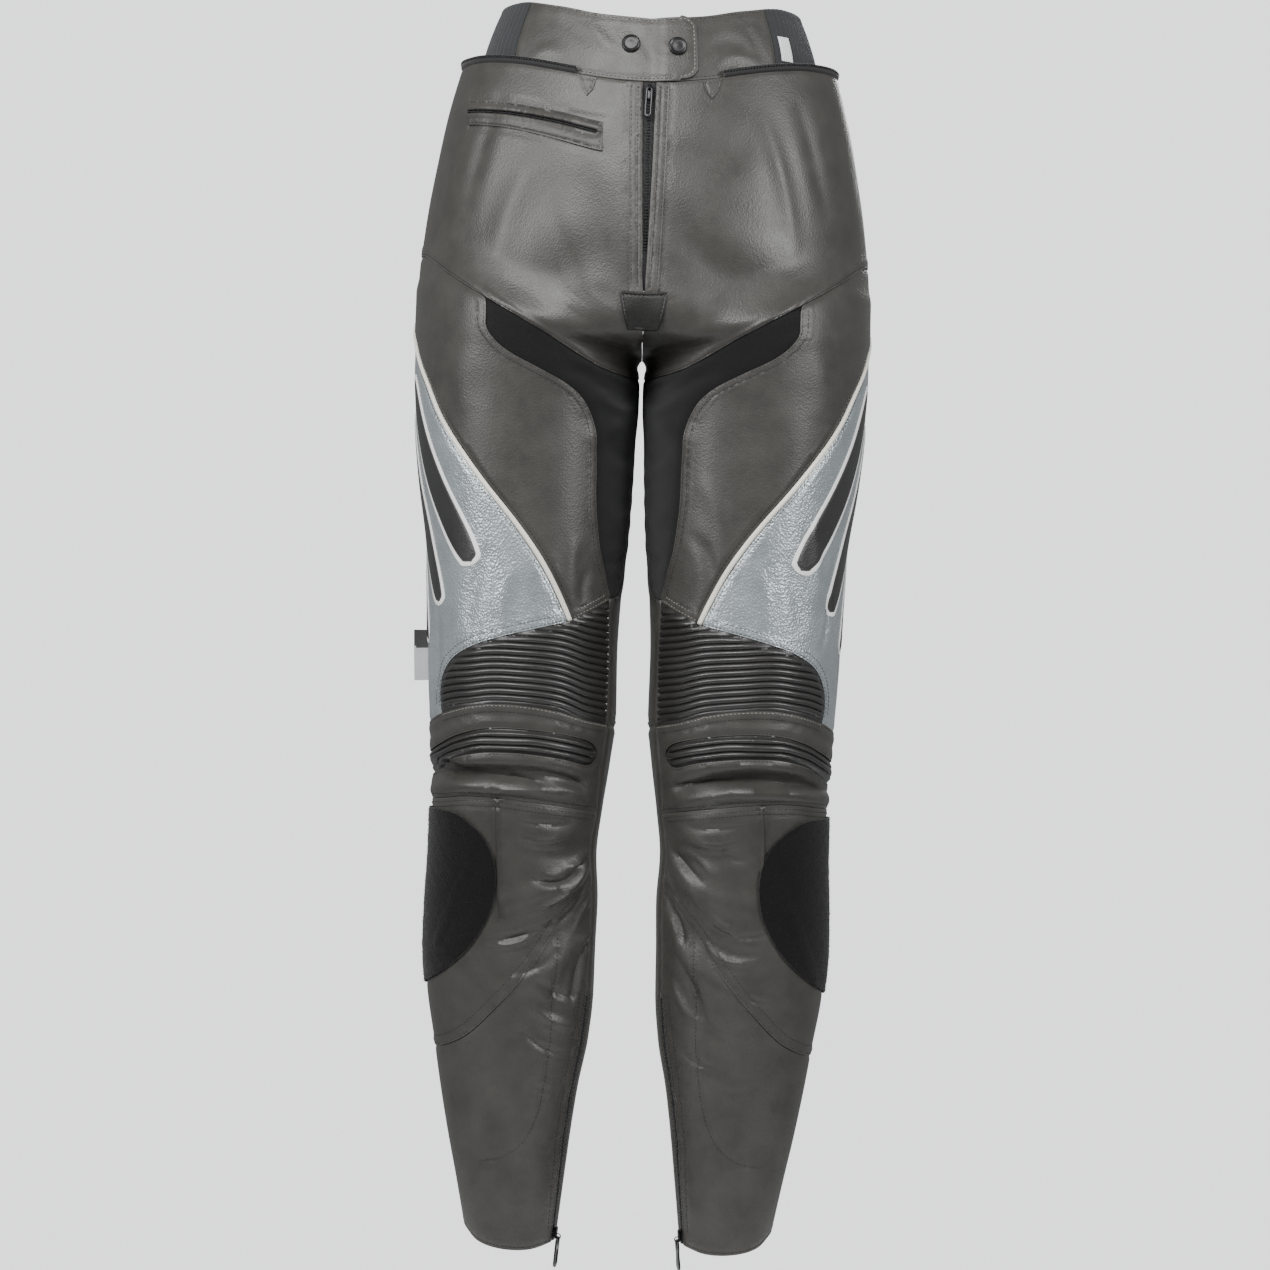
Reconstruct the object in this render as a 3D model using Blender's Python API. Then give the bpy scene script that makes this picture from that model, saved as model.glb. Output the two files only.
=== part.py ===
"""Leather motorcycle trousers, worn shape, as separate cut pieces.

The trousers stand hollow as if worn. The front faces -Y, the wearer's left leg is at +X, and the
origin is the middle of the waist at the height of the waist seam. Every size is in millimetres
until a mesh is made. A point on a leg is given by two numbers: "around", in turns about the leg
(0 inner side, 0.25 front, 0.5 outer side, 0.75 back), and "down", millimetres below the waist.
"""
import math

import bpy
import numpy as np
from mathutils import Vector
from mathutils.geometry import delaunay_2d_cdt

MM = 0.001
WALL = 2.0
TRIM_WALL = 1.2
SEAM_GAP = 0.3
LAY_GAP = 0.3
EDGE_STEP = 21.0
FACE_STEP = 35.0
FOLD_STEP = 17.0
CROTCH_STEP = 13.0
CROTCH_COLUMNS = 9
CROTCH_TOP = -160.0
CROTCH_LOW = -285.0
CROTCH_GIRTH = 720.0
CROTCH_MARKS = (-160, -170, -178, -185, -192, -198, -204, -209, -213)

# Rings of one leg and its half of the hips. Above the crotch a ring is cut at the middle plane.
RING_COLUMNS = ("down", "dip_front", "dip_back", "inner", "outer", "front", "back")
RINGS = (
    (14, -22, 14, -156, 156, -92, 98),
    (0, -22, 12, -161, 161, -96, 102),
    (-40, -26, 4, -172, 172, -104, 112),
    (-80, -31, -8, -180, 180, -110, 122),
    (-120, -41, -24, -187, 187, -113, 130),
    (-150, -50, -38, -178, 191, -113, 134),
    (-167, -52, -42, -125, 193, -112, 134),
    (-180, -51, -43, -72, 194, -111, 133),
    (-192, -46, -41, -36, 196, -111, 131),
    (-204, -38, -36, -12, 196, -110, 129),
    (-215, -30, -30, 0, 196, -109, 126),
    (-227, -25, -25, 3.5, 196, -108, 122),
    (-241, -21, -21, 2.5, 195, -107, 118),
    (-257, -16, -16, 1.4, 195, -106, 113),
    (-280, -10, -10, 1.6, 194, -104, 107),
    (-312, -4, -4, 3.4, 192, -102, 101),
    (-350, 0, 0, 4.5, 188, -100, 95),
    (-400, 0, 0, 7, 181, -98, 88),
    (-450, 0, 0, 12, 177.5, -96, 81),
    (-500, 0, 0, 14, 176, -94, 74),
    (-550, 0, 0, 13.5, 173.5, -92, 66),
    (-590, 0, 0, 17.5, 171, -89, 60),
    (-630, 0, 0, 23, 169.5, -80, 58),
    (-670, 0, 0, 27, 170, -71, 60),
    (-710, 0, 0, 25, 172, -64, 65),
    (-750, 0, 0, 26, 173, -58, 69),
    (-790, 0, 0, 26.5, 170, -53, 70),
    (-830, 0, 0, 30, 163.5, -48, 67),
    (-870, 0, 0, 37.5, 157, -44, 63),
    (-910, 0, 0, 43, 149.5, -42, 60),
    (-950, 0, 0, 47.5, 141, -41, 58),
    (-1010, 0, 0, 54, 129, -41, 57),
)

# The waistband's rings: half width and front and back depth at each height.
BAND_COLUMNS = ("height", "half_width", "front", "back")
BAND_RINGS = (
    (-24, 146, -95.7, 101),
    (8, 142.5, -90, 97),
    (33, 135, -84, 93),
    (52, 127, -80, 90),
    (66, 121, -77, 88),
)
# The band's upper edge, by turns from the back (0) over the wearer's right side to the front (0.5).
BAND_TOP = ((0.0, 60), (0.12, 57), (0.25, 52), (0.33, 52), (0.4, 45), (0.45, 37), (0.5, 33))

# Seams of the left leg, each as (around, down) from one junction of seams to the next.
SEAMS = {
    "hip_seam_side": ((0.5, -160), (0.43, -166), (0.353, -182), (0.298, -193)),
    "hip_seam_inner": ((0.298, -193), (0.257, -203), (0.205, -221), (0.157, -236), (0.114, -242),
                       (0.05, -243), (0.0, -240)),
    "crotch_inner": ((0.0, -215), (0.0, -228), (0.0, -240)),
    "hip_seam_back": ((1.0, -240), (0.93, -244), (0.87, -238), (0.8, -224), (0.72, -205),
                      (0.64, -184), (0.57, -168), (0.5, -160)),
    "stretch_front": ((0.298, -193), (0.295, -217), (0.284, -232), (0.265, -242), (0.231, -252),
                      (0.194, -264), (0.167, -280), (0.148, -303), (0.140, -338), (0.137, -376),
                      (0.125, -408), (0.101, -433), (0.082, -452)),
    "stretch_back": ((0.0, -240), (-0.045, -290), (-0.06, -350), (-0.03, -410), (0.03, -445),
                     (0.082, -452)),
    "side_seam": ((0.5, -160), (0.505, -190), (0.503, -218)),
    "thigh_low": ((0.082, -452), (0.13, -462), (0.166, -470)),
    "side_low": ((0.174, -472), (0.229, -479), (0.286, -487), (0.333, -495), (0.374, -506),
                 (0.4, -520), (0.412, -535), (0.41, -552)),
    "band_top": ((0.067, -558), (0.13, -554), (0.187, -547), (0.241, -543), (0.296, -542),
                 (0.346, -545), (0.41, -552)),
    "band_top_side": ((0.41, -552), (0.46, -558), (0.505, -562), (0.55, -563)),
    "side_back": ((0.55, -563), (0.59, -520), (0.61, -450), (0.61, -380), (0.58, -300),
                  (0.545, -250), (0.512, -221)),
    "knee_back": ((0.55, -563), (0.65, -566), (0.8, -570), (0.95, -564), (1.067, -558)),
    "insert_edge": ((0.55, -588), (0.47, -584), (0.415, -577), (0.366, -569), (0.307, -563),
                    (0.238, -563), (0.167, -567), (0.11, -573), (0.088, -583), (0.11, -592),
                    (0.168, -587), (0.24, -583), (0.31, -583), (0.368, -588), (0.415, -596),
                    (0.47, -603), (0.55, -606)),
    "knee_side_upper": ((0.55, -563), (0.55, -588)),
    "knee_side_insert": ((0.55, -588), (0.55, -606)),
    "knee_side_lower": ((0.55, -606), (0.55, -626)),
    "band_low": ((0.046, -633), (0.13, -629), (0.19, -626), (0.27, -622), (0.35, -621),
                 (0.43, -624), (0.55, -626)),
    "inseam_knee": ((0.082, -452), (0.066, -500), (0.067, -558)),
    "inseam_band": ((0.067, -558), (0.062, -600), (0.046, -633)),
    "inseam_shin": ((0.046, -633), (0.052, -665), (0.047, -694)),
    "inseam_calf": ((0.047, -694), (0.045, -740), (0.05, -784)),
    "shin_seam": ((0.047, -694), (0.097, -712), (0.139, -730), (0.18, -754), (0.236, -782),
                  (0.289, -804), (0.346, -823), (0.4, -833), (0.46, -838), (0.55, -838)),
    "calf_side_upper": ((0.55, -626), (0.552, -730), (0.55, -838)),
    "calf_side_lower": ((0.55, -838), (0.548, -910), (0.55, -989)),
    "zip_front": ((0.05, -784), (0.056, -787), (0.059, -800), (0.065, -860), (0.072, -930),
                  (0.08, -1003)),
    "zip_back": ((0.05, -784), (0.044, -787), (0.045, -800), (0.048, -860), (0.053, -930),
                 (0.055, -1003)),
    "zip_hem": ((0.055, -1003), (0.08, -1003)),
    "hem_front": ((0.08, -1003), (0.13, -1004), (0.2, -1006), (0.28, -1005), (0.36, -1001),
                  (0.43, -994), (0.55, -989)),
    "hem_back": ((0.55, -989), (0.65, -991), (0.78, -996), (0.92, -1002), (1.055, -1003)),
}
PIPING_LINE = ((0.507, -219), (0.458, -243), (0.415, -268), (0.38, -299), (0.341, -330),
               (0.302, -361), (0.266, -388), (0.23, -416), (0.2, -442), (0.17, -471))
PIPING_WIDTH = 5.0
PIPING_RISE = 1.0

# The largest folds, as (leg, around and down of start, middle and end, half width, height).
FOLD_COLUMNS = ("leg", "around_1", "down_1", "around_2", "down_2", "around_3", "down_3",
                "width", "height")
FOLDS = (
    ("both", 0.10, -612, 0.27, -600, 0.53, -610, 5.5, -6.5),
    ("both", 0.09, -622, 0.28, -611, 0.50, -619, 6.0, 3.5),
    ("right", 0.30, -603, 0.42, -597, 0.53, -600, 4.5, -4.0),
    ("left", 0.16, -604, 0.26, -597, 0.40, -601, 4.5, -3.0),
    ("both", 0.06, -655, 0.15, -668, 0.26, -662, 8.0, -2.6),
    ("both", 0.05, -676, 0.16, -698, 0.30, -712, 9.0, 3.0),
    ("both", 0.07, -712, 0.17, -738, 0.31, -756, 9.0, -3.0),
    ("both", 0.09, -742, 0.18, -772, 0.30, -786, 8.0, 2.4),
    ("both", 0.10, -770, 0.18, -812, 0.26, -836, 9.0, -2.2),
    ("both", 0.03, -262, 0.12, -262, 0.21, -236, 9.0, -2.6),
    ("both", 0.03, -292, 0.10, -300, 0.16, -322, 10.0, 2.4),
    ("both", 0.17, -120, 0.23, -160, 0.30, -185, 15.0, -2.4),
    ("both", 0.62, -560, 0.78, -548, 0.95, -556, 9.0, -4.5),
    ("both", 0.60, -588, 0.78, -596, 0.97, -584, 9.0, 4.0),
    ("both", 0.60, -612, 0.80, -618, 0.96, -606, 8.0, -4.0),
    ("both", 0.62, -660, 0.78, -650, 0.94, -664, 11.0, 2.6),
    ("both", 0.66, -236, 0.80, -262, 0.95, -272, 11.0, -3.2),
    ("both", 0.70, -282, 0.82, -300, 0.95, -306, 12.0, 2.8),
    ("both", 0.60, -905, 0.76, -922, 0.93, -912, 11.0, -2.2),
)

RIB_COUNT = 17
RIB_PITCH = 5.7
RIB_HEIGHT = 1.9
INSERT_RIBS = 3
INSERT_RIB_HEIGHT = 2.6

# Half the gap between the fronts, by how far down: the fly zip lies in it.
FLY_GAP = ((0, 5.2), (-60, 4.2), (-110, 2.4), (-148, 0.6))
FLY_END = -148
FLY_STRIP_WIDTH = 10.5
FLY_STRIP_GAP = 0.7

# Pocket on the wearer's right front, measured across (from the middle) and down.
POCKET_TOP = ((-152, -33), (-108, -33), (-72, -33), (-38, -35))
POCKET_SLIT = ((-152, -43), (-108, -42), (-72, -41.5), (-43, -43))
POCKET_LOW = ((-152, -54), (-108, -54), (-72, -55), (-38, -57))
POCKET_SLIT_HALF = 1.3

HOOK_PATCH = ((0.53, -633), (0.46, -633), (0.38, -635), (0.333, -645), (0.3, -659),
              (0.282, -678), (0.281, -700), (0.292, -720), (0.325, -745), (0.37, -763),
              (0.43, -777), (0.5, -785), (0.53, -787))

# Where the waistband's pieces meet, in turns round the band.
BAND_ELASTIC_RIGHT = (0.165, 0.353)
BAND_END_FRONT = 0.5437
BAND_START_UNDER = 0.52
BAND_ELASTIC_LEFT = (0.632, 0.835)
OVERLAP_LIFT = 2.7
BAND_ROUND_END = 11.0
BAND_GIRTH = 730.0
BAND_EDGE_STEP = 14.0
BAND_FACE_STEP = 24.0
LAP_START = 1.0
LAP_END = 12.0
LAP_HALF_WIDTH = 142.0
SIZE_TAG = ((0.64, 5), (0.658, 5), (0.658, 26), (0.64, 26))
SIZE_TAG_WALL = 0.5

# The rolled zip that runs along the waist edge.
JOIN_ZIP_HALF_HEIGHT = 3.0
JOIN_ZIP_HALF_DEPTH = 2.2
JOIN_ZIP_START = 62.0
JOIN_ZIP_POINTS = 17
JOIN_ZIP_SUNK = 0.8
# The small pointed tab that holds each end of that zip, as (across, down).
ZIP_END_TAB = ((44, -1.5), (60, -1.5), (57, -11), (52, -17), (47, -11))

SNAP_SPOTS = (("right", -16.5, 10.5), ("left", 22.0, 9.0))
SNAP_PROFILE = ((7.4, 0.0), (7.6, 1.0), (7.0, 1.9), (5.6, 2.3), (3.0, 2.2))

SLIDER_HALF_WIDTH = 3.7
SLIDER_HALF_HEIGHT = 6.0
SLIDER_DEPTH = 3.2
PULL_GAP = 0.5
PULL_THICK = 1.4
# How far a pull reaches past its own axis; little enough to swing clear of the slider.
PULL_TOP = 0.3
FLY_PULL_HALF_WIDTH = 3.0
CALF_PULL_HALF_WIDTH = 4.6
FLY_SLIDER_DOWN = -10.0
FLY_PULL_LENGTH = 26.0
CALF_SLIDER_DOWN = -995.0
CALF_ZIP_AROUND = 0.0675
CALF_PULL_LENGTH = 27.0
CALF_SLIDER_HALF_WIDTH = 2.2
CALF_SLIDER_HALF_HEIGHT = 5.5
CALF_PULL_DROP = 3.0
FLY_PULL_DROP = 2.0
CALF_SLOT_HALF_WIDTH = 1.9
CALF_SLOT_TOP = -11.0
CALF_SLOT_END = 3.5

# The bare label at the right leg's side.
LABEL_AROUND = 0.497
LABEL_TOP = -482.0
LABEL_HEIGHT = 43.0
LABEL_REACH = 12.0
LABEL_HALF_WALL = 0.5

# Walls of what is laid on a panel or sunk between two.
WELT_WALL = 1.8
POCKET_ZIP_WALL = 0.8
HOOK_WALL = 2.0
CALF_ZIP_SUNK = 0.4
FLY_ZIP_SUNK = 0.5
FLY_ZIP_FOOT = 1.7
# The tab at the fly's foot: its half width at each level, and how far it stands out.
FLY_TAB = ((-148.5, 21.0), (-158, 18.5), (-168, 16), (-178.5, 13.0))
FLY_TAB_COLUMNS = 3
FLY_TAB_LIFT = 1.2
FLY_TAB_LEAN = 0.15

# How closely edges and faces are sampled.
PIPING_STEP = 12.0
PATCH_STEP = 15.0
AREA_STEP = 14.0
INSERT_EDGE_STEP = 9.0
RIB_RIM_CLEAR = 1.6
FOLD_RIM_CLEAR = 4.0
POINT_CLEAR = 7.0
NO_GRID = 1e4
ROUND_SIDES = 20
SMOOTH_ANGLE = math.radians(35)

COLOURS = {
    "leather": ((0.045, 0.045, 0.044), 0.42, 0.0),
    "panel_leather": ((0.19, 0.22, 0.24), 0.32, 0.35),
    "stretch": ((0.008, 0.008, 0.009), 0.85, 0.0),
    "piping": ((0.72, 0.70, 0.62), 0.45, 0.0),
    "hook": ((0.004, 0.004, 0.004), 0.95, 0.0),
    "zip": ((0.006, 0.006, 0.006), 0.6, 0.0),
    "metal": ((0.02, 0.02, 0.02), 0.3, 0.9),
    "label": ((0.75, 0.75, 0.74), 0.7, 0.0),
}


def table_slopes(xs, ys):
    """Slopes that keep a smooth curve through a table from overshooting."""
    steps = np.diff(xs)
    rises = np.diff(ys) / steps
    slopes = np.empty_like(ys)
    slopes[0] = rises[0]
    slopes[-1] = rises[-1]
    for i in range(1, len(ys) - 1):
        if rises[i - 1] * rises[i] <= 0:
            slopes[i] = 0
            continue
        w1 = 2 * steps[i] + steps[i - 1]
        w2 = steps[i] + 2 * steps[i - 1]
        slopes[i] = (w1 + w2) / (w1 / rises[i - 1] + w2 / rises[i])
    return slopes


class SmoothTable:
    """A short table read as smooth curves over its first column."""

    def __init__(self, columns, rows):
        data = np.array(rows, float)
        data = data[np.argsort(data[:, 0])]
        self.at = data[:, 0]
        self.columns = {}
        for i, name in enumerate(columns[1:], start=1):
            self.columns[name] = (data[:, i], table_slopes(self.at, data[:, i]))

    def read(self, name, x):
        values, slopes = self.columns[name]
        x = np.asarray(x, float)
        i = np.clip(np.searchsorted(self.at, x) - 1, 0, len(self.at) - 2)
        step = self.at[i + 1] - self.at[i]
        t = (x - self.at[i]) / step
        return ((2 * t**3 - 3 * t**2 + 1) * values[i]
                + (t**3 - 2 * t**2 + t) * step * slopes[i]
                + (-2 * t**3 + 3 * t**2) * values[i + 1]
                + (t**3 - t**2) * step * slopes[i + 1])


class Surface:
    """A surface addressed by (around, down), with a flat map that keeps lengths about true."""

    def girth(self, down):
        raise NotImplementedError

    def point(self, around, down):
        raise NotImplementedError

    def height(self, around, down):
        return np.zeros(np.broadcast(around, down).shape)

    def to_flat(self, spots):
        spots = np.asarray(spots, float)
        x = (spots[:, 0] - 0.5) * self.girth(spots[:, 1])
        return np.column_stack([x, spots[:, 1]])

    def from_flat(self, flat):
        flat = np.asarray(flat, float)
        return flat[:, 0] / self.girth(flat[:, 1]) + 0.5, flat[:, 1]

    def normal(self, around, down):
        da = 1e-4
        dd = 0.05
        along = self.point(around + da, down) - self.point(around - da, down)
        up = self.point(around, down + dd) - self.point(around, down - dd)
        normal = np.cross(along, up)
        return normal / np.linalg.norm(normal, axis=-1, keepdims=True)

    def lifted(self, around, down, lift):
        """Points moved out by lift and by the folds, in the surface's own frame."""
        around = np.asarray(around, float)
        down = np.asarray(down, float)
        rise = np.asarray(self.height(around, down) + lift)
        return self.point(around, down) + self.normal(around, down) * rise[..., None]


class Leg(Surface):
    """The left leg with its half of the hips. side is 1, or -1 for the mirrored right leg."""

    def __init__(self, side):
        self.side = side
        self.rings = SmoothTable(RING_COLUMNS, RINGS)
        name = "left" if side > 0 else "right"
        self.folds = [row for row in FOLDS if row[0] in ("both", name)]

    def ring(self, down):
        inner, outer, front, back = (self.rings.read(n, down)
                                     for n in ("inner", "outer", "front", "back"))
        return inner, outer, front, back

    def girth(self, down):
        inner, outer, front, back = self.ring(down)
        return 2 * math.pi * np.sqrt(((outer - inner)**2 + (back - front)**2) / 8)

    def point(self, around, down):
        around, down = np.broadcast_arrays(np.asarray(around, float), np.asarray(down, float))
        inner, outer, front, back = self.ring(down)
        axis_x = (outer + np.maximum(inner, 0)) / 2
        half_x = (outer - inner) / 2
        half_y = (back - front) / 2
        shift = axis_x - (outer + inner) / 2
        cos = np.cos(2 * math.pi * around)
        sin = np.sin(2 * math.pi * around)
        quad = cos**2 / half_x**2 + sin**2 / half_y**2
        lin = shift * cos / half_x**2
        root = np.sqrt(np.maximum(lin**2 - quad * (shift**2 / half_x**2 - 1), 0))
        radius = (lin + root) / quad
        x = axis_x - radius * cos
        y = (front + back) / 2 - radius * sin
        dip = np.where(np.mod(around, 1) <= 0.5, self.rings.read("dip_front", down),
                       self.rings.read("dip_back", down))
        fade = np.cos(math.pi / 2 * np.clip(x / outer, 0, 1))**2
        return np.stack([x, y, down + dip * fade], -1)

    def height(self, around, down):
        around, down = np.broadcast_arrays(np.asarray(around, float), np.asarray(down, float))
        total = np.zeros(around.shape)
        girth = self.girth(down)
        for row in self.folds:
            width, height = row[7:9]
            away, share = distance_to_fold(row, around, down, girth)
            taper = np.sin(math.pi * np.clip(share, 0, 1))**0.7
            total += height * taper * np.exp(-(away / width)**2)
        return total

    def turn_at(self, across, down, back=False):
        """The turn at which the ring at this depth is this far from the middle plane."""
        low, high = (0.55, 1.0) if back else (0.0, 0.45)
        for _ in range(40):
            mid = (low + high) / 2
            near = self.point(mid, down)[0] < across
            if near != back:
                low = mid
            else:
                high = mid
        return (low + high) / 2


def distance_to_fold(row, around, down, girth):
    """Distance from each spot to a fold's line, and the share of the line passed there."""
    best = np.full(around.shape, 1e9)
    share = np.zeros(around.shape)
    spots = fold_line(row)
    count = len(spots) - 1
    shifted = around - np.round(around - spots[count // 2][0])
    for i in range(count):
        (a1, d1), (a2, d2) = spots[i], spots[i + 1]
        px = (shifted - a1) * girth
        py = down - d1
        vx = (a2 - a1) * girth
        vy = d2 - d1
        t = np.clip((px * vx + py * vy) / (vx * vx + vy * vy), 0, 1)
        away = np.hypot(px - t * vx, py - t * vy)
        nearer = away < best
        best = np.where(nearer, away, best)
        share = np.where(nearer, (i + t) / count, share)
    return best, share


def fold_line(row, count=8):
    """A fold's line: the parabola through its start, middle and end."""
    a1, d1, a2, d2, a3, d3 = row[1:7]
    spots = []
    for i in range(count + 1):
        t = i / count
        w1 = (1 - t) * (1 - 2 * t)
        w2 = 4 * t * (1 - t)
        w3 = t * (2 * t - 1)
        spots.append((a1 * w1 + a2 * w2 + a3 * w3, d1 * w1 + d2 * w2 + d3 * w3))
    return spots


class Band(Surface):
    """The waistband. around runs from the back (0) over the wearer's right to the front (0.5)."""

    side = 1

    def __init__(self, overlap=0.0):
        self.rings = SmoothTable(BAND_COLUMNS, BAND_RINGS)
        self.overlap = overlap

    def girth(self, down):
        return np.full(np.shape(down), BAND_GIRTH)

    def point(self, around, down):
        around, down = np.broadcast_arrays(np.asarray(around, float), np.asarray(down, float))
        turn = 2 * math.pi * around
        width = self.rings.read("half_width", down)
        depth = np.where(np.cos(turn) < 0, -self.rings.read("front", down),
                         self.rings.read("back", down))
        return np.stack([-width * np.sin(turn), depth * np.cos(turn), down], -1)

    def height(self, around, down):
        across = self.point(around, down)[..., 0]
        front = np.abs(np.mod(around, 1) - 0.5) < 0.25
        return np.where(front, self.overlap * smooth_step(LAP_START, LAP_END, across), 0.0)


def smooth_step(low, high, x):
    t = np.clip((x - low) / (high - low), 0, 1)
    return t * t * (3 - 2 * t)


def curve_through(points, step):
    """Points at an even step on a smooth curve through the given flat points."""
    points = np.asarray(points, float)
    if len(points) == 2:
        count = max(1, round(float(np.linalg.norm(points[1] - points[0])) / step))
        share = np.linspace(0, 1, count + 1)[:, None]
        return points[0] * (1 - share) + points[1] * share
    ends = np.vstack([2 * points[0] - points[1], points, 2 * points[-1] - points[-2]])
    fine = []
    for i in range(len(points) - 1):
        p0, p1, p2, p3 = ends[i:i + 4]
        for t in np.linspace(0, 1, 12, endpoint=False):
            fine.append(0.5 * (2 * p1 + (p2 - p0) * t + (2 * p0 - 5 * p1 + 4 * p2 - p3) * t**2
                               + (3 * p1 - p0 - 3 * p2 + p3) * t**3))
    fine.append(points[-1])
    fine = np.array(fine)
    length = np.concatenate([[0], np.cumsum(np.linalg.norm(np.diff(fine, axis=0), axis=1))])
    count = max(2, round(length[-1] / step))
    marks = np.linspace(0, length[-1], count + 1)
    return np.column_stack([np.interp(marks, length, fine[:, k]) for k in (0, 1)])


def signed_area(loop):
    x, y = loop[:, 0], loop[:, 1]
    return 0.5 * float(np.sum(x * np.roll(y, -1) - np.roll(x, -1) * y))


def move_in(loop, gap):
    """A loop moved to its inside by gap, with mitred corners."""
    if signed_area(loop) < 0:
        loop = loop[::-1]
    back = np.roll(loop, 1, axis=0)
    ahead = np.roll(loop, -1, axis=0)
    first = loop - back
    second = ahead - loop
    first /= np.linalg.norm(first, axis=1, keepdims=True)
    second /= np.linalg.norm(second, axis=1, keepdims=True)
    n1 = np.column_stack([-first[:, 1], first[:, 0]])
    n2 = np.column_stack([-second[:, 1], second[:, 0]])
    mitre = n1 + n2
    mitre /= np.maximum(np.sum(mitre * n1, axis=1, keepdims=True), 0.35)
    return loop + mitre * gap


def inside(loop, points):
    """Which points lie inside a closed loop."""
    points = np.asarray(points, float)
    result = np.zeros(len(points), bool)
    x, y = points[:, 0], points[:, 1]
    for (x1, y1), (x2, y2) in zip(loop, np.roll(loop, -1, axis=0)):
        crosses = (y1 > y) != (y2 > y)
        rise = (y2 - y1) if y2 != y1 else 1e-9
        result ^= crosses & (x < (x2 - x1) * (y - y1) / rise + x1)
    return result


def distance_to_loop(loop, points):
    best = np.full(len(points), 1e9)
    for a, b in zip(loop, np.roll(loop, -1, axis=0)):
        ab = b - a
        t = np.clip(((points - a) @ ab) / max(float(ab @ ab), 1e-12), 0, 1)
        best = np.minimum(best, np.linalg.norm(points - a - t[:, None] * ab, axis=1))
    return best


class Sheet:
    """A flat triangulation of one panel, with marked areas for what lies on it."""

    def __init__(self, surface, outline, areas=(), rows=(), step=FACE_STEP):
        self.surface = surface
        self.loop = move_in(outline, SEAM_GAP / 2)
        self.areas = [np.asarray(area) for area in areas]
        self.points = [tuple(p) for p in self.loop]
        count = len(self.loop)
        self.edges = [(i, (i + 1) % count) for i in range(count)]
        self.rim_keys = {self.key(p) for p in self.loop}
        for area in self.areas:
            self.add_line(area, closed=True)
        self.add_rows(rows)
        self.add_grid(step)
        self.triangulate()

    @staticmethod
    def key(point):
        return round(point[0], 2), round(point[1], 2)

    def add_line(self, line, closed=False):
        start = len(self.points)
        self.points += [tuple(p) for p in line]
        count = len(line)
        self.edges += [(start + i, start + i + 1) for i in range(count - 1)]
        if closed:
            self.edges.append((start + count - 1, start))

    def add_rows(self, rows):
        """Rows of rib points, each kept clear of the outline."""
        for row in rows:
            row = np.asarray(row, float)
            good = inside(self.loop, row) & (distance_to_loop(self.loop, row) > RIB_RIM_CLEAR)
            run = []
            for keep, point in zip(good, row):
                if keep:
                    run.append(point)
                elif len(run) > 1:
                    self.add_line(run)
                    run = []
                else:
                    run = []
            if len(run) > 1:
                self.add_line(run)

    def fold_points(self):
        """Rows beside each fold that crosses the panel, closer together than the plain grid."""
        rows = []
        for row in getattr(self.surface, "folds", ()):
            line = np.array(fold_line(row, 12))
            for turn in (-1, 0, 1):
                spots = self.surface.to_flat(line + [turn, 0])
                spots = curve_through(spots, FOLD_STEP)
                along = np.gradient(spots, axis=0)
                along /= np.linalg.norm(along, axis=1, keepdims=True)
                across = np.column_stack([-along[:, 1], along[:, 0]])
                for share in (-1.3, 0.0, 1.3):
                    rows.append(spots + across * share * row[7])
        return np.vstack(rows) if rows else np.zeros((0, 2))

    def crotch_points(self):
        """A closer grid where the hips turn under into the legs."""
        spots = []
        for j, down in enumerate(np.arange(CROTCH_TOP, CROTCH_LOW, -CROTCH_STEP * 0.85)):
            for turn in (0, 1):
                for k in range(-CROTCH_COLUMNS, CROTCH_COLUMNS + 1):
                    spots.append((turn + (k + 0.5 * (j % 2)) * CROTCH_STEP / CROTCH_GIRTH, down))
        return self.surface.to_flat(np.array(spots))

    def add_grid(self, step):
        low = self.loop.min(axis=0)
        high = self.loop.max(axis=0)
        grid = []
        row_step = step * 0.87
        for j in range(int((high[1] - low[1]) / row_step) + 2):
            y = low[1] + j * row_step
            for i in range(int((high[0] - low[0]) / step) + 2):
                grid.append((low[0] + (i + 0.5 * (j % 2)) * step, y))
        taken = np.array(self.points)
        fine = self.fold_points()
        if isinstance(self.surface, Leg):
            fine = np.vstack([fine, self.crotch_points()])
        if len(fine):
            fine = fine[inside(self.loop, fine)]
        if len(fine):
            fine = fine[distance_to_loop(self.loop, fine) > FOLD_RIM_CLEAR]
        for batch, clear in ((fine, POINT_CLEAR), (np.array(grid), step * 0.55)):
            if not len(batch):
                continue
            batch = batch[inside(self.loop, batch)]
            for point in batch:
                if np.min(np.linalg.norm(taken - point, axis=1)) > clear:
                    taken = np.vstack([taken, point])
                    self.points.append(tuple(point))

    def triangulate(self):
        verts = [Vector(p) for p in self.points]
        result = delaunay_2d_cdt(verts, self.edges, [], 1, 1e-5)
        self.flat = np.array([tuple(v) for v in result[0]])
        faces = []
        for face in result[2]:
            corners = self.flat[list(face)]
            area = signed_area(corners)
            if abs(area) < 1e-4:
                continue
            faces.append(tuple(face) if area > 0 else tuple(reversed(face)))
        centres = np.array([self.flat[list(face)].mean(axis=0) for face in faces])
        keep = inside(self.loop, centres)
        self.faces = [face for face, good in zip(faces, keep) if good]
        self.centres = centres[keep]

    def faces_in(self, index):
        hits = inside(self.areas[index], self.centres)
        return [face for face, hit in zip(self.faces, hits) if hit]

    def place(self, lift):
        around, down = self.surface.from_flat(self.flat)
        points = self.surface.lifted(around, down, lift)
        points[:, 0] *= self.surface.side
        return points


def rim_edges(faces):
    """Directed edges that belong to one face only."""
    seen = {}
    for face in faces:
        for i in range(3):
            edge = (face[i], face[(i + 1) % 3])
            seen[edge] = True
    return [edge for edge in seen if (edge[1], edge[0]) not in seen]


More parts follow.
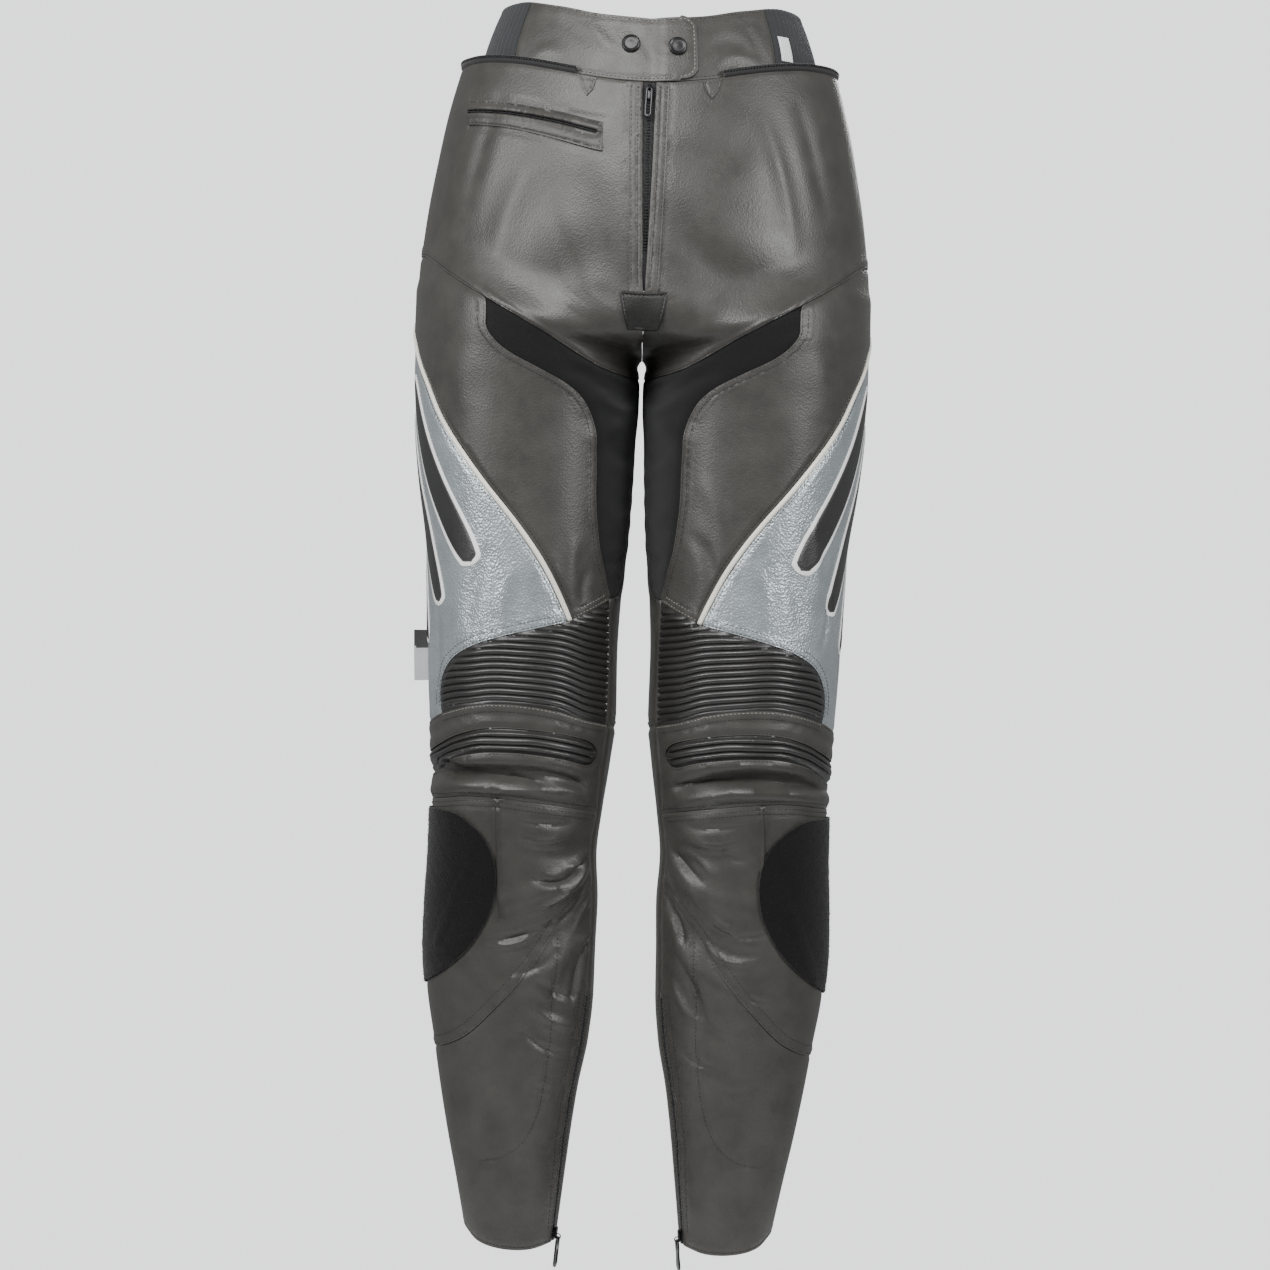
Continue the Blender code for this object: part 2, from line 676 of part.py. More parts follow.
def wall_mesh(outer_points, outer_faces, inner_points, inner_faces, pair):
    """One closed wall between an outer and an inner face, joined round their rims."""
    verts = [tuple(p) for p in outer_points] + [tuple(p) for p in inner_points]
    shift = len(outer_points)
    faces = [tuple(f) for f in outer_faces]
    faces += [tuple(shift + i for i in reversed(f)) for f in inner_faces]
    for a, b in rim_edges(outer_faces):
        inner_a = shift + pair[a]
        inner_b = shift + pair[b]
        if split_level(verts[a]) > split_level(verts[b]):
            faces += [(b, a, inner_b), (a, inner_a, inner_b)]
        else:
            faces += [(b, a, inner_a), (b, inner_a, inner_b)]
    return verts, faces


def split_level(point):
    """Orders two rim points the same way in both panels of a seam, so that rims run parallel."""
    return point[2] + 0.31 * point[0] + 0.17 * point[1]


def material(name):
    """The named finish as a Principled material, made once."""
    found = bpy.data.materials.get(name)
    if found:
        return found
    colour, roughness, metallic = COLOURS[name]
    made = bpy.data.materials.new(name)
    made.use_nodes = True
    shader = made.node_tree.nodes["Principled BSDF"]
    shader.inputs["Base Color"].default_value = (*colour, 1)
    shader.inputs["Roughness"].default_value = roughness
    shader.inputs["Metallic"].default_value = metallic
    return made


def add_node(name, verts, faces, finish, pivot=None):
    """One named object from points in millimetres, its origin at the pivot where it has one."""
    verts = np.asarray(verts, float)
    origin = np.zeros(3) if pivot is None else np.asarray(pivot, float)
    used = sorted({i for face in faces for i in face})
    place = {old: new for new, old in enumerate(used)}
    mesh = bpy.data.meshes.new(name)
    mesh.from_pydata([tuple((verts[i] - origin) * MM) for i in used], [],
                     [tuple(place[i] for i in face) for face in faces])
    mesh.validate()
    mesh.shade_smooth()
    mesh.set_sharp_from_angle(angle=SMOOTH_ANGLE)
    obj = bpy.data.objects.new(name, mesh)
    obj.location = tuple(origin * MM)
    own = material(finish).copy()
    own.name = name
    mesh.materials.append(own)
    bpy.context.scene.collection.objects.link(obj)
    bpy.context.view_layer.update()
    if solid_volume(mesh) < 0:
        mesh.flip_normals()
    return obj


def solid_volume(mesh):
    total = 0.0
    for poly in mesh.polygons:
        first = mesh.vertices[poly.vertices[0]].co
        for i in range(1, len(poly.vertices) - 1):
            second = mesh.vertices[poly.vertices[i]].co
            third = mesh.vertices[poly.vertices[i + 1]].co
            total += first.dot(second.cross(third)) / 6
    return total


def add_wall(name, sheet, faces, finish, bottom, top):
    """A wall whose outer face is lifted by top and inner face by bottom."""
    same = {i: i for i in range(len(sheet.flat))}
    verts, solid = wall_mesh(sheet.place(top), faces, sheet.place(bottom), faces, same)
    return add_node(name, verts, solid, finish)


def seam_line(surface, name, turn=0):
    line = curve_through(surface.to_flat(np.array(SEAMS[name], float)), EDGE_STEP)
    return turned_line(surface, line, turn)


def turned_line(surface, line, turn):
    """The same line on the surface, counted a whole number of turns further round."""
    around, down = surface.from_flat(line)
    return surface.to_flat(np.column_stack([around + turn, down]))


def join_lines(*lines):
    """One closed outline from lines that follow each other."""
    points = []
    for line in lines:
        for point in line:
            if not points or np.linalg.norm(np.subtract(point, points[-1])) > 0.02:
                points.append(tuple(point))
    if np.linalg.norm(np.subtract(points[0], points[-1])) <= 0.02:
        points.pop()
    return np.array(points)


def fly_half_gap(down):
    rows = np.array(FLY_GAP[::-1], float)
    if down < FLY_END:
        return 0.0
    return float(np.interp(down, rows[:, 0], rows[:, 1]))


def centre_line(leg, back):
    """The edge at the middle plane from the waist to the crotch, in the flat map."""
    marks = [-20 * i for i in range(7)] + [FLY_END + 8, FLY_END] + list(CROTCH_MARKS)
    spots = []
    for down in marks:
        across = 0.0 if back else fly_half_gap(down)
        spots.append((leg.turn_at(across, down, back), down))
    spots.append((1.0 if back else 0.0, -215))
    return leg.to_flat(np.array(spots))


def waist_line(leg, start, end):
    """The waist edge between two turns."""
    count = max(2, round(abs(end - start) * float(leg.girth(0.0)) / EDGE_STEP))
    spots = [(start + (end - start) * i / count, 0.0) for i in range(count + 1)]
    return leg.to_flat(np.array(spots))


def piping_edges(leg):
    """The two long edges of the piping strip, in the flat map."""
    middle = curve_through(leg.to_flat(np.array(PIPING_LINE)), PIPING_STEP)
    along = np.gradient(middle, axis=0)
    along /= np.linalg.norm(along, axis=1, keepdims=True)
    across = np.column_stack([along[:, 1], -along[:, 0]]) * PIPING_WIDTH / 2
    return middle + across, middle - across


def line_starting(line, near):
    """The line, turned round where needed so that it starts nearer to the given point."""
    first = np.linalg.norm(np.subtract(line[0], near))
    last = np.linalg.norm(np.subtract(line[-1], near))
    return line if first <= last else line[::-1]


def chain(*lines):
    """A closed outline from lines given in order, each turned to follow the one before."""
    ordered = [np.asarray(lines[0])]
    second = np.asarray(lines[1])
    start_gap = min(np.linalg.norm(ordered[0][0] - second[0]),
                    np.linalg.norm(ordered[0][0] - second[-1]))
    end_gap = min(np.linalg.norm(ordered[0][-1] - second[0]),
                  np.linalg.norm(ordered[0][-1] - second[-1]))
    if start_gap < end_gap:
        ordered[0] = ordered[0][::-1]
    for line in lines[1:]:
        ordered.append(line_starting(np.asarray(line), ordered[-1][-1]))
    return join_lines(*ordered)


def front_spot(leg, across, down):
    """The flat place of a point given by its distance from the middle plane and how far down."""
    turn = leg.turn_at(across, down)
    return leg.to_flat(np.array([(turn, down)]))[0]


def front_area(leg, spots):
    """A closed area on the hip front from corners in (across, down), with straight edges."""
    corners = [front_spot(leg, across, down) for across, down in spots]
    lines = []
    for a, b in zip(corners, corners[1:] + corners[:1]):
        lines.append(curve_through(np.array([a, b]), AREA_STEP))
    return join_lines(*lines)


def fly_strip_area(leg):
    """The strip beside the fly, from just under the waist to the fly's end."""
    marks = np.linspace(-3, FLY_END, 11)
    near = [(fly_half_gap(d) + FLY_STRIP_GAP, d) for d in marks]
    far = [(fly_half_gap(d) + FLY_STRIP_GAP + FLY_STRIP_WIDTH, d) for d in marks]
    return np.array([front_spot(leg, *spot) for spot in near + far[::-1]])


def pocket_areas(leg):
    """Upper welt, zip and lower welt of the pocket."""
    top = [(-x, d) for x, d in POCKET_TOP]
    slit = [(-x, d) for x, d in POCKET_SLIT]
    low = [(-x, d) for x, d in POCKET_LOW]
    above = [(x, d + POCKET_SLIT_HALF) for x, d in slit]
    below = [(x, d - POCKET_SLIT_HALF) for x, d in slit]
    gap = SEAM_GAP
    end = slit[-1][0] - 2 * gap
    upper = top + [(top[-1][0], slit[-1][1] + gap / 2), (end, slit[-1][1] + gap / 2)] + above[::-1]
    lower = low + [(low[-1][0], slit[-1][1] - gap / 2), (end, slit[-1][1] - gap / 2)] + below[::-1]
    middle = [(x, d - gap) for x, d in above] + [(x, d + gap) for x, d in below[::-1]]
    return [front_area(leg, spots) for spots in (upper, middle, lower)]


def add_hip_front(leg, prefix):
    centre = centre_line(leg, back=False)
    start = leg.from_flat(centre[:1])[0][0]
    outline = chain(waist_line(leg, start, 0.5), centre, seam_line(leg, "crotch_inner"),
                    seam_line(leg, "hip_seam_inner"), seam_line(leg, "hip_seam_side"),
                    side_top_line(leg))
    areas = [fly_strip_area(leg), front_area(leg, ZIP_END_TAB)]
    if leg.side < 0:
        areas += pocket_areas(leg)
    sheet = Sheet(leg, outline, areas)
    add_wall(prefix + "hip_front", sheet, sheet.faces, "leather", -WALL, 0)
    low = LAY_GAP
    high = LAY_GAP + TRIM_WALL
    add_wall(prefix + "fly_strip", sheet, sheet.faces_in(0), "leather", low, high)
    add_wall(prefix + "zip_end_tab", sheet, sheet.faces_in(1), "leather", low, high)
    if leg.side < 0:
        add_wall("pocket_welt_upper", sheet, sheet.faces_in(2), "leather", low, low + WELT_WALL)
        add_wall("pocket_zip", sheet, sheet.faces_in(3), "zip", low, low + POCKET_ZIP_WALL)
        add_wall("pocket_welt_lower", sheet, sheet.faces_in(4), "leather", low, low + WELT_WALL)


def side_top_line(leg):
    spots = np.array([(0.5, 0.0), (0.5, -80.0), (0.5, -160.0)])
    return curve_through(leg.to_flat(spots), EDGE_STEP)


def add_seat_back(leg, prefix):
    centre = centre_line(leg, back=True)
    start = leg.from_flat(centre[:1])[0][0]
    inner = seam_line(leg, "crotch_inner", turn=1)
    outline = chain(waist_line(leg, 0.5, start), centre, inner, seam_line(leg, "hip_seam_back"),
                    side_top_line(leg))
    sheet = Sheet(leg, outline)
    add_wall(prefix + "seat_back", sheet, sheet.faces, "leather", -WALL, 0)


def add_thigh(leg, prefix):
    front_edge, back_edge = piping_edges(leg)
    start_cap = np.array([front_edge[0], back_edge[0]])
    end_cap = np.array([front_edge[-1], back_edge[-1]])
    thigh_low = seam_line(leg, "thigh_low")
    thigh_low[-1] = front_edge[-1]
    side_low = seam_line(leg, "side_low")
    side_low[0] = back_edge[-1]
    side_seam = seam_line(leg, "side_seam")
    side_seam[-1] = front_edge[0]
    side_back = seam_line(leg, "side_back")
    side_back[-1] = back_edge[0]

    sheet = Sheet(leg, chain(seam_line(leg, "hip_seam_inner"), seam_line(leg, "stretch_back"),
                             seam_line(leg, "stretch_front")))
    add_wall(prefix + "inner_thigh_stretch", sheet, sheet.faces, "stretch", -WALL, 0)

    sheet = Sheet(leg, chain(seam_line(leg, "hip_seam_side"), seam_line(leg, "stretch_front"),
                             thigh_low, front_edge, side_seam))
    add_wall(prefix + "thigh_front", sheet, sheet.faces, "leather", -WALL, 0)

    sheet = Sheet(leg, chain(front_edge, end_cap, back_edge, start_cap))
    add_wall(prefix + "piping", sheet, sheet.faces, "piping", -WALL, PIPING_RISE)

    sheet = Sheet(leg, chain(back_edge, side_low, seam_line(leg, "band_top_side"), side_back))
    add_wall(prefix + "side_panel", sheet, sheet.faces, "panel_leather", -WALL, 0)

    sheet = Sheet(leg, chain(side_seam, start_cap, side_back, seam_line(leg, "knee_back"),
                             seam_line(leg, "inseam_knee", turn=1),
                             seam_line(leg, "stretch_back", turn=1),
                             seam_line(leg, "hip_seam_back")))
    add_wall(prefix + "thigh_back", sheet, sheet.faces, "leather", -WALL, 0)

    outline = chain(thigh_low, end_cap, side_low, seam_line(leg, "band_top"),
                    seam_line(leg, "inseam_knee"))
    add_ribbed(prefix + "knee_accordion", leg, outline, accordion_rows(leg), 1, RIB_HEIGHT)


def accordion_rows(leg):
    """Rows of points on the valleys and crests of the knee's ribs, from the lowest rib up."""
    table = SmoothTable(("around", "down"), SEAMS["band_top"])
    marks = np.linspace(0.06, 0.42, 13)
    base = table.read("down", marks)
    rows = []
    for k in range(2 * RIB_COUNT + 2):
        flatten = 0.6 * k / (2 * RIB_COUNT)
        level = base * (1 - flatten) + base.mean() * flatten
        rows.append(np.column_stack([marks, level + (k + 1) * RIB_PITCH / 2]))
    return rows


def insert_rows(leg):
    """Rows of points on the crests and valleys of the knee insert, from its top down."""
    edge = np.array(SEAMS["insert_edge"])
    tip = int(np.argmin(edge[:, 0]))
    top = SmoothTable(("around", "down"), edge[:tip])
    low = SmoothTable(("around", "down"), edge[tip + 1:])
    marks = np.linspace(0.1, 0.55, 15)
    rows = []
    for k in range(1, 2 * INSERT_RIBS):
        share = k / (2 * INSERT_RIBS)
        level = top.read("down", marks) * (1 - share) + low.read("down", marks) * share
        rows.append(np.column_stack([marks, level]))
    return rows


def add_ribbed(name, leg, outline, rows, first_crest, rib_height):
    """A wall whose outer points stand up on every second row, over a plain inner face."""
    flat_rows = [leg.to_flat(row) for row in rows]
    outer = Sheet(leg, outline, rows=flat_rows, step=NO_GRID)
    inner = Sheet(leg, outline)
    crest_keys = set()
    for row in flat_rows[first_crest::2]:
        crest_keys |= {Sheet.key(p) for p in row}
    lift = np.array([rib_height if Sheet.key(p) in crest_keys else 0.0 for p in outer.flat])
    inner_at = {Sheet.key(p): i for i, p in enumerate(inner.flat)}
    pair = {}
    for edge in rim_edges(outer.faces):
        for i in edge:
            pair[i] = inner_at[Sheet.key(outer.flat[i])]
    verts, faces = wall_mesh(outer.place(lift), outer.faces, inner.place(-WALL), inner.faces, pair)
    return add_node(name, verts, faces, "leather")


def add_knee_and_calf(leg, prefix):
    insert = insert_line(leg)
    outline = chain(seam_line(leg, "band_top"), seam_line(leg, "band_top_side"),
                    seam_line(leg, "knee_side_upper"), insert, seam_line(leg, "knee_side_lower"),
                    seam_line(leg, "band_low"), seam_line(leg, "inseam_band"))
    sheet = Sheet(leg, outline)
    add_wall(prefix + "knee_band", sheet, sheet.faces, "leather", -WALL, 0)
    outline = chain(insert, seam_line(leg, "knee_side_insert"))
    add_ribbed(prefix + "knee_insert", leg, outline, insert_rows(leg), 0, INSERT_RIB_HEIGHT)

    patch = curve_through(leg.to_flat(np.array(HOOK_PATCH[1:])), PATCH_STEP)
    patch_back = curve_through(leg.to_flat(np.array((HOOK_PATCH[-1], HOOK_PATCH[0]))), PATCH_STEP)
    patch_top = curve_through(leg.to_flat(np.array(HOOK_PATCH[:2])), PATCH_STEP)
    area = chain(patch, patch_back, patch_top)
    sheet = Sheet(leg, chain(seam_line(leg, "band_low"), seam_line(leg, "calf_side_upper"),
                             seam_line(leg, "shin_seam"), seam_line(leg, "inseam_shin")), [area])
    add_wall(prefix + "shin_upper", sheet, sheet.faces, "leather", -WALL, 0)
    add_wall(prefix + "hook_patch", sheet, sheet.faces_in(0), "hook", LAY_GAP, LAY_GAP + HOOK_WALL)

    zip_front = zip_edge(leg, "zip_front")
    zip_back = zip_edge(leg, "zip_back")
    sheet = Sheet(leg, chain(seam_line(leg, "shin_seam"), seam_line(leg, "calf_side_lower"),
                             seam_line(leg, "hem_front"), zip_front,
                             seam_line(leg, "inseam_calf")))
    add_wall(prefix + "shin_lower", sheet, sheet.faces, "leather", -WALL, 0)
    sheet = Sheet(leg, chain(zip_front, seam_line(leg, "zip_hem"), zip_back))
    add_wall(prefix + "calf_zip", sheet, sheet.faces, "zip", CALF_ZIP_SUNK - WALL,
             -CALF_ZIP_SUNK)

    sheet = Sheet(leg, chain(seam_line(leg, "knee_back"), seam_line(leg, "knee_side_upper"),
                             seam_line(leg, "knee_side_insert"),
                             seam_line(leg, "knee_side_lower"),
                             seam_line(leg, "calf_side_upper"), seam_line(leg, "calf_side_lower"),
                             seam_line(leg, "hem_back"), turned_line(leg, zip_back, 1),
                             seam_line(leg, "inseam_calf", turn=1),
                             seam_line(leg, "inseam_shin", turn=1),
                             seam_line(leg, "inseam_band", turn=1)))
    add_wall(prefix + "calf_back", sheet, sheet.faces, "leather", -WALL, 0)


def zip_edge(leg, name):
    """A calf zip's edge: its short top step, then the long smooth edge."""
    flat = leg.to_flat(np.array(SEAMS[name]))
    return np.vstack([flat[:1], curve_through(flat[1:], EDGE_STEP)])


def insert_line(leg):
    """The knee insert's U shaped edge, sampled closely round its inner end."""
    flat = leg.to_flat(np.array(SEAMS["insert_edge"]))
    return curve_through(flat, INSERT_EDGE_STEP)


def band_bottom(band, around):
    """Height of the waistband's lower edge, just above the waist edge of the hips."""
    leg = Leg(1)
    across = abs(float(band.point(around, 0.0)[0]))
    front = abs((around % 1) - 0.5) < 0.25
    name = "dip_front" if front else "dip_back"
    dip = float(leg.rings.read(name, 0.0))
    outer = float(leg.rings.read("outer", 0.0))
    fade = math.cos(math.pi / 2 * min(across / outer, 1))**2
    return dip * fade + LAY_GAP + 0.15


def band_top(around):
    rows = np.array(BAND_TOP)
    turn = around % 1
    turn = 1 - turn if turn > 0.5 else turn
    table = SmoothTable(("around", "height"), BAND_TOP)
    return float(table.read("height", np.clip(turn, rows[0, 0], rows[-1, 0])))


def band_outline(band, start, end, round_end=0.0):
    """A stretch of waistband between two turns, with rounded corners at its far end."""
    count = max(2, round((end - start) * BAND_GIRTH / BAND_EDGE_STEP))
    turns = [start + (end - start) * i / count for i in range(count + 1)]
    turns = sorted(turns + [turn for turn in lap_turns() if round_end])
    count = len(turns) - 1
    low = [(t, band_bottom(band, t)) for t in turns]
    top = [(t, band_top(t)) for t in turns]
    if not round_end:
        spots = np.array(low + top[::-1])
        flat = band.to_flat(spots)
        side_a = curve_through(np.array([flat[0], flat[-1]]), BAND_EDGE_STEP)
        side_b = curve_through(np.array([flat[count], flat[count + 1]]), BAND_EDGE_STEP)
        return chain(flat[:count + 1], side_b, flat[count + 1:], side_a)
    flat_low = band.to_flat(np.array(low))
    flat_top = band.to_flat(np.array(top))
    r = round_end
    x_end = flat_low[-1][0]
    keep_low = flat_low[flat_low[:, 0] < x_end - r - 3]
    keep_top = flat_top[flat_top[:, 0] < x_end - r - 3]
    y_low = flat_low[-1][1]
    y_top = flat_top[-1][1]
    corner_low = [(x_end - r + r * math.sin(t), y_low + r - r * math.cos(t))
                  for t in np.linspace(0, math.pi / 2, 5)]
    corner_top = [(x_end - r + r * math.cos(t), y_top - r + r * math.sin(t))
                  for t in np.linspace(0, math.pi / 2, 5)]
    side_a = curve_through(np.array([keep_low[0], keep_top[0]]), BAND_EDGE_STEP)
    return join_lines(keep_low, np.array(corner_low), np.array(corner_top), keep_top[::-1],
                      side_a[::-1])


def lap_turns():
    """Where the lapped end starts to rise and where it has risen, in turns."""
    return [0.5 + math.asin(x / LAP_HALF_WIDTH) / math.tau for x in (LAP_START, LAP_END + 0.7)]


def lap_rows(band):
    """Two upright rows where the lapped end starts to rise and where it has risen."""
    rows = []
    for turn in lap_turns():
        low = band_bottom(band, turn)
        top = band_top(turn)
        spots = [(turn, low + (top - low) * share) for share in (0.2, 0.4, 0.6, 0.8)]
        rows.append(band.to_flat(np.array(spots)))
    return rows


def add_waistband():
    plain = Band()
    lapped = Band(OVERLAP_LIFT)
    outline = band_outline(lapped, BAND_ELASTIC_RIGHT[1], BAND_END_FRONT,
                           BAND_ROUND_END)
    add_band_piece("waistband_front_right", lapped, outline, "leather", lap_rows(lapped))
    outline = band_outline(plain, BAND_START_UNDER, BAND_ELASTIC_LEFT[0])
    add_band_piece("waistband_front_left", plain, outline, "leather")
    outline = band_outline(plain, *BAND_ELASTIC_RIGHT)
    add_band_piece("waistband_elastic_right", plain, outline, "stretch")
    outline = band_outline(plain, *BAND_ELASTIC_LEFT)
    area = plain.to_flat(np.array(SIZE_TAG, float))
    sheet = Sheet(plain, outline, [area], step=BAND_FACE_STEP)
    add_wall("waistband_elastic_left", sheet, sheet.faces, "stretch", -WALL, 0)
    add_wall("size_tag", sheet, sheet.faces_in(0), "label", LAY_GAP,
             LAY_GAP + SIZE_TAG_WALL)
    start = BAND_ELASTIC_LEFT[1]
    outline = band_outline(plain, start - 1, BAND_ELASTIC_RIGHT[0])
    add_band_piece("waistband_back", plain, outline, "leather")


def add_band_piece(name, band, outline, finish, rows=()):
    sheet = Sheet(band, outline, rows=rows, step=BAND_FACE_STEP)
    return add_wall(name, sheet, sheet.faces, finish, -WALL, 0)


def tube_mesh(path, ups, half_up, half_out, outs, sides=6):
    """A closed tube of oval section along a path."""
    verts = []
    faces = []
    for point, up, out in zip(path, ups, outs):
        for k in range(sides):
            turn = 2 * math.pi * k / sides
            verts.append(point + up * half_up * math.cos(turn) + out * half_out * math.sin(turn))
    rings = len(path)
    for i in range(rings - 1):
        for k in range(sides):
            a = i * sides + k
            b = i * sides + (k + 1) % sides
            faces.append((a, b, b + sides))
            faces.append((a, b + sides, a + sides))
    for start, order in ((0, 1), ((rings - 1) * sides, -1)):
        verts.append(np.mean(verts[start:start + sides], axis=0))
        for k in range(sides):
            pair = (start + k, start + (k + 1) % sides)
            faces.append((len(verts) - 1, *(pair[::-1] if order > 0 else pair)))
    return verts, faces


def add_joining_zip():
    """The rolled zip along the waist edge, from one tab round the back to the other."""
    leg = Leg(1)
    start = leg.turn_at(JOIN_ZIP_START, 0.0)
    end = leg.turn_at(0.0, 0.0, back=True)
    turns = np.linspace(start, end, JOIN_ZIP_POINTS)
    level = np.zeros(JOIN_ZIP_POINTS)
    half = leg.lifted(turns, level, -JOIN_ZIP_SUNK)
    normals = leg.normal(turns, level)
    normals[:, 2] = 0
    normals[-1] = (0, 1, 0)
    half[-1, 0] = 0
    normals /= np.linalg.norm(normals, axis=1, keepdims=True)
    half[:, 2] += JOIN_ZIP_HALF_HEIGHT + LAY_GAP
    mirror = half[:-1][::-1] * [-1, 1, 1]
    mirror_normals = normals[:-1][::-1] * [-1, 1, 1]
    path = np.vstack([half, mirror])
    outs = np.vstack([normals, mirror_normals])
    ups = np.tile([0.0, 0.0, 1.0], (len(path), 1))
    verts, faces = tube_mesh(path, ups, JOIN_ZIP_HALF_HEIGHT, JOIN_ZIP_HALF_DEPTH, outs)
    add_node("joining_zip", verts, faces, "zip")


def frame_at(surface, around, down, lift):
    """A point on a surface with its out, up and across directions."""
    point = surface.lifted(around, down, lift) * [surface.side, 1, 1]
    out = surface.normal(around, down) * [surface.side, 1, 1]
    up = surface.lifted(around, down + 1, lift) * [surface.side, 1, 1] - point
    up -= out * float(np.dot(up, out))
    up /= np.linalg.norm(up)
    return point, out, up, np.cross(up, out)


def turned_mesh(centre, out, up, profile, sides=ROUND_SIDES):
    """A round piece turned about out, its profile as (radius, height) from foot to top."""
    across = np.cross(up, out)
    verts = [centre + out * profile[0][1]]
    for radius, height in profile:
        for k in range(sides):
            turn = 2 * math.pi * k / sides
            ray = across * math.cos(turn) + up * math.sin(turn)
            verts.append(centre + ray * radius + out * height)
    verts.append(centre + out * profile[-1][1])
    faces = []
    last = 1 + (len(profile) - 1) * sides
    for k in range(sides):
        n = (k + 1) % sides
        faces.append((0, 1 + n, 1 + k))
        faces.append((len(verts) - 1, last + k, last + n))
        for j in range(len(profile) - 1):
            a = 1 + j * sides + k
            b = 1 + j * sides + n
            faces.append((a, b, b + sides))
            faces.append((a, b + sides, a + sides))
    return verts, faces


def add_snaps():
    band = Band(OVERLAP_LIFT)
    for name, across, height in SNAP_SPOTS:
        around = 0.5 + math.asin(across / float(band.rings.read("half_width", height))) / math.tau
        point, out, up, _ = frame_at(band, around, height, LAY_GAP + 0.1)
        verts, faces = turned_mesh(point, out, up, SNAP_PROFILE)
        add_node("snap_" + name, verts, faces, "metal")


def plate_mesh(outline, centre, across, up, out, low, high, hole=None):
    """A flat plate from an outline in (across, up), between two heights along out."""
    loops = [np.asarray(outline, float)]
    if hole is not None:
        loops.append(np.asarray(hole, float)[::-1])
    points = [tuple(p) for loop in loops for p in loop]
    edges = []
    start = 0
    for loop in loops:
        count = len(loop)
        edges += [(start + i, start + (i + 1) % count) for i in range(count)]
        start += count
    result = delaunay_2d_cdt([Vector(p) for p in points], edges, [], 1, 1e-6)
    flat = np.array([tuple(v) for v in result[0]])
    faces = []
    for face in result[2]:
        middle = flat[list(face)].mean(axis=0)[None]
        if hole is not None and inside(loops[1], middle)[0]:
            continue
        faces.append(tuple(face) if signed_area(flat[list(face)]) > 0 else tuple(reversed(face)))
    base = centre + flat[:, :1] * across + flat[:, 1:2] * up
    same = {i: i for i in range(len(flat))}
    return wall_mesh(base + out * high, faces, base + out * low, faces, same)


def stadium(half_width, top, bottom, steps=6):
    """An outline with round ends, from top down to bottom."""
    spots = []
    for sign, level in ((1, top - half_width), (-1, bottom + half_width)):
        for i in range(steps + 1):
            turn = math.pi * i / steps
            spots.append((sign * half_width * math.cos(turn),
                          level + sign * half_width * math.sin(turn)))
    return spots


def box_mesh(centre, across, up, out, half_width, half_height, low, high):
    outline = [(-half_width, -half_height), (half_width, -half_height),
               (half_width, half_height), (-half_width, half_height)]
    return plate_mesh(outline, centre, across, up, out, low, high)


def add_fly_zip():
    """Fly tape between the fronts, its slider and pull, and the tab under it."""
    leg = Leg(1)
    marks = np.linspace(0.0, FLY_END, 12)
    left_edge = np.array([front_spot(leg, fly_half_gap(d), d) for d in marks])
    right_edge = np.array([front_spot(leg, -fly_half_gap(d), d) for d in marks])
    sheet = Sheet(leg, join_lines(left_edge, right_edge[::-1]), step=30)
    add_wall("fly_zip", sheet, sheet.faces, "zip", -FLY_ZIP_FOOT, -FLY_ZIP_SUNK)

    around = leg.turn_at(0.0, FLY_SLIDER_DOWN)
    point, out, up, across = frame_at(leg, around, FLY_SLIDER_DOWN, -0.2)
    verts, faces = box_mesh(point, across, up, out, SLIDER_HALF_WIDTH, SLIDER_HALF_HEIGHT, 0,
                            SLIDER_DEPTH)
    add_node("fly_slider", verts, faces, "metal")
    reach = SLIDER_DEPTH + PULL_GAP + PULL_THICK / 2
    pivot = point + up * (SLIDER_HALF_HEIGHT - FLY_PULL_DROP) + out * reach
    outline = stadium(FLY_PULL_HALF_WIDTH, PULL_TOP, -FLY_PULL_LENGTH)
    verts, faces = plate_mesh(outline, pivot, across, up, out, -PULL_THICK / 2, PULL_THICK / 2)
    add_node("fly_zip_pull", verts, faces, "metal", pivot)

    add_fly_tab(leg)


def add_fly_tab(leg):
    """The tab at the foot of the fly, lying over both fronts."""
    forward = np.array([0, -1.0, -FLY_TAB_LEAN])
    low = []
    high = []
    for down, half in FLY_TAB:
        for k in range(-FLY_TAB_COLUMNS, FLY_TAB_COLUMNS + 1):
            across = half * k / FLY_TAB_COLUMNS
            base = leg.lifted(leg.turn_at(abs(across), down), down, 0.0)
            spot = base * [math.copysign(1, across), 1, 1]
            low.append(spot + forward * FLY_TAB_LIFT)
            high.append(spot + forward * (FLY_TAB_LIFT + TRIM_WALL))
    row = 2 * FLY_TAB_COLUMNS + 1
    faces = []
    for j in range(len(FLY_TAB) - 1):
        for k in range(row - 1):
            a = j * row + k
            faces.append((a, a + row, a + row + 1))
            faces.append((a, a + row + 1, a + 1))
    same = {i: i for i in range(len(low))}
    verts, solid = wall_mesh(high, faces, low, faces, same)
    add_node("fly_tab", verts, solid, "leather")


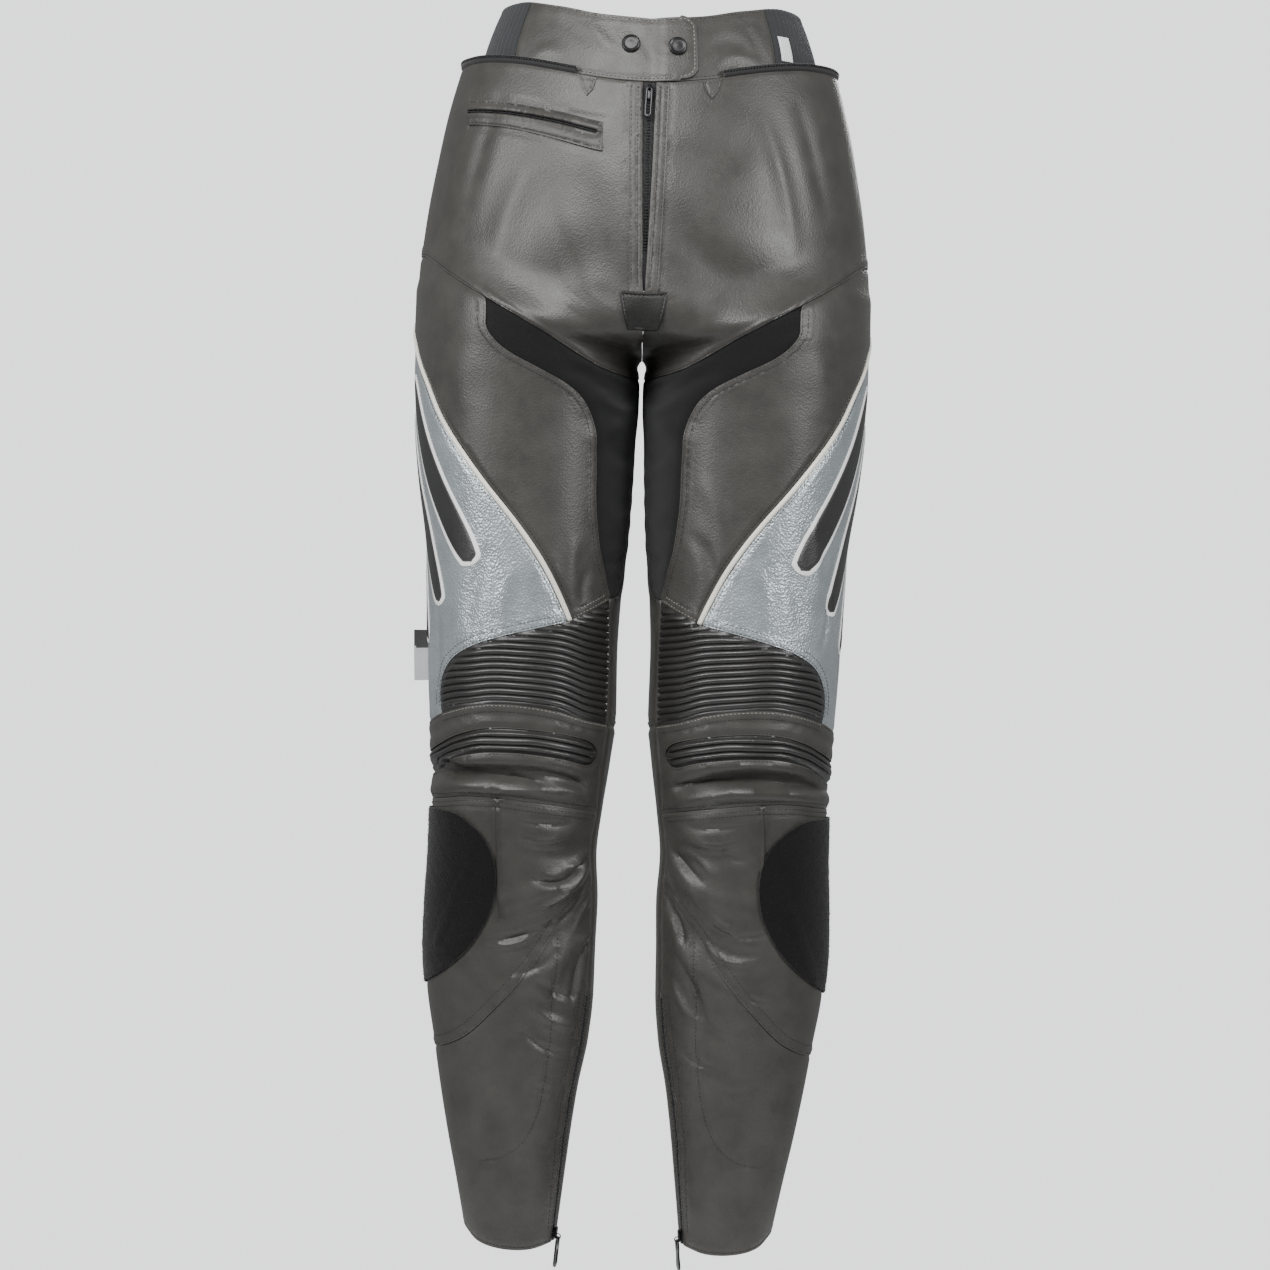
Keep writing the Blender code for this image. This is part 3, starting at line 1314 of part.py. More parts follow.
def add_calf_slider(leg, prefix):
    """The calf zip's slider just above the hem, with its pull hanging past the hem."""
    point, out, up, across = frame_at(leg, CALF_ZIP_AROUND, CALF_SLIDER_DOWN, -0.1)
    verts, faces = box_mesh(point, across, up, out, CALF_SLIDER_HALF_WIDTH,
                            CALF_SLIDER_HALF_HEIGHT, 0, SLIDER_DEPTH)
    add_node(prefix + "calf_slider", verts, faces, "metal")
    pivot = point - up * CALF_PULL_DROP + out * (SLIDER_DEPTH + PULL_GAP + PULL_THICK / 2)
    outline = stadium(CALF_PULL_HALF_WIDTH, PULL_TOP, -CALF_PULL_LENGTH)
    slot = stadium(CALF_SLOT_HALF_WIDTH, CALF_SLOT_TOP, CALF_SLOT_END - CALF_PULL_LENGTH, 4)
    hole = slot if leg.side < 0 else None
    verts, faces = plate_mesh(outline, pivot, across, up, out, -PULL_THICK / 2, PULL_THICK / 2,
                              hole)
    add_node(prefix + "calf_zip_pull", verts, faces, "metal", pivot)


def add_side_label(leg):
    """The bare label that stands out from the side of the right leg."""
    marks = np.linspace(LABEL_TOP, LABEL_TOP - LABEL_HEIGHT, 5)
    low = []
    high = []
    for down in marks:
        base, out, _, across = frame_at(leg, LABEL_AROUND, down, LAY_GAP)
        for reach in (0.0, LABEL_REACH):
            low.append(base + out * reach - across * LABEL_HALF_WALL)
            high.append(base + out * reach + across * LABEL_HALF_WALL)
    faces = []
    for j in range(len(marks) - 1):
        a = 2 * j
        faces.append((a, a + 1, a + 3))
        faces.append((a, a + 3, a + 2))
    same = {i: i for i in range(len(low))}
    verts, solid = wall_mesh(high, faces, low, faces, same)
    add_node("side_label", verts, solid, "label")


def clear_scene():
    for obj in list(bpy.data.objects):
        bpy.data.objects.remove(obj, do_unlink=True)


def main():
    clear_scene()
    for side, prefix in ((1, "left_"), (-1, "right_")):
        leg = Leg(side)
        add_hip_front(leg, prefix)
        add_seat_back(leg, prefix)
        add_thigh(leg, prefix)
        add_knee_and_calf(leg, prefix)
        add_calf_slider(leg, prefix)
    add_waistband()
    add_joining_zip()
    add_snaps()
    add_fly_zip()
    add_side_label(Leg(-1))


main()
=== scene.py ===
"""The finished look of a pair of leather motorcycle trousers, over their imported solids.

The cloth is cut from the same surface that the solids use. A spot on a leg is given by "around",
in turns about the leg (0 inner side, 0.25 front, 0.5 outer side, 0.75 back), and "down", in
millimetres below the waist. Sizes are in millimetres until a mesh is made.
"""
from __future__ import annotations
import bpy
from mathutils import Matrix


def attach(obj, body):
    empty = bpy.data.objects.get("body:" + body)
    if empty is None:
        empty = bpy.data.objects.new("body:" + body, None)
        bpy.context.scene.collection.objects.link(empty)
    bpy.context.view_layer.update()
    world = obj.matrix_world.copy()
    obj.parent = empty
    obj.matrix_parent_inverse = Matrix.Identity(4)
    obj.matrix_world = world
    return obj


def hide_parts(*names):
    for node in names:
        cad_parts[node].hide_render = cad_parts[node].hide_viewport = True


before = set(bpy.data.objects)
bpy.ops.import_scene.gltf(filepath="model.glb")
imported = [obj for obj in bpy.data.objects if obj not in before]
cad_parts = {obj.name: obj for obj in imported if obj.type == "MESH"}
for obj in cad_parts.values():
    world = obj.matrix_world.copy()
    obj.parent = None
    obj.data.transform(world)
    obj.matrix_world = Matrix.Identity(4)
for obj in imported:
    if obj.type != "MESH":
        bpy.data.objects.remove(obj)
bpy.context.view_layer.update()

import logging
import math
from dataclasses import dataclass, field
from enum import Enum
from typing import Callable, Iterable, Sequence

import bpy
import numpy as np
from mathutils import Matrix, Vector
from mathutils.geometry import delaunay_2d_cdt
from mathutils.kdtree import KDTree

log = logging.getLogger("trousers")

Array = np.ndarray
MM = 0.001
WALL = 2.0
SEAM_GAP = 0.3
LAY_GAP = 0.3
TRIM_WALL = 1.2
HOOK_WALL = 2.0
GRID = 3.4
LINE_STEP = 3.0
SHARP_CREASE = 3.7
STITCH_PULL = 0.8
STITCH_LIFT = 0.16

RING_COLUMNS = ("down", "dip_front", "dip_back", "inner", "outer", "front", "back")
RINGS = (
    (14, -22, 14, -156, 156, -92, 98), (0, -22, 12, -161, 161, -96, 102),
    (-40, -26, 4, -172, 172, -104, 112), (-80, -31, -8, -180, 180, -110, 122),
    (-120, -41, -24, -187, 187, -113, 130), (-150, -50, -38, -178, 191, -113, 134),
    (-167, -52, -42, -125, 193, -112, 134), (-180, -51, -43, -72, 194, -111, 133),
    (-192, -46, -41, -36, 196, -111, 131), (-204, -38, -36, -12, 196, -110, 129),
    (-215, -30, -30, 0, 196, -109, 126), (-227, -25, -25, 3.5, 196, -108, 122),
    (-241, -21, -21, 2.5, 195, -107, 118), (-257, -16, -16, 1.4, 195, -106, 113),
    (-280, -10, -10, 1.6, 194, -104, 107), (-312, -4, -4, 3.4, 192, -102, 101),
    (-350, 0, 0, 4.5, 188, -100, 95), (-400, 0, 0, 7, 181, -98, 88),
    (-450, 0, 0, 12, 177.5, -96, 81), (-500, 0, 0, 14, 176, -94, 74),
    (-550, 0, 0, 13.5, 173.5, -92, 66), (-590, 0, 0, 17.5, 171, -89, 60),
    (-630, 0, 0, 23, 169.5, -80, 58), (-670, 0, 0, 27, 170, -71, 60),
    (-710, 0, 0, 25, 172, -64, 65), (-750, 0, 0, 26, 173, -58, 69),
    (-790, 0, 0, 26.5, 170, -53, 70), (-830, 0, 0, 30, 163.5, -48, 67),
    (-870, 0, 0, 37.5, 157, -44, 63), (-910, 0, 0, 43, 149.5, -42, 60),
    (-950, 0, 0, 47.5, 141, -41, 58), (-1010, 0, 0, 54, 129, -41, 57),
)
BAND_COLUMNS = ("height", "half_width", "front", "back")
BAND_RINGS = ((-24, 146, -95.7, 101), (8, 142.5, -90, 97), (33, 135, -84, 93),
              (52, 127, -80, 90), (66, 121, -77, 88))
BAND_TOP = ((0.0, 60), (0.12, 57), (0.25, 52), (0.33, 52), (0.4, 45), (0.45, 37), (0.5, 33))
BAND_ELASTIC_RIGHT = (0.165, 0.353)
BAND_END_FRONT = 0.5437
BAND_START_UNDER = 0.52
BAND_ELASTIC_LEFT = (0.632, 0.835)
BAND_GIRTH = 730.0
OVERLAP_LIFT = 2.7
LAP_START = 1.0
LAP_END = 12.0

# Seams of a leg, each as (around, down) from one junction of seams to the next.
SEAMS = {
    "hip_seam_side": ((0.5, -160), (0.43, -166), (0.353, -182), (0.298, -193)),
    "hip_seam_inner": ((0.298, -193), (0.257, -203), (0.205, -221), (0.157, -236), (0.114, -242),
                       (0.05, -243), (0.0, -240)),
    "crotch_inner": ((0.0, -215), (0.0, -228), (0.0, -240)),
    "hip_seam_back": ((1.0, -240), (0.93, -244), (0.87, -238), (0.8, -224), (0.72, -205),
                      (0.64, -184), (0.57, -168), (0.5, -160)),
    "stretch_front": ((0.298, -193), (0.295, -217), (0.284, -232), (0.265, -242), (0.231, -252),
                      (0.194, -264), (0.167, -280), (0.148, -303), (0.140, -338), (0.137, -376),
                      (0.125, -408), (0.101, -433), (0.082, -452)),
    "stretch_back": ((0.0, -240), (-0.045, -290), (-0.06, -350), (-0.03, -410), (0.03, -445),
                     (0.082, -452)),
    "side_seam": ((0.5, -160), (0.505, -190), (0.503, -218)),
    "thigh_low": ((0.082, -452), (0.13, -462), (0.166, -470)),
    "side_low": ((0.174, -472), (0.229, -479), (0.286, -487), (0.333, -495), (0.374, -506),
                 (0.4, -520), (0.412, -535), (0.41, -552)),
    "band_top": ((0.067, -558), (0.13, -554), (0.187, -547), (0.241, -543), (0.296, -542),
                 (0.346, -545), (0.41, -552)),
    "band_top_side": ((0.41, -552), (0.46, -558), (0.505, -562), (0.55, -563)),
    "side_back": ((0.55, -563), (0.59, -520), (0.61, -450), (0.61, -380), (0.58, -300),
                  (0.545, -250), (0.512, -221)),
    "knee_back": ((0.55, -563), (0.65, -566), (0.8, -570), (0.95, -564), (1.067, -558)),
    "insert_edge": ((0.55, -588), (0.47, -584), (0.415, -577), (0.366, -569), (0.307, -563),
                    (0.238, -563), (0.167, -567), (0.11, -573), (0.088, -583), (0.11, -592),
                    (0.168, -587), (0.24, -583), (0.31, -583), (0.368, -588), (0.415, -596),
                    (0.47, -603), (0.55, -606)),
    "knee_side_upper": ((0.55, -563), (0.55, -588)),
    "knee_side_insert": ((0.55, -588), (0.55, -606)),
    "knee_side_lower": ((0.55, -606), (0.55, -626)),
    "band_low": ((0.046, -633), (0.13, -629), (0.19, -626), (0.27, -622), (0.35, -621),
                 (0.43, -624), (0.55, -626)),
    "inseam_knee": ((0.082, -452), (0.066, -500), (0.067, -558)),
    "inseam_band": ((0.067, -558), (0.062, -600), (0.046, -633)),
    "inseam_shin": ((0.046, -633), (0.052, -665), (0.047, -694)),
    "inseam_calf": ((0.047, -694), (0.045, -740), (0.05, -784)),
    "shin_seam": ((0.047, -694), (0.097, -712), (0.139, -730), (0.18, -754), (0.236, -782),
                  (0.289, -804), (0.346, -823), (0.4, -833), (0.46, -838), (0.55, -838)),
    "calf_side_upper": ((0.55, -626), (0.552, -730), (0.55, -838)),
    "calf_side_lower": ((0.55, -838), (0.548, -910), (0.55, -989)),
    "zip_front": ((0.05, -784), (0.056, -787), (0.059, -800), (0.065, -860), (0.072, -930),
                  (0.08, -1003)),
    "zip_back": ((0.05, -784), (0.044, -787), (0.045, -800), (0.048, -860), (0.053, -930),
                 (0.055, -1003)),
    "zip_hem": ((0.055, -1003), (0.08, -1003)),
    "hem_front": ((0.08, -1003), (0.13, -1004), (0.2, -1006), (0.28, -1005), (0.36, -1001),
                  (0.43, -994), (0.55, -989)),
    "hem_back": ((0.55, -989), (0.65, -991), (0.78, -996), (0.92, -1002), (1.055, -1003)),
}
PIPING_LINE = ((0.507, -219), (0.458, -243), (0.415, -268), (0.38, -299), (0.341, -330),
               (0.302, -361), (0.266, -388), (0.23, -416), (0.2, -442), (0.17, -471))
PIPING_WIDTH = 5.0
HOOK_PATCH = ((0.53, -633), (0.46, -633), (0.38, -635), (0.333, -645), (0.3, -659),
              (0.282, -678), (0.281, -700), (0.292, -720), (0.325, -745), (0.37, -763),
              (0.43, -777), (0.5, -785), (0.53, -787))
FLY_GAP = ((0, 5.2), (-60, 4.2), (-110, 2.4), (-148, 0.6))
FLY_END = -148
FLY_STRIP_WIDTH = 10.5
FLY_STRIP_GAP = 0.7
FLY_TAB = ((-148.5, 21.0), (-158, 18.5), (-168, 16), (-178.5, 13.0))
POCKET_TOP = ((-152, -33), (-108, -33), (-72, -33), (-38, -35))
POCKET_SLIT = ((-152, -43), (-108, -42), (-72, -41.5), (-43, -43))
POCKET_LOW = ((-152, -54), (-108, -54), (-72, -55), (-38, -57))
ZIP_END_TAB = ((44, -1.5), (60, -1.5), (57, -11), (52, -17), (47, -11))

# Creases as (leg, around and down of start, middle and end, half width, height).
# A trough has a height below 0. The first rows are the large folds that the solids also have.
LARGE_FOLDS = (
    ("both", 0.10, -612, 0.27, -600, 0.53, -610, 5.5, -6.5),
    ("both", 0.09, -622, 0.28, -611, 0.50, -619, 6.0, 3.5),
    ("right", 0.30, -603, 0.42, -597, 0.53, -600, 4.5, -4.0),
    ("left", 0.16, -604, 0.26, -597, 0.40, -601, 4.5, -3.0),
    ("both", 0.06, -655, 0.15, -668, 0.26, -662, 8.0, -2.6),
    ("both", 0.05, -676, 0.16, -698, 0.30, -712, 9.0, 3.0),
    ("both", 0.07, -712, 0.17, -738, 0.31, -756, 9.0, -3.0),
    ("both", 0.09, -742, 0.18, -772, 0.30, -786, 8.0, 2.4),
    ("both", 0.10, -770, 0.18, -812, 0.26, -836, 9.0, -2.2),
    ("both", 0.03, -262, 0.12, -262, 0.21, -236, 9.0, -2.6),
    ("both", 0.03, -292, 0.10, -300, 0.16, -322, 10.0, 2.4),
    ("both", 0.17, -120, 0.23, -160, 0.30, -185, 15.0, -2.4),
    ("both", 0.62, -560, 0.78, -548, 0.95, -556, 9.0, -4.5),
    ("both", 0.60, -588, 0.78, -596, 0.97, -584, 9.0, 4.0),
    ("both", 0.60, -612, 0.80, -618, 0.96, -606, 8.0, -4.0),
    ("both", 0.62, -660, 0.78, -650, 0.94, -664, 11.0, 2.6),
    ("both", 0.66, -236, 0.80, -262, 0.95, -272, 11.0, -3.2),
    ("both", 0.70, -282, 0.82, -300, 0.95, -306, 12.0, 2.8),
    ("both", 0.60, -905, 0.76, -922, 0.93, -912, 11.0, -2.2),
)
CREASES = (
    # Hips: drag lines from the foot of the fly up and out, and slack under the waist.
    ("right", 0.165, -186, 0.19, -150, 0.235, -96, 13.0, 1.5),
    ("right", 0.150, -176, 0.165, -140, 0.20, -70, 11.0, -1.5),
    ("right", 0.120, -200, 0.135, -178, 0.150, -140, 5.0, 1.6),
    ("right", 0.105, -208, 0.115, -185, 0.128, -150, 4.5, -1.7),
    ("right", 0.25, -70, 0.285, -120, 0.30, -178, 14.0, 1.2),
    ("left", 0.150, -92, 0.20, -135, 0.265, -176, 12.0, -2.0),
    ("left", 0.135, -120, 0.160, -150, 0.190, -186, 6.5, 1.7),
    ("left", 0.120, -130, 0.142, -165, 0.155, -205, 5.5, -1.8),
    ("left", 0.16, -52, 0.20, -64, 0.25, -58, 12.0, -1.6),
    ("left", 0.115, -60, 0.125, -82, 0.130, -100, 9.0, -1.1),
    ("left", 0.26, -30, 0.285, -80, 0.30, -150, 10.0, 1.2),
    ("both", 0.33, -20, 0.345, -70, 0.36, -130, 12.0, -1.0),
    ("both", 0.09, -215, 0.125, -205, 0.17, -207, 3.6, -1.1),
    # Stretch cloth, gathered toward the crotch.
    ("both", 0.02, -252, 0.08, -256, 0.15, -246, 4.0, -1.4),
    ("both", 0.02, -272, 0.08, -282, 0.14, -276, 5.0, 1.2),
    ("both", 0.01, -318, 0.06, -330, 0.12, -322, 6.0, -1.3),
    ("both", 0.02, -372, 0.06, -384, 0.12, -380, 6.5, 1.2),
    ("both", 0.03, -410, 0.06, -418, 0.10, -420, 4.0, -1.1),
    # Thigh front: long soft bends above the knee.
    ("both", 0.22, -235, 0.245, -330, 0.24, -420, 20.0, -1.6),
    ("both", 0.30, -215, 0.335, -265, 0.335, -300, 12.0, 1.2),
    ("right", 0.17, -400, 0.175, -430, 0.165, -462, 5.0, 1.3),
    ("right", 0.14, -425, 0.15, -440, 0.145, -458, 3.5, -1.2),
    ("left", 0.155, -395, 0.19, -420, 0.185, -455, 5.0, -1.3),
    ("left", 0.17, -350, 0.21, -385, 0.205, -430, 7.0, 1.1),
    # Side panels: slack leather with a few deep dents.
    ("both", 0.30, -410, 0.325, -445, 0.34, -478, 7.0, -1.7),
    ("both", 0.26, -425, 0.275, -450, 0.272, -476, 5.0, 1.4),
    ("left", 0.395, -440, 0.40, -465, 0.385, -490, 3.0, -1.9),
    ("left", 0.345, -380, 0.36, -415, 0.37, -450, 5.0, 1.5),
    ("right", 0.42, -455, 0.415, -495, 0.425, -535, 5.0, -2.1),
    ("right", 0.445, -470, 0.45, -510, 0.455, -545, 4.0, 1.6),
    ("both", 0.47, -480, 0.475, -520, 0.485, -552, 5.0, -1.4),
    ("both", 0.52, -400, 0.535, -450, 0.53, -520, 9.0, -1.3),
    # Knee: slack under the padded insert, in sharp overlapping folds.
    ("left", 0.075, -611, 0.27, -603, 0.53, -613, 1.9, -3.4),
    ("left", 0.09, -607, 0.27, -597.5, 0.50, -606, 3.0, 1.7),
    ("right", 0.17, -611, 0.29, -603, 0.47, -604.5, 1.9, -3.0),
    ("right", 0.36, -597, 0.42, -593, 0.50, -602, 2.2, -2.6),
    ("right", 0.40, -601, 0.46, -600, 0.53, -607, 2.2, -2.2),
    ("right", 0.09, -622, 0.15, -612, 0.22, -606, 3.0, 2.0),
    ("right", 0.08, -616, 0.13, -606, 0.19, -600, 2.6, -1.5),
    ("right", 0.14, -612, 0.24, -606, 0.33, -612, 3.2, -2.4),
    ("right", 0.12, -600, 0.20, -604, 0.27, -596, 4.5, 1.4),
    ("left", 0.10, -609, 0.17, -612, 0.23, -604, 3.2, -2.0),
    ("left", 0.09, -624, 0.14, -625, 0.20, -620, 3.0, 1.0),
    # Shin: creases that fan out and down from the inner side of the knee.
    ("both", 0.12, -640, 0.18, -643, 0.25, -638, 2.6, -2.2),
    ("both", 0.12, -652, 0.19, -657, 0.24, -650, 3.2, 2.0),
    ("right", 0.07, -668, 0.135, -690, 0.21, -688, 2.6, -4.0),
    ("right", 0.075, -680, 0.14, -704, 0.235, -722, 2.8, 2.8),
    ("right", 0.10, -714, 0.19, -734, 0.30, -744, 3.2, -2.4),
    ("right", 0.16, -726, 0.235, -744, 0.30, -741, 2.4, 2.3),
    ("right", 0.06, -664, 0.10, -676, 0.14, -678, 2.6, 2.0),
    ("right", 0.055, -742, 0.085, -766, 0.105, -800, 3.2, -3.2),
    ("right", 0.045, -732, 0.07, -742, 0.10, -740, 3.0, 1.6),
    ("right", 0.09, -790, 0.145, -786, 0.20, -772, 2.8, -2.5),
    ("right", 0.08, -815, 0.14, -812, 0.21, -795, 3.4, 2.2),
    ("right", 0.08, -838, 0.15, -836, 0.22, -818, 3.0, -1.9),
    ("right", 0.10, -872, 0.16, -870, 0.20, -862, 4.2, -1.0),
    ("left", 0.07, -662, 0.12, -676, 0.165, -690, 2.6, -2.9),
    ("left", 0.10, -664, 0.145, -668, 0.185, -684, 2.6, 2.2),
    ("left", 0.06, -700, 0.10, -724, 0.12, -744, 2.8, -3.0),
    ("left", 0.13, -692, 0.19, -720, 0.26, -738, 3.4, 2.0),
    ("left", 0.17, -738, 0.215, -754, 0.30, -752, 2.6, 2.6),
    ("left", 0.17, -724, 0.24, -734, 0.31, -728, 2.8, -2.1),
    ("left", 0.10, -752, 0.14, -778, 0.17, -806, 2.8, -2.5),
    ("left", 0.085, -772, 0.12, -796, 0.165, -812, 2.8, 2.1),
    ("left", 0.10, -830, 0.15, -842, 0.20, -846, 3.0, -1.8),
    ("both", 0.05, -858, 0.09, -872, 0.14, -874, 5.0, 1.0),
    ("both", 0.04, -905, 0.11, -918, 0.20, -912, 6.5, -0.8),
    ("both", 0.28, -850, 0.30, -915, 0.30, -990, 16.0, -1.3),
    ("both", 0.20, -880, 0.205, -930, 0.20, -985, 13.0, 0.9),
    ("both", 0.12, -955, 0.20, -968, 0.32, -958, 9.0, 0.6),
    ("right", 0.06, -690, 0.085, -700, 0.11, -716, 2.2, -1.8),
    ("right", 0.055, -706, 0.08, -718, 0.105, -736, 2.2, 1.5),
    ("right", 0.14, -748, 0.185, -764, 0.25, -770, 2.6, -1.6),
    ("right", 0.27, -700, 0.31, -712, 0.34, -742, 4.0, 1.0),
    ("left", 0.20, -660, 0.235, -668, 0.27, -662, 3.0, -1.2),
    ("left", 0.055, -676, 0.08, -690, 0.10, -706, 2.4, 1.6),
    ("left", 0.22, -770, 0.27, -786, 0.33, -790, 3.0, -1.3),
    ("left", 0.17, -858, 0.23, -868, 0.30, -862, 4.0, -0.9),
    ("right", 0.20, -868, 0.26, -876, 0.33, -868, 4.5, 0.9),
    # Back of the knee and calf.
    ("both", 0.64, -574, 0.74, -578, 0.88, -571, 3.6, -2.6),
    ("both", 0.66, -600, 0.79, -604, 0.93, -598, 3.4, -2.2),
    ("both", 0.63, -628, 0.76, -634, 0.90, -627, 3.6, -1.9),
    ("both", 0.70, -644, 0.82, -641, 0.94, -648, 4.0, 1.3),
    ("both", 0.60, -690, 0.70, -705, 0.80, -700, 7.0, 1.1),
    ("both", 0.72, -760, 0.82, -772, 0.93, -764, 8.0, -1.1),
    ("both", 0.58, -842, 0.68, -852, 0.78, -846, 6.5, -1.2),
    ("both", 0.66, -935, 0.78, -944, 0.90, -938, 5.0, 1.0),
    ("both", 0.62, -962, 0.74, -970, 0.86, -965, 5.0, -1.0),
    # Seat and back of the thigh.
    ("both", 0.86, -150, 0.80, -190, 0.72, -205, 9.0, -1.4),
    ("both", 0.90, -235, 0.84, -250, 0.76, -252, 4.5, -1.7),
    ("both", 0.92, -262, 0.85, -276, 0.77, -274, 5.5, 1.4),
    ("both", 0.66, -300, 0.69, -380, 0.68, -460, 16.0, -1.3),
    ("both", 0.80, -330, 0.83, -400, 0.82, -470, 14.0, 1.1),
    ("both", 0.70, -520, 0.80, -532, 0.92, -526, 7.0, 1.4),
    ("both", 0.66, -495, 0.76, -505, 0.86, -498, 8.0, -1.1),
)
BAND_CREASES = (
    ("both", 0.405, 38, 0.425, 22, 0.455, 8, 5.0, -0.9),
    ("both", 0.435, 30, 0.45, 16, 0.470, 2, 4.0, 0.9),
    ("both", 0.375, -2, 0.40, 6, 0.43, -6, 5.0, 0.8),
    ("both", 0.475, 26, 0.49, 14, 0.51, -6, 5.0, -0.7),
    ("both", 0.50, 18, 0.515, 6, 0.535, 18, 4.0, 0.7),
    ("both", 0.556, -8, 0.58, 4, 0.612, -3, 4.0, 1.1),
    ("both", 0.552, 6, 0.575, 16, 0.60, 12, 5.0, -0.9),
    ("both", 0.60, 30, 0.607, 18, 0.61, 4, 3.5, -0.8),
    ("both", -0.10, 40, -0.02, 25, 0.06, 36, 10.0, -0.8),
    ("both", 0.08, 20, 0.12, 10, 0.15, 22, 8.0, 0.7),
)

RIB_COUNT = 17
RIB_PITCH = 5.7
RIB_HEIGHT = 2.3
INSERT_RIBS = 3
INSERT_RIB_HEIGHT = 2.9


class Side(Enum):
    """The wearer's left or right leg, with the sign of its x."""

    LEFT = 1
    RIGHT = -1

    @property
    def word(self) -> str:
        """The side's name as the pieces carry it."""
        return self.name.lower()


class Edge(Enum):
    """How a panel ends at one of its seams."""

    SUNK = "pulled into the seam"
    OVER = "folded and laid over its neighbour"
    UNDER = "running in under its neighbour"
    FREE = "folded and free"
    TRIM = "thin, with a rounded cut edge"
    FLAT = "meeting its neighbour level"


def smooth_step(low: float, high: float, x: Array) -> Array:
    """A smooth rise from 0 at low to 1 at high."""
    t = np.clip((x - low) / (high - low), 0, 1)
    return t * t * (3 - 2 * t)


def edge_relief(edge: Edge, away: Array) -> Array:
    """Height of a panel near one of its edges.

    Args:
        edge: How the panel ends there.
        away: Distance from the edge, in millimetres.

    Returns:
        The height to add at each distance.
    """
    if edge is Edge.SUNK:
        return -1.2 * np.exp(-(away / 1.5)**2) + 0.28 * np.exp(-((away - 4.4) / 2.4)**2)
    if edge is Edge.OVER:
        return 0.75 * (1 - smooth_step(7.5, 10.5, away)) - 0.6 * np.exp(-(away / 0.75)**2)
    if edge is Edge.UNDER:
        return -1.05 * np.exp(-(away / 3.2)**2)
    if edge is Edge.FREE:
        return -0.5 * np.exp(-(away / 0.9)**2) + 0.35 * np.exp(-((away - 2.6) / 2.0)**2)
    if edge is Edge.FLAT:
        return 0 * away
    return -0.35 * np.exp(-(away / 0.6)**2)


class SmoothTable:
    """A short table read as smooth curves over its first column."""

    def __init__(self, columns: Sequence[str], rows: Sequence[Sequence[float]]) -> None:
        """Keep each column's values with slopes that never overshoot.

        Args:
            columns: Names of the columns.
            rows: The table's rows.
        """
        data = np.array(rows, float)
        data = data[np.argsort(data[:, 0])]
        self.at = data[:, 0]
        self.columns = {name: (data[:, i], self.slopes(data[:, i]))
                        for i, name in enumerate(columns[1:], start=1)}

    def slopes(self, ys: Array) -> Array:
        """Slopes at the table's rows for one column.

        Args:
            ys: The column's values.

        Returns:
            A slope for each row.
        """
        steps = np.diff(self.at)
        rises = np.diff(ys) / steps
        slopes = np.empty_like(ys)
        slopes[0] = rises[0]
        slopes[-1] = rises[-1]
        for i in range(1, len(ys) - 1):
            if rises[i - 1] * rises[i] <= 0:
                slopes[i] = 0
                continue
            w1 = 2 * steps[i] + steps[i - 1]
            w2 = steps[i] + 2 * steps[i - 1]
            slopes[i] = (w1 + w2) / (w1 / rises[i - 1] + w2 / rises[i])
        return slopes

    def read(self, name: str, x: Array) -> Array:
        """A column's value at each x.

        Args:
            name: The name.
            x: Where to read.

        Returns:
            The values.
        """
        values, slopes = self.columns[name]
        x = np.asarray(x, float)
        i = np.clip(np.searchsorted(self.at, x) - 1, 0, len(self.at) - 2)
        step = self.at[i + 1] - self.at[i]
        t = (x - self.at[i]) / step
        return ((2 * t**3 - 3 * t**2 + 1) * values[i] + (t**3 - 2 * t**2 + t) * step * slopes[i]
                + (-2 * t**3 + 3 * t**2) * values[i + 1] + (t**3 - t**2) * step * slopes[i + 1])


def parabola_line(row: Sequence[float], count: int = 10) -> Array:
    """A crease's line: the parabola through its start, middle and end.

    Args:
        row: The crease's row of CREASES.
        count: Number of steps.

    Returns:
        Points as (around, down).
    """
    a1, d1, a2, d2, a3, d3 = row[1:7]
    t = np.linspace(0, 1, count + 1)
    w1 = (1 - t) * (1 - 2 * t)
    w2 = 4 * t * (1 - t)
    w3 = t * (2 * t - 1)
    return np.column_stack([a1 * w1 + a2 * w2 + a3 * w3, d1 * w1 + d2 * w2 + d3 * w3])


def line_distance(line: Array, points: Array, reach: float = 1e9) -> tuple[Array, Array]:
    """Distance from each point to a line, and the share of the line passed there.

    Args:
        line: The line's points.
        points: The points to measure from.
        reach: How far off a point may lie before it is only called far.

    Returns:
        Distances, and shares from 0 to 1.
    """
    best = np.full(len(points), 1e9)
    share = np.zeros(len(points))
    near = np.all((points > line.min(axis=0) - reach) & (points < line.max(axis=0) + reach), axis=1)
    if not near.any():
        return best, share
    spots = points[near]
    found = np.full(len(spots), 1e9)
    passed = np.zeros(len(spots))
    count = len(line) - 1
    for i in range(count):
        v = line[i + 1] - line[i]
        t = np.clip(((spots - line[i]) @ v) / max(float(v @ v), 1e-12), 0, 1)
        away = np.linalg.norm(spots - line[i] - t[:, None] * v, axis=1)
        closer = away < found
        found = np.where(closer, away, found)
        passed = np.where(closer, (i + t) / count, passed)
    best[near] = found
    share[near] = passed
    return best, share


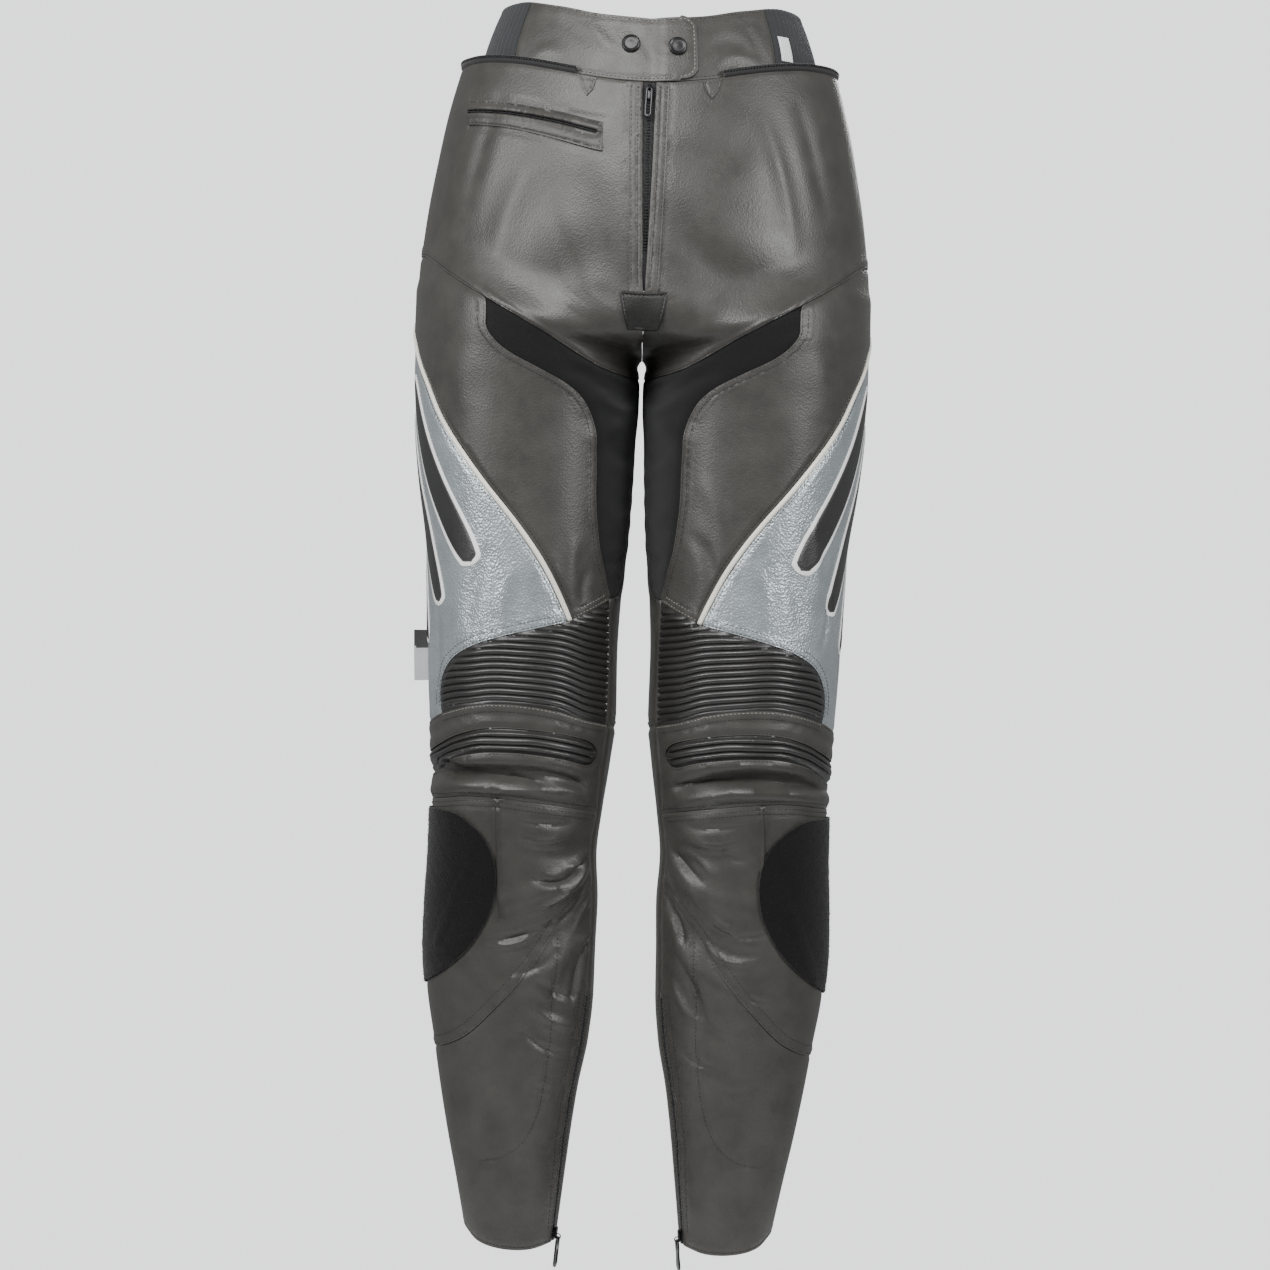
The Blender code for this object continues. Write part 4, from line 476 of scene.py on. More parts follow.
class Surface:
    """A surface addressed by (around, down), with a flat map that keeps lengths about true."""

    side: int = 1
    creases: Sequence[Sequence] = ()

    def girth(self, down: Array) -> Array:
        """Length once around at each depth."""
        raise NotImplementedError

    def point(self, around: Array, down: Array) -> Array:
        """The plain surface's points."""
        raise NotImplementedError

    def to_flat(self, spots: Array) -> Array:
        """Flat places of (around, down) spots."""
        spots = np.asarray(spots, float)
        return np.column_stack([(spots[:, 0] - 0.5) * self.girth(spots[:, 1]), spots[:, 1]])

    def from_flat(self, flat: Array) -> tuple[Array, Array]:
        """The (around, down) spots of flat places."""
        flat = np.asarray(flat, float)
        return flat[:, 0] / self.girth(flat[:, 1]) + 0.5, flat[:, 1]

    def normal(self, around: Array, down: Array) -> Array:
        """Outward directions.

        Args:
            around: Turns about the surface.
            down: Depth below the waist.

        Returns:
            Unit vectors.
        """
        along = self.point(around + 1e-4, down) - self.point(around - 1e-4, down)
        up = self.point(around, down + 0.05) - self.point(around, down - 0.05)
        normal = np.cross(along, up)
        return normal / np.linalg.norm(normal, axis=-1, keepdims=True)

    def crease_height(self, flat: Array) -> Array:
        """Height of all creases at flat places.

        Args:
            flat: Flat points.

        Returns:
            The heights.
        """
        total = np.zeros(len(flat))
        for row in self.creases:
            width, height = row[7:9]
            for turn in (-1, 0, 1):
                line = self.to_flat(parabola_line(row) + [turn, 0])
                away, share = line_distance(line, flat, 4 * width)
                taper = np.sin(math.pi * np.clip(share, 0.001, 0.999))**0.7
                profile = np.exp(-(away / width)**2)
                profile -= 0.22 * np.exp(-((away - 2.1 * width) / width)**2)
                total += height * taper * np.where(away < 1e8, profile, 0)
        return total

    def place(self, flat: Array, lift: Array) -> Array:
        """World points in metres of flat places, moved out by lift.

        Args:
            flat: Flat points.
            lift: Height over the plain surface.

        Returns:
            The points.
        """
        around, down = self.from_flat(flat)
        rise = np.broadcast_to(np.asarray(lift, float), around.shape)
        points = self.point(around, down) + self.normal(around, down) * rise[:, None]
        points[:, 0] *= self.side
        return points * MM


class Leg(Surface):
    """One leg with its half of the hips."""

    def __init__(self, side: Side) -> None:
        """Read the rings, and keep the creases of this leg.

        Args:
            side: The side.
        """
        self.side = side.value
        self.word = side.word
        self.rings = SmoothTable(RING_COLUMNS, RINGS)
        self.creases = [row for row in LARGE_FOLDS + CREASES if row[0] in ("both", side.word)]

    def ring(self, down: Array) -> list[Array]:
        """Inner, outer, front and back reach at each depth."""
        return [self.rings.read(name, down) for name in ("inner", "outer", "front", "back")]

    def girth(self, down: Array) -> Array:
        """Length once around at each depth."""
        inner, outer, front, back = self.ring(down)
        return 2 * math.pi * np.sqrt(((outer - inner)**2 + (back - front)**2) / 8)

    def point(self, around: Array, down: Array) -> Array:
        """The plain surface's points.

        Args:
            around: Turns about the surface.
            down: Depth below the waist.

        Returns:
            Points in millimetres.
        """
        around, down = np.broadcast_arrays(np.asarray(around, float), np.asarray(down, float))
        inner, outer, front, back = self.ring(down)
        axis_x = (outer + np.maximum(inner, 0)) / 2
        half_x = (outer - inner) / 2
        half_y = (back - front) / 2
        shift = axis_x - (outer + inner) / 2
        cos = np.cos(2 * math.pi * around)
        sin = np.sin(2 * math.pi * around)
        quad = cos**2 / half_x**2 + sin**2 / half_y**2
        lin = shift * cos / half_x**2
        root = np.sqrt(np.maximum(lin**2 - quad * (shift**2 / half_x**2 - 1), 0))
        radius = (lin + root) / quad
        x = axis_x - radius * cos
        y = (front + back) / 2 - radius * sin
        dip = np.where(np.mod(around, 1) <= 0.5, self.rings.read("dip_front", down),
                       self.rings.read("dip_back", down))
        fade = np.cos(math.pi / 2 * np.clip(x / outer, 0, 1))**2
        return np.stack([x, y, down + dip * fade], -1)

    def turn_at(self, across: float, down: float, back: bool = False) -> float:
        """The turn at which the ring at this depth is this far from the middle plane.

        Args:
            across: Distance from the middle plane.
            down: Depth below the waist.
            back: Whether it is the back edge.

        Returns:
            The turn.
        """
        low, high = (0.55, 1.0) if back else (0.0, 0.45)
        for _ in range(40):
            mid = (low + high) / 2
            near = self.point(mid, down)[0] < across
            if near != back:
                low = mid
            else:
                high = mid
        return (low + high) / 2

    def spot(self, across: float, down: float) -> Array:
        """The flat place of a point on the front, by its distance from the middle plane."""
        return self.to_flat(np.array([(self.turn_at(across, down), down)]))[0]


class Band(Surface):
    """The waistband. around runs from the back (0) over the wearer's right to the front (0.5)."""

    creases = BAND_CREASES

    def __init__(self, overlap: float = 0.0) -> None:
        """Read the rings. overlap is how far the front end is lifted over the other.

        Args:
            overlap: Lift of the front end.
        """
        self.rings = SmoothTable(BAND_COLUMNS, BAND_RINGS)
        self.overlap = overlap
        self.top = SmoothTable(("around", "height"), BAND_TOP)

    def girth(self, down: Array) -> Array:
        """Length once around, taken as the same at each height."""
        return np.full(np.shape(down), BAND_GIRTH)

    def point(self, around: Array, down: Array) -> Array:
        """The band's points, with the lapped end lifted.

        Args:
            around: Turns about the surface.
            down: Depth below the waist.

        Returns:
            Points in millimetres.
        """
        around, down = np.broadcast_arrays(np.asarray(around, float), np.asarray(down, float))
        turn = 2 * math.pi * around
        lift = self.overlap * smooth_step(LAP_START, LAP_END, -142 * np.sin(turn))
        lift = np.where(np.cos(turn) < 0, lift, 0)
        width = self.rings.read("half_width", down) + lift
        depth = np.where(np.cos(turn) < 0, -self.rings.read("front", down),
                         self.rings.read("back", down)) + lift
        return np.stack([-width * np.sin(turn), depth * np.cos(turn), down], -1)

    def top_at(self, around: float) -> float:
        """Height of the band's upper edge.

        Args:
            around: Turns about the surface.

        Returns:
            The height.
        """
        turn = around % 1
        turn = 1 - turn if turn > 0.5 else turn
        return float(self.top.read("height", turn))

    def bottom_at(self, around: float, leg: Leg) -> float:
        """Height of the band's lower edge, just above the waist edge of the hips.

        Args:
            around: Turns about the surface.
            leg: The leg.

        Returns:
            The height.
        """
        across = abs(float(self.point(around, 0.0)[0]))
        front = abs((around % 1) - 0.5) < 0.25
        dip = float(leg.rings.read("dip_front" if front else "dip_back", 0.0))
        outer = float(leg.rings.read("outer", 0.0))
        return dip * math.cos(math.pi / 2 * min(across / outer, 1))**2 + LAY_GAP + 0.15


def curve_through(points: Array, step: float) -> Array:
    """Points at an even step on a smooth curve through the given points.

    Args:
        points: The points.
        step: Length of one step.

    Returns:
        The finer points.
    """
    points = np.asarray(points, float)
    if len(points) == 2:
        count = max(1, round(float(np.linalg.norm(points[1] - points[0])) / step))
        share = np.linspace(0, 1, count + 1)[:, None]
        return points[0] * (1 - share) + points[1] * share
    ends = np.vstack([2 * points[0] - points[1], points, 2 * points[-1] - points[-2]])
    t = np.linspace(0, 1, 12, endpoint=False)[:, None]
    fine = []
    for i in range(len(points) - 1):
        p0, p1, p2, p3 = ends[i:i + 4]
        fine.append(0.5 * (2 * p1 + (p2 - p0) * t + (2 * p0 - 5 * p1 + 4 * p2 - p3) * t**2
                           + (3 * p1 - p0 - 3 * p2 + p3) * t**3))
    fine = np.vstack(fine + [points[-1:]])
    length = np.concatenate([[0], np.cumsum(np.linalg.norm(np.diff(fine, axis=0), axis=1))])
    count = max(2, round(length[-1] / step))
    marks = np.linspace(0, length[-1], count + 1)
    return np.column_stack([np.interp(marks, length, fine[:, k]) for k in range(points.shape[1])])


def signed_area(loop: Array) -> float:
    """Area of a loop, above 0 where it runs against the clock."""
    x, y = loop[:, 0], loop[:, 1]
    return 0.5 * float(np.sum(x * np.roll(y, -1) - np.roll(x, -1) * y))


def move_in(loop: Array, gap: float) -> Array:
    """A loop moved to its inside by gap, with mitred corners.

    Args:
        loop: The closed loop.
        gap: How far in.

    Returns:
        The moved loop.
    """
    if signed_area(loop) < 0:
        loop = loop[::-1]
    first = loop - np.roll(loop, 1, axis=0)
    second = np.roll(loop, -1, axis=0) - loop
    first /= np.maximum(np.linalg.norm(first, axis=1, keepdims=True), 1e-9)
    second /= np.maximum(np.linalg.norm(second, axis=1, keepdims=True), 1e-9)
    n1 = np.column_stack([-first[:, 1], first[:, 0]])
    mitre = n1 + np.column_stack([-second[:, 1], second[:, 0]])
    mitre /= np.maximum(np.sum(mitre * n1, axis=1, keepdims=True), 0.35)
    return loop + mitre * gap


def inside(loop: Array, points: Array) -> Array:
    """Which points lie inside a closed loop.

    Args:
        loop: The closed loop.
        points: The points.

    Returns:
        True for each point inside.
    """
    result = np.zeros(len(points), bool)
    x, y = points[:, 0], points[:, 1]
    for (x1, y1), (x2, y2) in zip(loop, np.roll(loop, -1, axis=0)):
        if y1 == y2:
            continue
        result ^= ((y1 > y) != (y2 > y)) & (x < (x2 - x1) * (y - y1) / (y2 - y1) + x1)
    return result


def loop_distance(loop: Array, points: Array) -> Array:
    """Distance from each point to a closed loop."""
    return line_distance(np.vstack([loop, loop[:1]]), points)[0]


def chain(*lines: Array) -> list[Array]:
    """Lines that bound one panel, each turned round where needed to follow the one before.

    Args:
        lines: The lines.

    Returns:
        The lines in order.
    """
    lines = [np.asarray(line, float) for line in lines]

    def gap(a: Array, b: Array) -> float:
        """Distance between two points."""
        return float(np.linalg.norm(a - b))

    first, second = lines[0], lines[1]
    start_gap = min(gap(first[0], second[0]), gap(first[0], second[-1]))
    if start_gap < min(gap(first[-1], second[0]), gap(first[-1], second[-1])):
        lines[0] = first[::-1]
    for i in range(1, len(lines)):
        if gap(lines[i][-1], lines[i - 1][-1]) < gap(lines[i][0], lines[i - 1][-1]):
            lines[i] = lines[i][::-1]
    return lines


def loop_of(lines: Sequence[Array]) -> Array:
    """One closed outline from lines that follow each other.

    Args:
        lines: The lines.

    Returns:
        The outline without a repeated end.
    """
    points = [lines[0][0]]
    for line in lines:
        for point in line:
            if np.linalg.norm(point - points[-1]) > 0.05:
                points.append(point)
    if np.linalg.norm(points[0] - points[-1]) <= 0.05:
        points.pop()
    return np.array(points)


def sideways(line: Array, distance: float) -> Array:
    """A line moved to its left by a distance.

    Args:
        line: The line.
        distance: How far; a negative distance goes to the right.

    Returns:
        The moved line.
    """
    along = np.gradient(line, axis=0)
    along /= np.maximum(np.linalg.norm(along, axis=1, keepdims=True), 1e-9)
    return line + np.column_stack([-along[:, 1], along[:, 0]]) * distance


@dataclass
class Panel:
    """One cut piece, laid out flat and then placed as a thin closed shell.

    Args:
        name: The node that the piece replaces.
        surface: The surface it lies on.
        lines: The lines that bound it, in order.
        edges: How it ends at each of those lines.
        grid: Distance between its points.
        base: Height of its inner face over the surface.
        wall: Its thickness.
        relief: Further height at flat places, such as ribs.
        rows: Further lines of points that the mesh keeps.
        grooves: Lines along which sewing pulls the cloth in, each with its depth.
        gap: How far it stays clear of its outline.
    """

    name: str
    surface: Surface
    lines: list[Array]
    edges: Sequence[Edge]
    grid: float = GRID
    base: float = -WALL
    wall: float = WALL
    relief: Callable[[Array], Array] | None = None
    rows: Sequence[Array] = ()
    grooves: list[tuple[Array, float]] = field(default_factory=list)
    gap: float = SEAM_GAP / 2

    def __post_init__(self) -> None:
        """Close the outline."""
        self.cloth_area = 0.0
        self.loop = loop_of(self.lines)
        if signed_area(self.loop) < 0:
            self.loop = self.loop[::-1]

    def inset(self, line: int | Array, distance: float, ends: float = 0.0) -> Array:
        """A line that runs inside the panel, beside one of its edges.

        Args:
            line: Number of the edge, or a free line of flat points.
            distance: How far in from the edge.
            ends: Length left out at each end.

        Returns:
            The flat points that lie inside the panel.
        """
        path = self.lines[line] if isinstance(line, int) else np.asarray(line, float)
        path = curve_through(path, LINE_STEP) if len(path) > 2 else curve_through(path, 2.0)
        moved = sideways(path, distance)
        if inside(self.loop, moved).sum() < inside(self.loop, sideways(path, -distance)).sum():
            moved = sideways(path, -distance)
        keep = inside(self.loop, moved)
        if distance:
            keep &= loop_distance(self.loop, moved) > 0.8 * abs(distance)
        moved = moved[keep]
        skip = int(ends / LINE_STEP)
        return moved[skip:len(moved) - skip] if skip else moved

    def outer_lift(self, flat: Array) -> Array:
        """Height of the outer face over the plain surface.

        Args:
            flat: Flat points.

        Returns:
            The heights.
        """
        reliefs = [edge_relief(edge, line_distance(line, flat, 14)[0])
                   for line, edge in zip(self.lines, self.edges)]
        stack = np.nan_to_num(np.array(reliefs))
        lift = stack.clip(max=0).min(axis=0) + stack.clip(min=0).max(axis=0)
        for line, depth in self.grooves:
            lift -= depth * np.exp(-(line_distance(line, flat, 5)[0] / 0.85)**2)
        if self.relief is not None:
            lift += self.relief(flat)
        return lift + self.base + self.wall + self.surface.crease_height(flat)

    def layout(self) -> tuple[Array, list[tuple[int, int, int]], int]:
        """Flat points, triangles and the number of points on the rim.

        Returns:
            The points, the triangles and the number.
        """
        rim = move_in(self.loop, self.gap)
        taken = [rim]
        tree = self.tree_of(rim)
        for depth in (0.9, 2.2, 4.2):
            if self.grid < 2.0 and depth > 1:
                continue
            ring = move_in(rim, depth)
            tree = self.accept(taken, ring, tree, 0.62 * depth)
        for line in self.rows:
            tree = self.accept(taken, line, tree, 0.7, refresh=False)
        tree = self.tree_of(np.vstack(taken))
        for line, _ in self.grooves:
            line = curve_through(line, 2.6)
            tree = self.accept(taken, line, tree, 0.75, refresh=False)
            if self.grid <= 2.4:
                for away in (-1.1, 1.1):
                    self.accept(taken, sideways(line, away), tree, 0.6, refresh=False)
        sharp = self.crease_points()
        if len(sharp):
            tree = self.accept(taken, sharp, tree, 0.9)
        low, high = rim.min(axis=0), rim.max(axis=0)
        ys = np.arange(low[1], high[1], self.grid * 0.87)
        xs = np.arange(low[0], high[0] + self.grid, self.grid)
        mesh_x, mesh_y = np.meshgrid(xs, ys)
        mesh_x[1::2] += self.grid / 2
        self.accept(taken, np.column_stack([mesh_x.ravel(), mesh_y.ravel()]), tree,
                    0.62 * self.grid)
        points = np.vstack(taken)
        count = len(rim)
        edges = [(i, (i + 1) % count) for i in range(count)]
        result = delaunay_2d_cdt([Vector(p) for p in points], edges, [], 1, 1e-5)
        flat = np.array([tuple(v) for v in result[0]])
        faces = [f for f in result[2] if len(f) == 3]
        corners = flat[np.array(faces)]
        ab = corners[:, 1] - corners[:, 0]
        ac = corners[:, 2] - corners[:, 0]
        area = ab[:, 0] * ac[:, 1] - ab[:, 1] * ac[:, 0]
        return flat, [f if a > 0 else (f[0], f[2], f[1]) for f, a in zip(faces, area)
                      if abs(a) > 1e-4], count

    def crease_points(self) -> Array:
        """Points along the sharp creases, which the plain grid would blur.

        Returns:
            Flat points.
        """
        rows = []
        for row in self.surface.creases:
            width = row[7]
            if width > SHARP_CREASE or self.grid < 2.5:
                continue
            for turn in (-1, 0, 1):
                line = self.surface.to_flat(parabola_line(row) + [turn, 0])
                line = curve_through(line, 2.4)
                if inside(self.loop, line).any():
                    rows += [sideways(line, share * width) for share in (0.0, -0.8, 0.8)]
        if not rows:
            return np.empty((0, 2))
        points = np.vstack(rows)
        return points[np.unique(np.round(points / 1.1), axis=0, return_index=True)[1]]

    @staticmethod
    def tree_of(points: Array) -> KDTree:
        """A search tree of flat points.

        Args:
            points: The points.

        Returns:
            The tree.
        """
        tree = KDTree(len(points))
        for i, (x, y) in enumerate(points):
            tree.insert((x, y, 0), i)
        tree.balance()
        return tree

    def accept(self, taken: list[Array], points: Array, tree: KDTree, clear: float,
               refresh: bool = True) -> KDTree:
        """Add the points that lie inside and clear of those already taken.

        Args:
            taken: Points taken so far; the new ones join them.
            points: The points.
            tree: The tree.
            clear: Least distance to the points of the tree.
            refresh: Whether the tree is made anew afterwards.

        Returns:
            The tree to go on with.
        """
        points = np.asarray(points, float)
        points = points[inside(self.loop, points)] if len(points) else points
        good = [p for p in points if tree.find((p[0], p[1], 0))[2] > clear]
        if not good:
            return tree
        taken.append(np.array(good))
        return self.tree_of(np.vstack(taken)) if refresh else tree

    def build(self, outside: Finish, lining: Finish | None = None) -> bpy.types.Object:
        """Make the shell.

        Args:
            outside: Finish of the outer face and the cut edge.
            lining: Finish of the inner face, the same as outside where it isn't given.

        Returns:
            The new object.
        """
        flat, faces, _ = self.layout()
        outer = self.surface.place(flat, self.outer_lift(flat))
        inner = self.surface.place(flat, self.base + self.surface.crease_height(flat))
        count = len(flat)
        seen = {(f[i], f[(i + 1) % 3]) for f in faces for i in range(3)}
        rim = [edge for edge in seen if (edge[1], edge[0]) not in seen]
        solid = [tuple(f) for f in faces]
        solid += [(count + f[0], count + f[2], count + f[1]) for f in faces]
        for a, b in rim:
            solid.append((b, a, count + a, count + b))
        if self.surface.side < 0:
            solid = [tuple(reversed(f)) for f in solid]
        obj = new_object(self.name, np.vstack([outer, inner]), solid)
        mesh = obj.data
        add_layout(mesh, np.vstack([flat, flat]), loop_distance(self.loop, flat))
        mesh.materials.append(outside.made())
        if lining is not None:
            mesh.materials.append(lining.made())
            for i in range(len(faces), 2 * len(faces)):
                mesh.polygons[i].material_index = 1
        mesh.set_sharp_from_angle(angle=math.radians(52))
        log.info("%s: %d faces", self.name, len(solid))
        self.cloth_area = sum(poly.area for poly in mesh.polygons[:len(faces)])
        return obj

    def declare(self, obj: bpy.types.Object, held: str = "hung", rests_on: Sequence = (),
                with_pieces: Sequence = ()) -> None:
        """Does nothing: the sheet's cut size is not worked out.

        Args:
            obj: The object; not used.
            held: How the cloth is held; not used.
            rests_on: Pieces that it rests on; not used.
            with_pieces: Pieces that move with it; not used.
        """


def new_object(name: str, points: Array, faces: Iterable[Sequence[int]]) -> bpy.types.Object:
    """A smooth mesh object in the scene, with its points in metres and outward faces.

    Args:
        name: The name.
        points: The points.
        faces: The faces.

    Returns:
        The object.
    """
    mesh = bpy.data.meshes.new(name)
    mesh.from_pydata([tuple(p) for p in points], [], [tuple(f) for f in faces])
    mesh.validate()
    mesh.shade_smooth()
    obj = bpy.data.objects.new(name + "_look", mesh)
    bpy.context.scene.collection.objects.link(obj)
    if solid_volume(mesh) < 0:
        mesh.flip_normals()
    return obj


def solid_volume(mesh: bpy.types.Mesh) -> float:
    """Signed volume inside a closed mesh.

    Args:
        mesh: The mesh.

    Returns:
        The volume.
    """
    mesh.calc_loop_triangles()
    count = len(mesh.loop_triangles)
    index = np.empty(count * 3, np.int32)
    mesh.loop_triangles.foreach_get("vertices", index)
    places = np.empty(len(mesh.vertices) * 3, np.float32)
    mesh.vertices.foreach_get("co", places)
    corners = places.reshape(-1, 3).astype(float)[index.reshape(-1, 3)]
    return float(np.einsum("ij,ij->i", corners[:, 0], np.cross(corners[:, 1], corners[:, 2])).sum())


def add_layout(mesh: bpy.types.Mesh, flat: Array, away: Array) -> None:
    """Store the flat layout as a UV map in metres, and the distance to the edge.

    Args:
        mesh: The mesh.
        flat: Flat points.
        away: Distance of each point to the edge.
    """
    uv = mesh.uv_layers.new(name="UVMap")
    index = np.empty(len(mesh.loops), np.int32)
    mesh.loops.foreach_get("vertex_index", index)
    uv.data.foreach_set("uv", (flat[index] * MM).astype(np.float32).ravel())
    seam = mesh.attributes.new("seam", "FLOAT", "POINT")
    both = np.concatenate([away] * (len(mesh.vertices) // len(away)))
    seam.data.foreach_set("value", both.astype(np.float32))


def hex_linear(code: str) -> tuple[float, float, float, float]:
    """A six digit colour as linear light.

    Args:
        code: The six digits.

    Returns:
        Red, green, blue and 1.
    """
    parts = [int(code[i:i + 2], 16) / 255 for i in (0, 2, 4)]
    linear = [c / 12.92 if c <= 0.04045 else ((c + 0.055) / 1.055)**2.4 for c in parts]
    return (*linear, 1.0)


def add_node(tree: bpy.types.NodeTree, kind: str, settings: dict | None = None,
             links: dict | None = None) -> bpy.types.Node:
    """Add a node with its settings and the sockets that feed it.

    Args:
        tree: The node tree.
        kind: The node's type.
        settings: Values by property name, or by socket name or number.
        links: Output sockets by the input socket's name or number.

    Returns:
        The node.
    """
    node = tree.nodes.new(kind)
    for key, value in (settings or {}).items():
        if isinstance(key, str) and hasattr(node, key):
            setattr(node, key, value)
        else:
            node.inputs[key].default_value = value
    for key, source in (links or {}).items():
        tree.links.new(source, node.inputs[key])
    return node


@dataclass(frozen=True)
class Finish:
    """A real material drawn in nodes over the object's own coordinates.

    Args:
        name: The material and its process.
        slot: Name of a material slot; not used.
        colour: Base colour.
        wear: Colour beside the seams.
        rough: Roughness.
        metallic: Share of metallic flake.
        grain: Size of the grain in millimetres, drawn coarser than real where it is under 1 mm.
        grain_height: Strength of the grain.
        mottle: How far the colour wanders over a few centimetres.
        crinkle: Strength of fine creases.
        sheen: Sheen of a fibrous surface.
        coat: Clear coat.
        specular: Specular level.
        worn: How strongly wear shows beside the seams.
        lines: Ribs or knit wales per metre across the cloth, 0 for none.
    """

    name: str
    slot: str
    colour: str
    wear: str = "808080"
    rough: float = 0.5
    metallic: float = 0.0
    grain: float = 1.6
    grain_height: float = 0.3
    mottle: float = 0.25
    crinkle: float = 0.0
    sheen: float = 0.0
    coat: float = 0.0
    specular: float = 0.5
    worn: float = 0.0
    lines: float = 0.0

    def made(self) -> bpy.types.Material:
        """The material, built once.

        Returns:
            The material.
        """
        found = bpy.data.materials.get(self.name)
        if found:
            return found
        made = bpy.data.materials.new(self.name)
        made.use_nodes = True
        tree = made.node_tree
        shader = tree.nodes["Principled BSDF"]
        shader.inputs["Metallic"].default_value = self.metallic
        shader.inputs["Sheen Weight"].default_value = self.sheen
        shader.inputs["Sheen Roughness"].default_value = 0.5
        shader.inputs["Coat Weight"].default_value = self.coat
        shader.inputs["Coat Roughness"].default_value = 0.25
        shader.inputs["Specular IOR Level"].default_value = self.specular
        place = tree.nodes.new("ShaderNodeTexCoord").outputs["Object"]
        clouds = add_node(tree, "ShaderNodeTexNoise",
                          {"Scale": 38.0, "Detail": 5.0, "Roughness": 0.62}, {"Vector": place})
        cells = add_node(tree, "ShaderNodeTexVoronoi",
                         {"Scale": 1000.0 / self.grain, "feature": "SMOOTH_F1",
                          "Smoothness": 0.6}, {"Vector": place})
        shade = add_node(tree, "ShaderNodeMapRange",
                         {"From Min": 0.3, "From Max": 0.7, "To Min": 1 - self.mottle,
                          "To Max": 1 + self.mottle}, {"Value": clouds.outputs["Fac"]})
        tint = add_node(tree, "ShaderNodeVectorMath",
                        {"operation": "SCALE", 0: hex_linear(self.colour)[:3]},
                        {"Scale": shade.outputs["Result"]})
        colour = tint.outputs["Vector"]
        if self.worn:
            away = add_node(tree, "ShaderNodeAttribute", {"attribute_name": "seam"})
            edge = add_node(tree, "ShaderNodeMapRange",
                            {"From Min": 0.0, "From Max": 2.2, "To Min": self.worn, "To Max": 0.0},
                            {"Value": away.outputs["Fac"]})
            rub = add_node(tree, "ShaderNodeMath", {"operation": "MULTIPLY"},
                           {0: edge.outputs["Result"], 1: clouds.outputs["Fac"]})
            mixed = add_node(tree, "ShaderNodeMix",
                             {"data_type": "RGBA", "B": hex_linear(self.wear)})
            tree.links.new(rub.outputs["Value"], mixed.inputs["Factor"])
            tree.links.new(colour, mixed.inputs[6])
            mixed.inputs[7].default_value = hex_linear(self.wear)
            colour = mixed.outputs[2]
        tree.links.new(colour, shader.inputs["Base Color"])
        rough = add_node(tree, "ShaderNodeMapRange",
                         {"From Min": 0.25, "From Max": 0.75, "To Min": self.rough - 0.07,
                          "To Max": self.rough + 0.07}, {"Value": clouds.outputs["Fac"]})
        tree.links.new(rough.outputs["Result"], shader.inputs["Roughness"])
        height = add_node(tree, "ShaderNodeMath", {"operation": "MULTIPLY", 1: self.grain_height},
                          {0: cells.outputs["Distance"]}).outputs["Value"]
        if self.crinkle:
            fold = add_node(tree, "ShaderNodeTexNoise",
                            {"Scale": 210.0, "Detail": 4.0, "Distortion": 0.8}, {"Vector": place})
            height = add_node(tree, "ShaderNodeMath",
                              {"operation": "MULTIPLY_ADD", 1: self.crinkle},
                              {0: fold.outputs["Fac"], 2: height}).outputs["Value"]
        if self.lines:
            flat = add_node(tree, "ShaderNodeUVMap", {"uv_map": "UVMap"})
            wave = add_node(tree, "ShaderNodeTexWave",
                            {"Scale": self.lines, "Distortion": 0.4, "Detail": 1.0,
                             "bands_direction": "X"}, {"Vector": flat.outputs["UV"]})
            height = add_node(tree, "ShaderNodeMath", {"operation": "ADD"},
                              {0: wave.outputs["Fac"], 1: height}).outputs["Value"]
        bump = add_node(tree, "ShaderNodeBump", {"Strength": 0.55, "Distance": 0.0006},
                        {"Height": height})
        tree.links.new(bump.outputs["Normal"], shader.inputs["Normal"])
        return made


# Top grain cowhide, pigment finished in black and waxed: worn grey where it is handled.
LEATHER = Finish("pigmented_cowhide_black", "leather", "383734", wear="6f6d69", rough=0.4,
                 grain=1.5, grain_height=0.4, mottle=0.14, crinkle=0.35, worn=0.25, specular=0.42)
# The same hide where it is cut narrow for strips, tabs and welts, with painted edges.
STRIP = Finish("pigmented_cowhide_strip_black", "leather", "393835", rough=0.45,
               grain=1.5, grain_height=0.3, mottle=0.1, crinkle=0.15, specular=0.4)
# The same hide, matt, for the tab at the fly's foot, with its colour darkened well below the hide's
# own as painted shade, since the tab faces down.
TAB_PAINTED_SHADE = Finish("pigmented_cowhide_tab_black", "leather", "1c1b1a", rough=0.5, grain=1.5,
              grain_height=0.5, mottle=0.15, crinkle=0.4, specular=0.4)
# Softer lamb leather over foam, for the ribbed stretch zones.
RIBBED = Finish("soft_nappa_black", "ribbed_leather", "262524", rough=0.36,
                grain=1.2, grain_height=0.15, mottle=0.1, crinkle=0.15, specular=0.6)
# Cowhide with a blue grey pearl foil coat.
PEARL = Finish("pearl_foiled_cowhide_blue_grey", "panel_leather", "959c9f", wear="c9cccd",
               rough=0.32, metallic=0.5, grain=1.8, grain_height=1.3, mottle=0.1, crinkle=1.1,
               worn=0.3, coat=0.15)
# White pigmented leather folded over a cord.
PIPING = Finish("pigmented_leather_off_white", "piping_leather", "dedbd0", wear="b5b1a5",
                rough=0.45, grain=1.2, grain_height=0.3, mottle=0.05, worn=0.1)
# Aramid and elastane knit, dyed black. Its wales are drawn coarser than real.
STRETCH = Finish("stretch_aramid_knit_black", "stretch_fabric", "111112", rough=0.88, grain=1.1,
                 grain_height=0.6, mottle=0.2, sheen=0.08, specular=0.2, lines=320.0)
# Woven rubber elastic covered in black yarn.
ELASTIC = Finish("woven_elastic_black", "elastic", "242628", rough=0.75, grain=0.9,
                 grain_height=0.5, mottle=0.15, sheen=0.12, specular=0.3, lines=160.0)
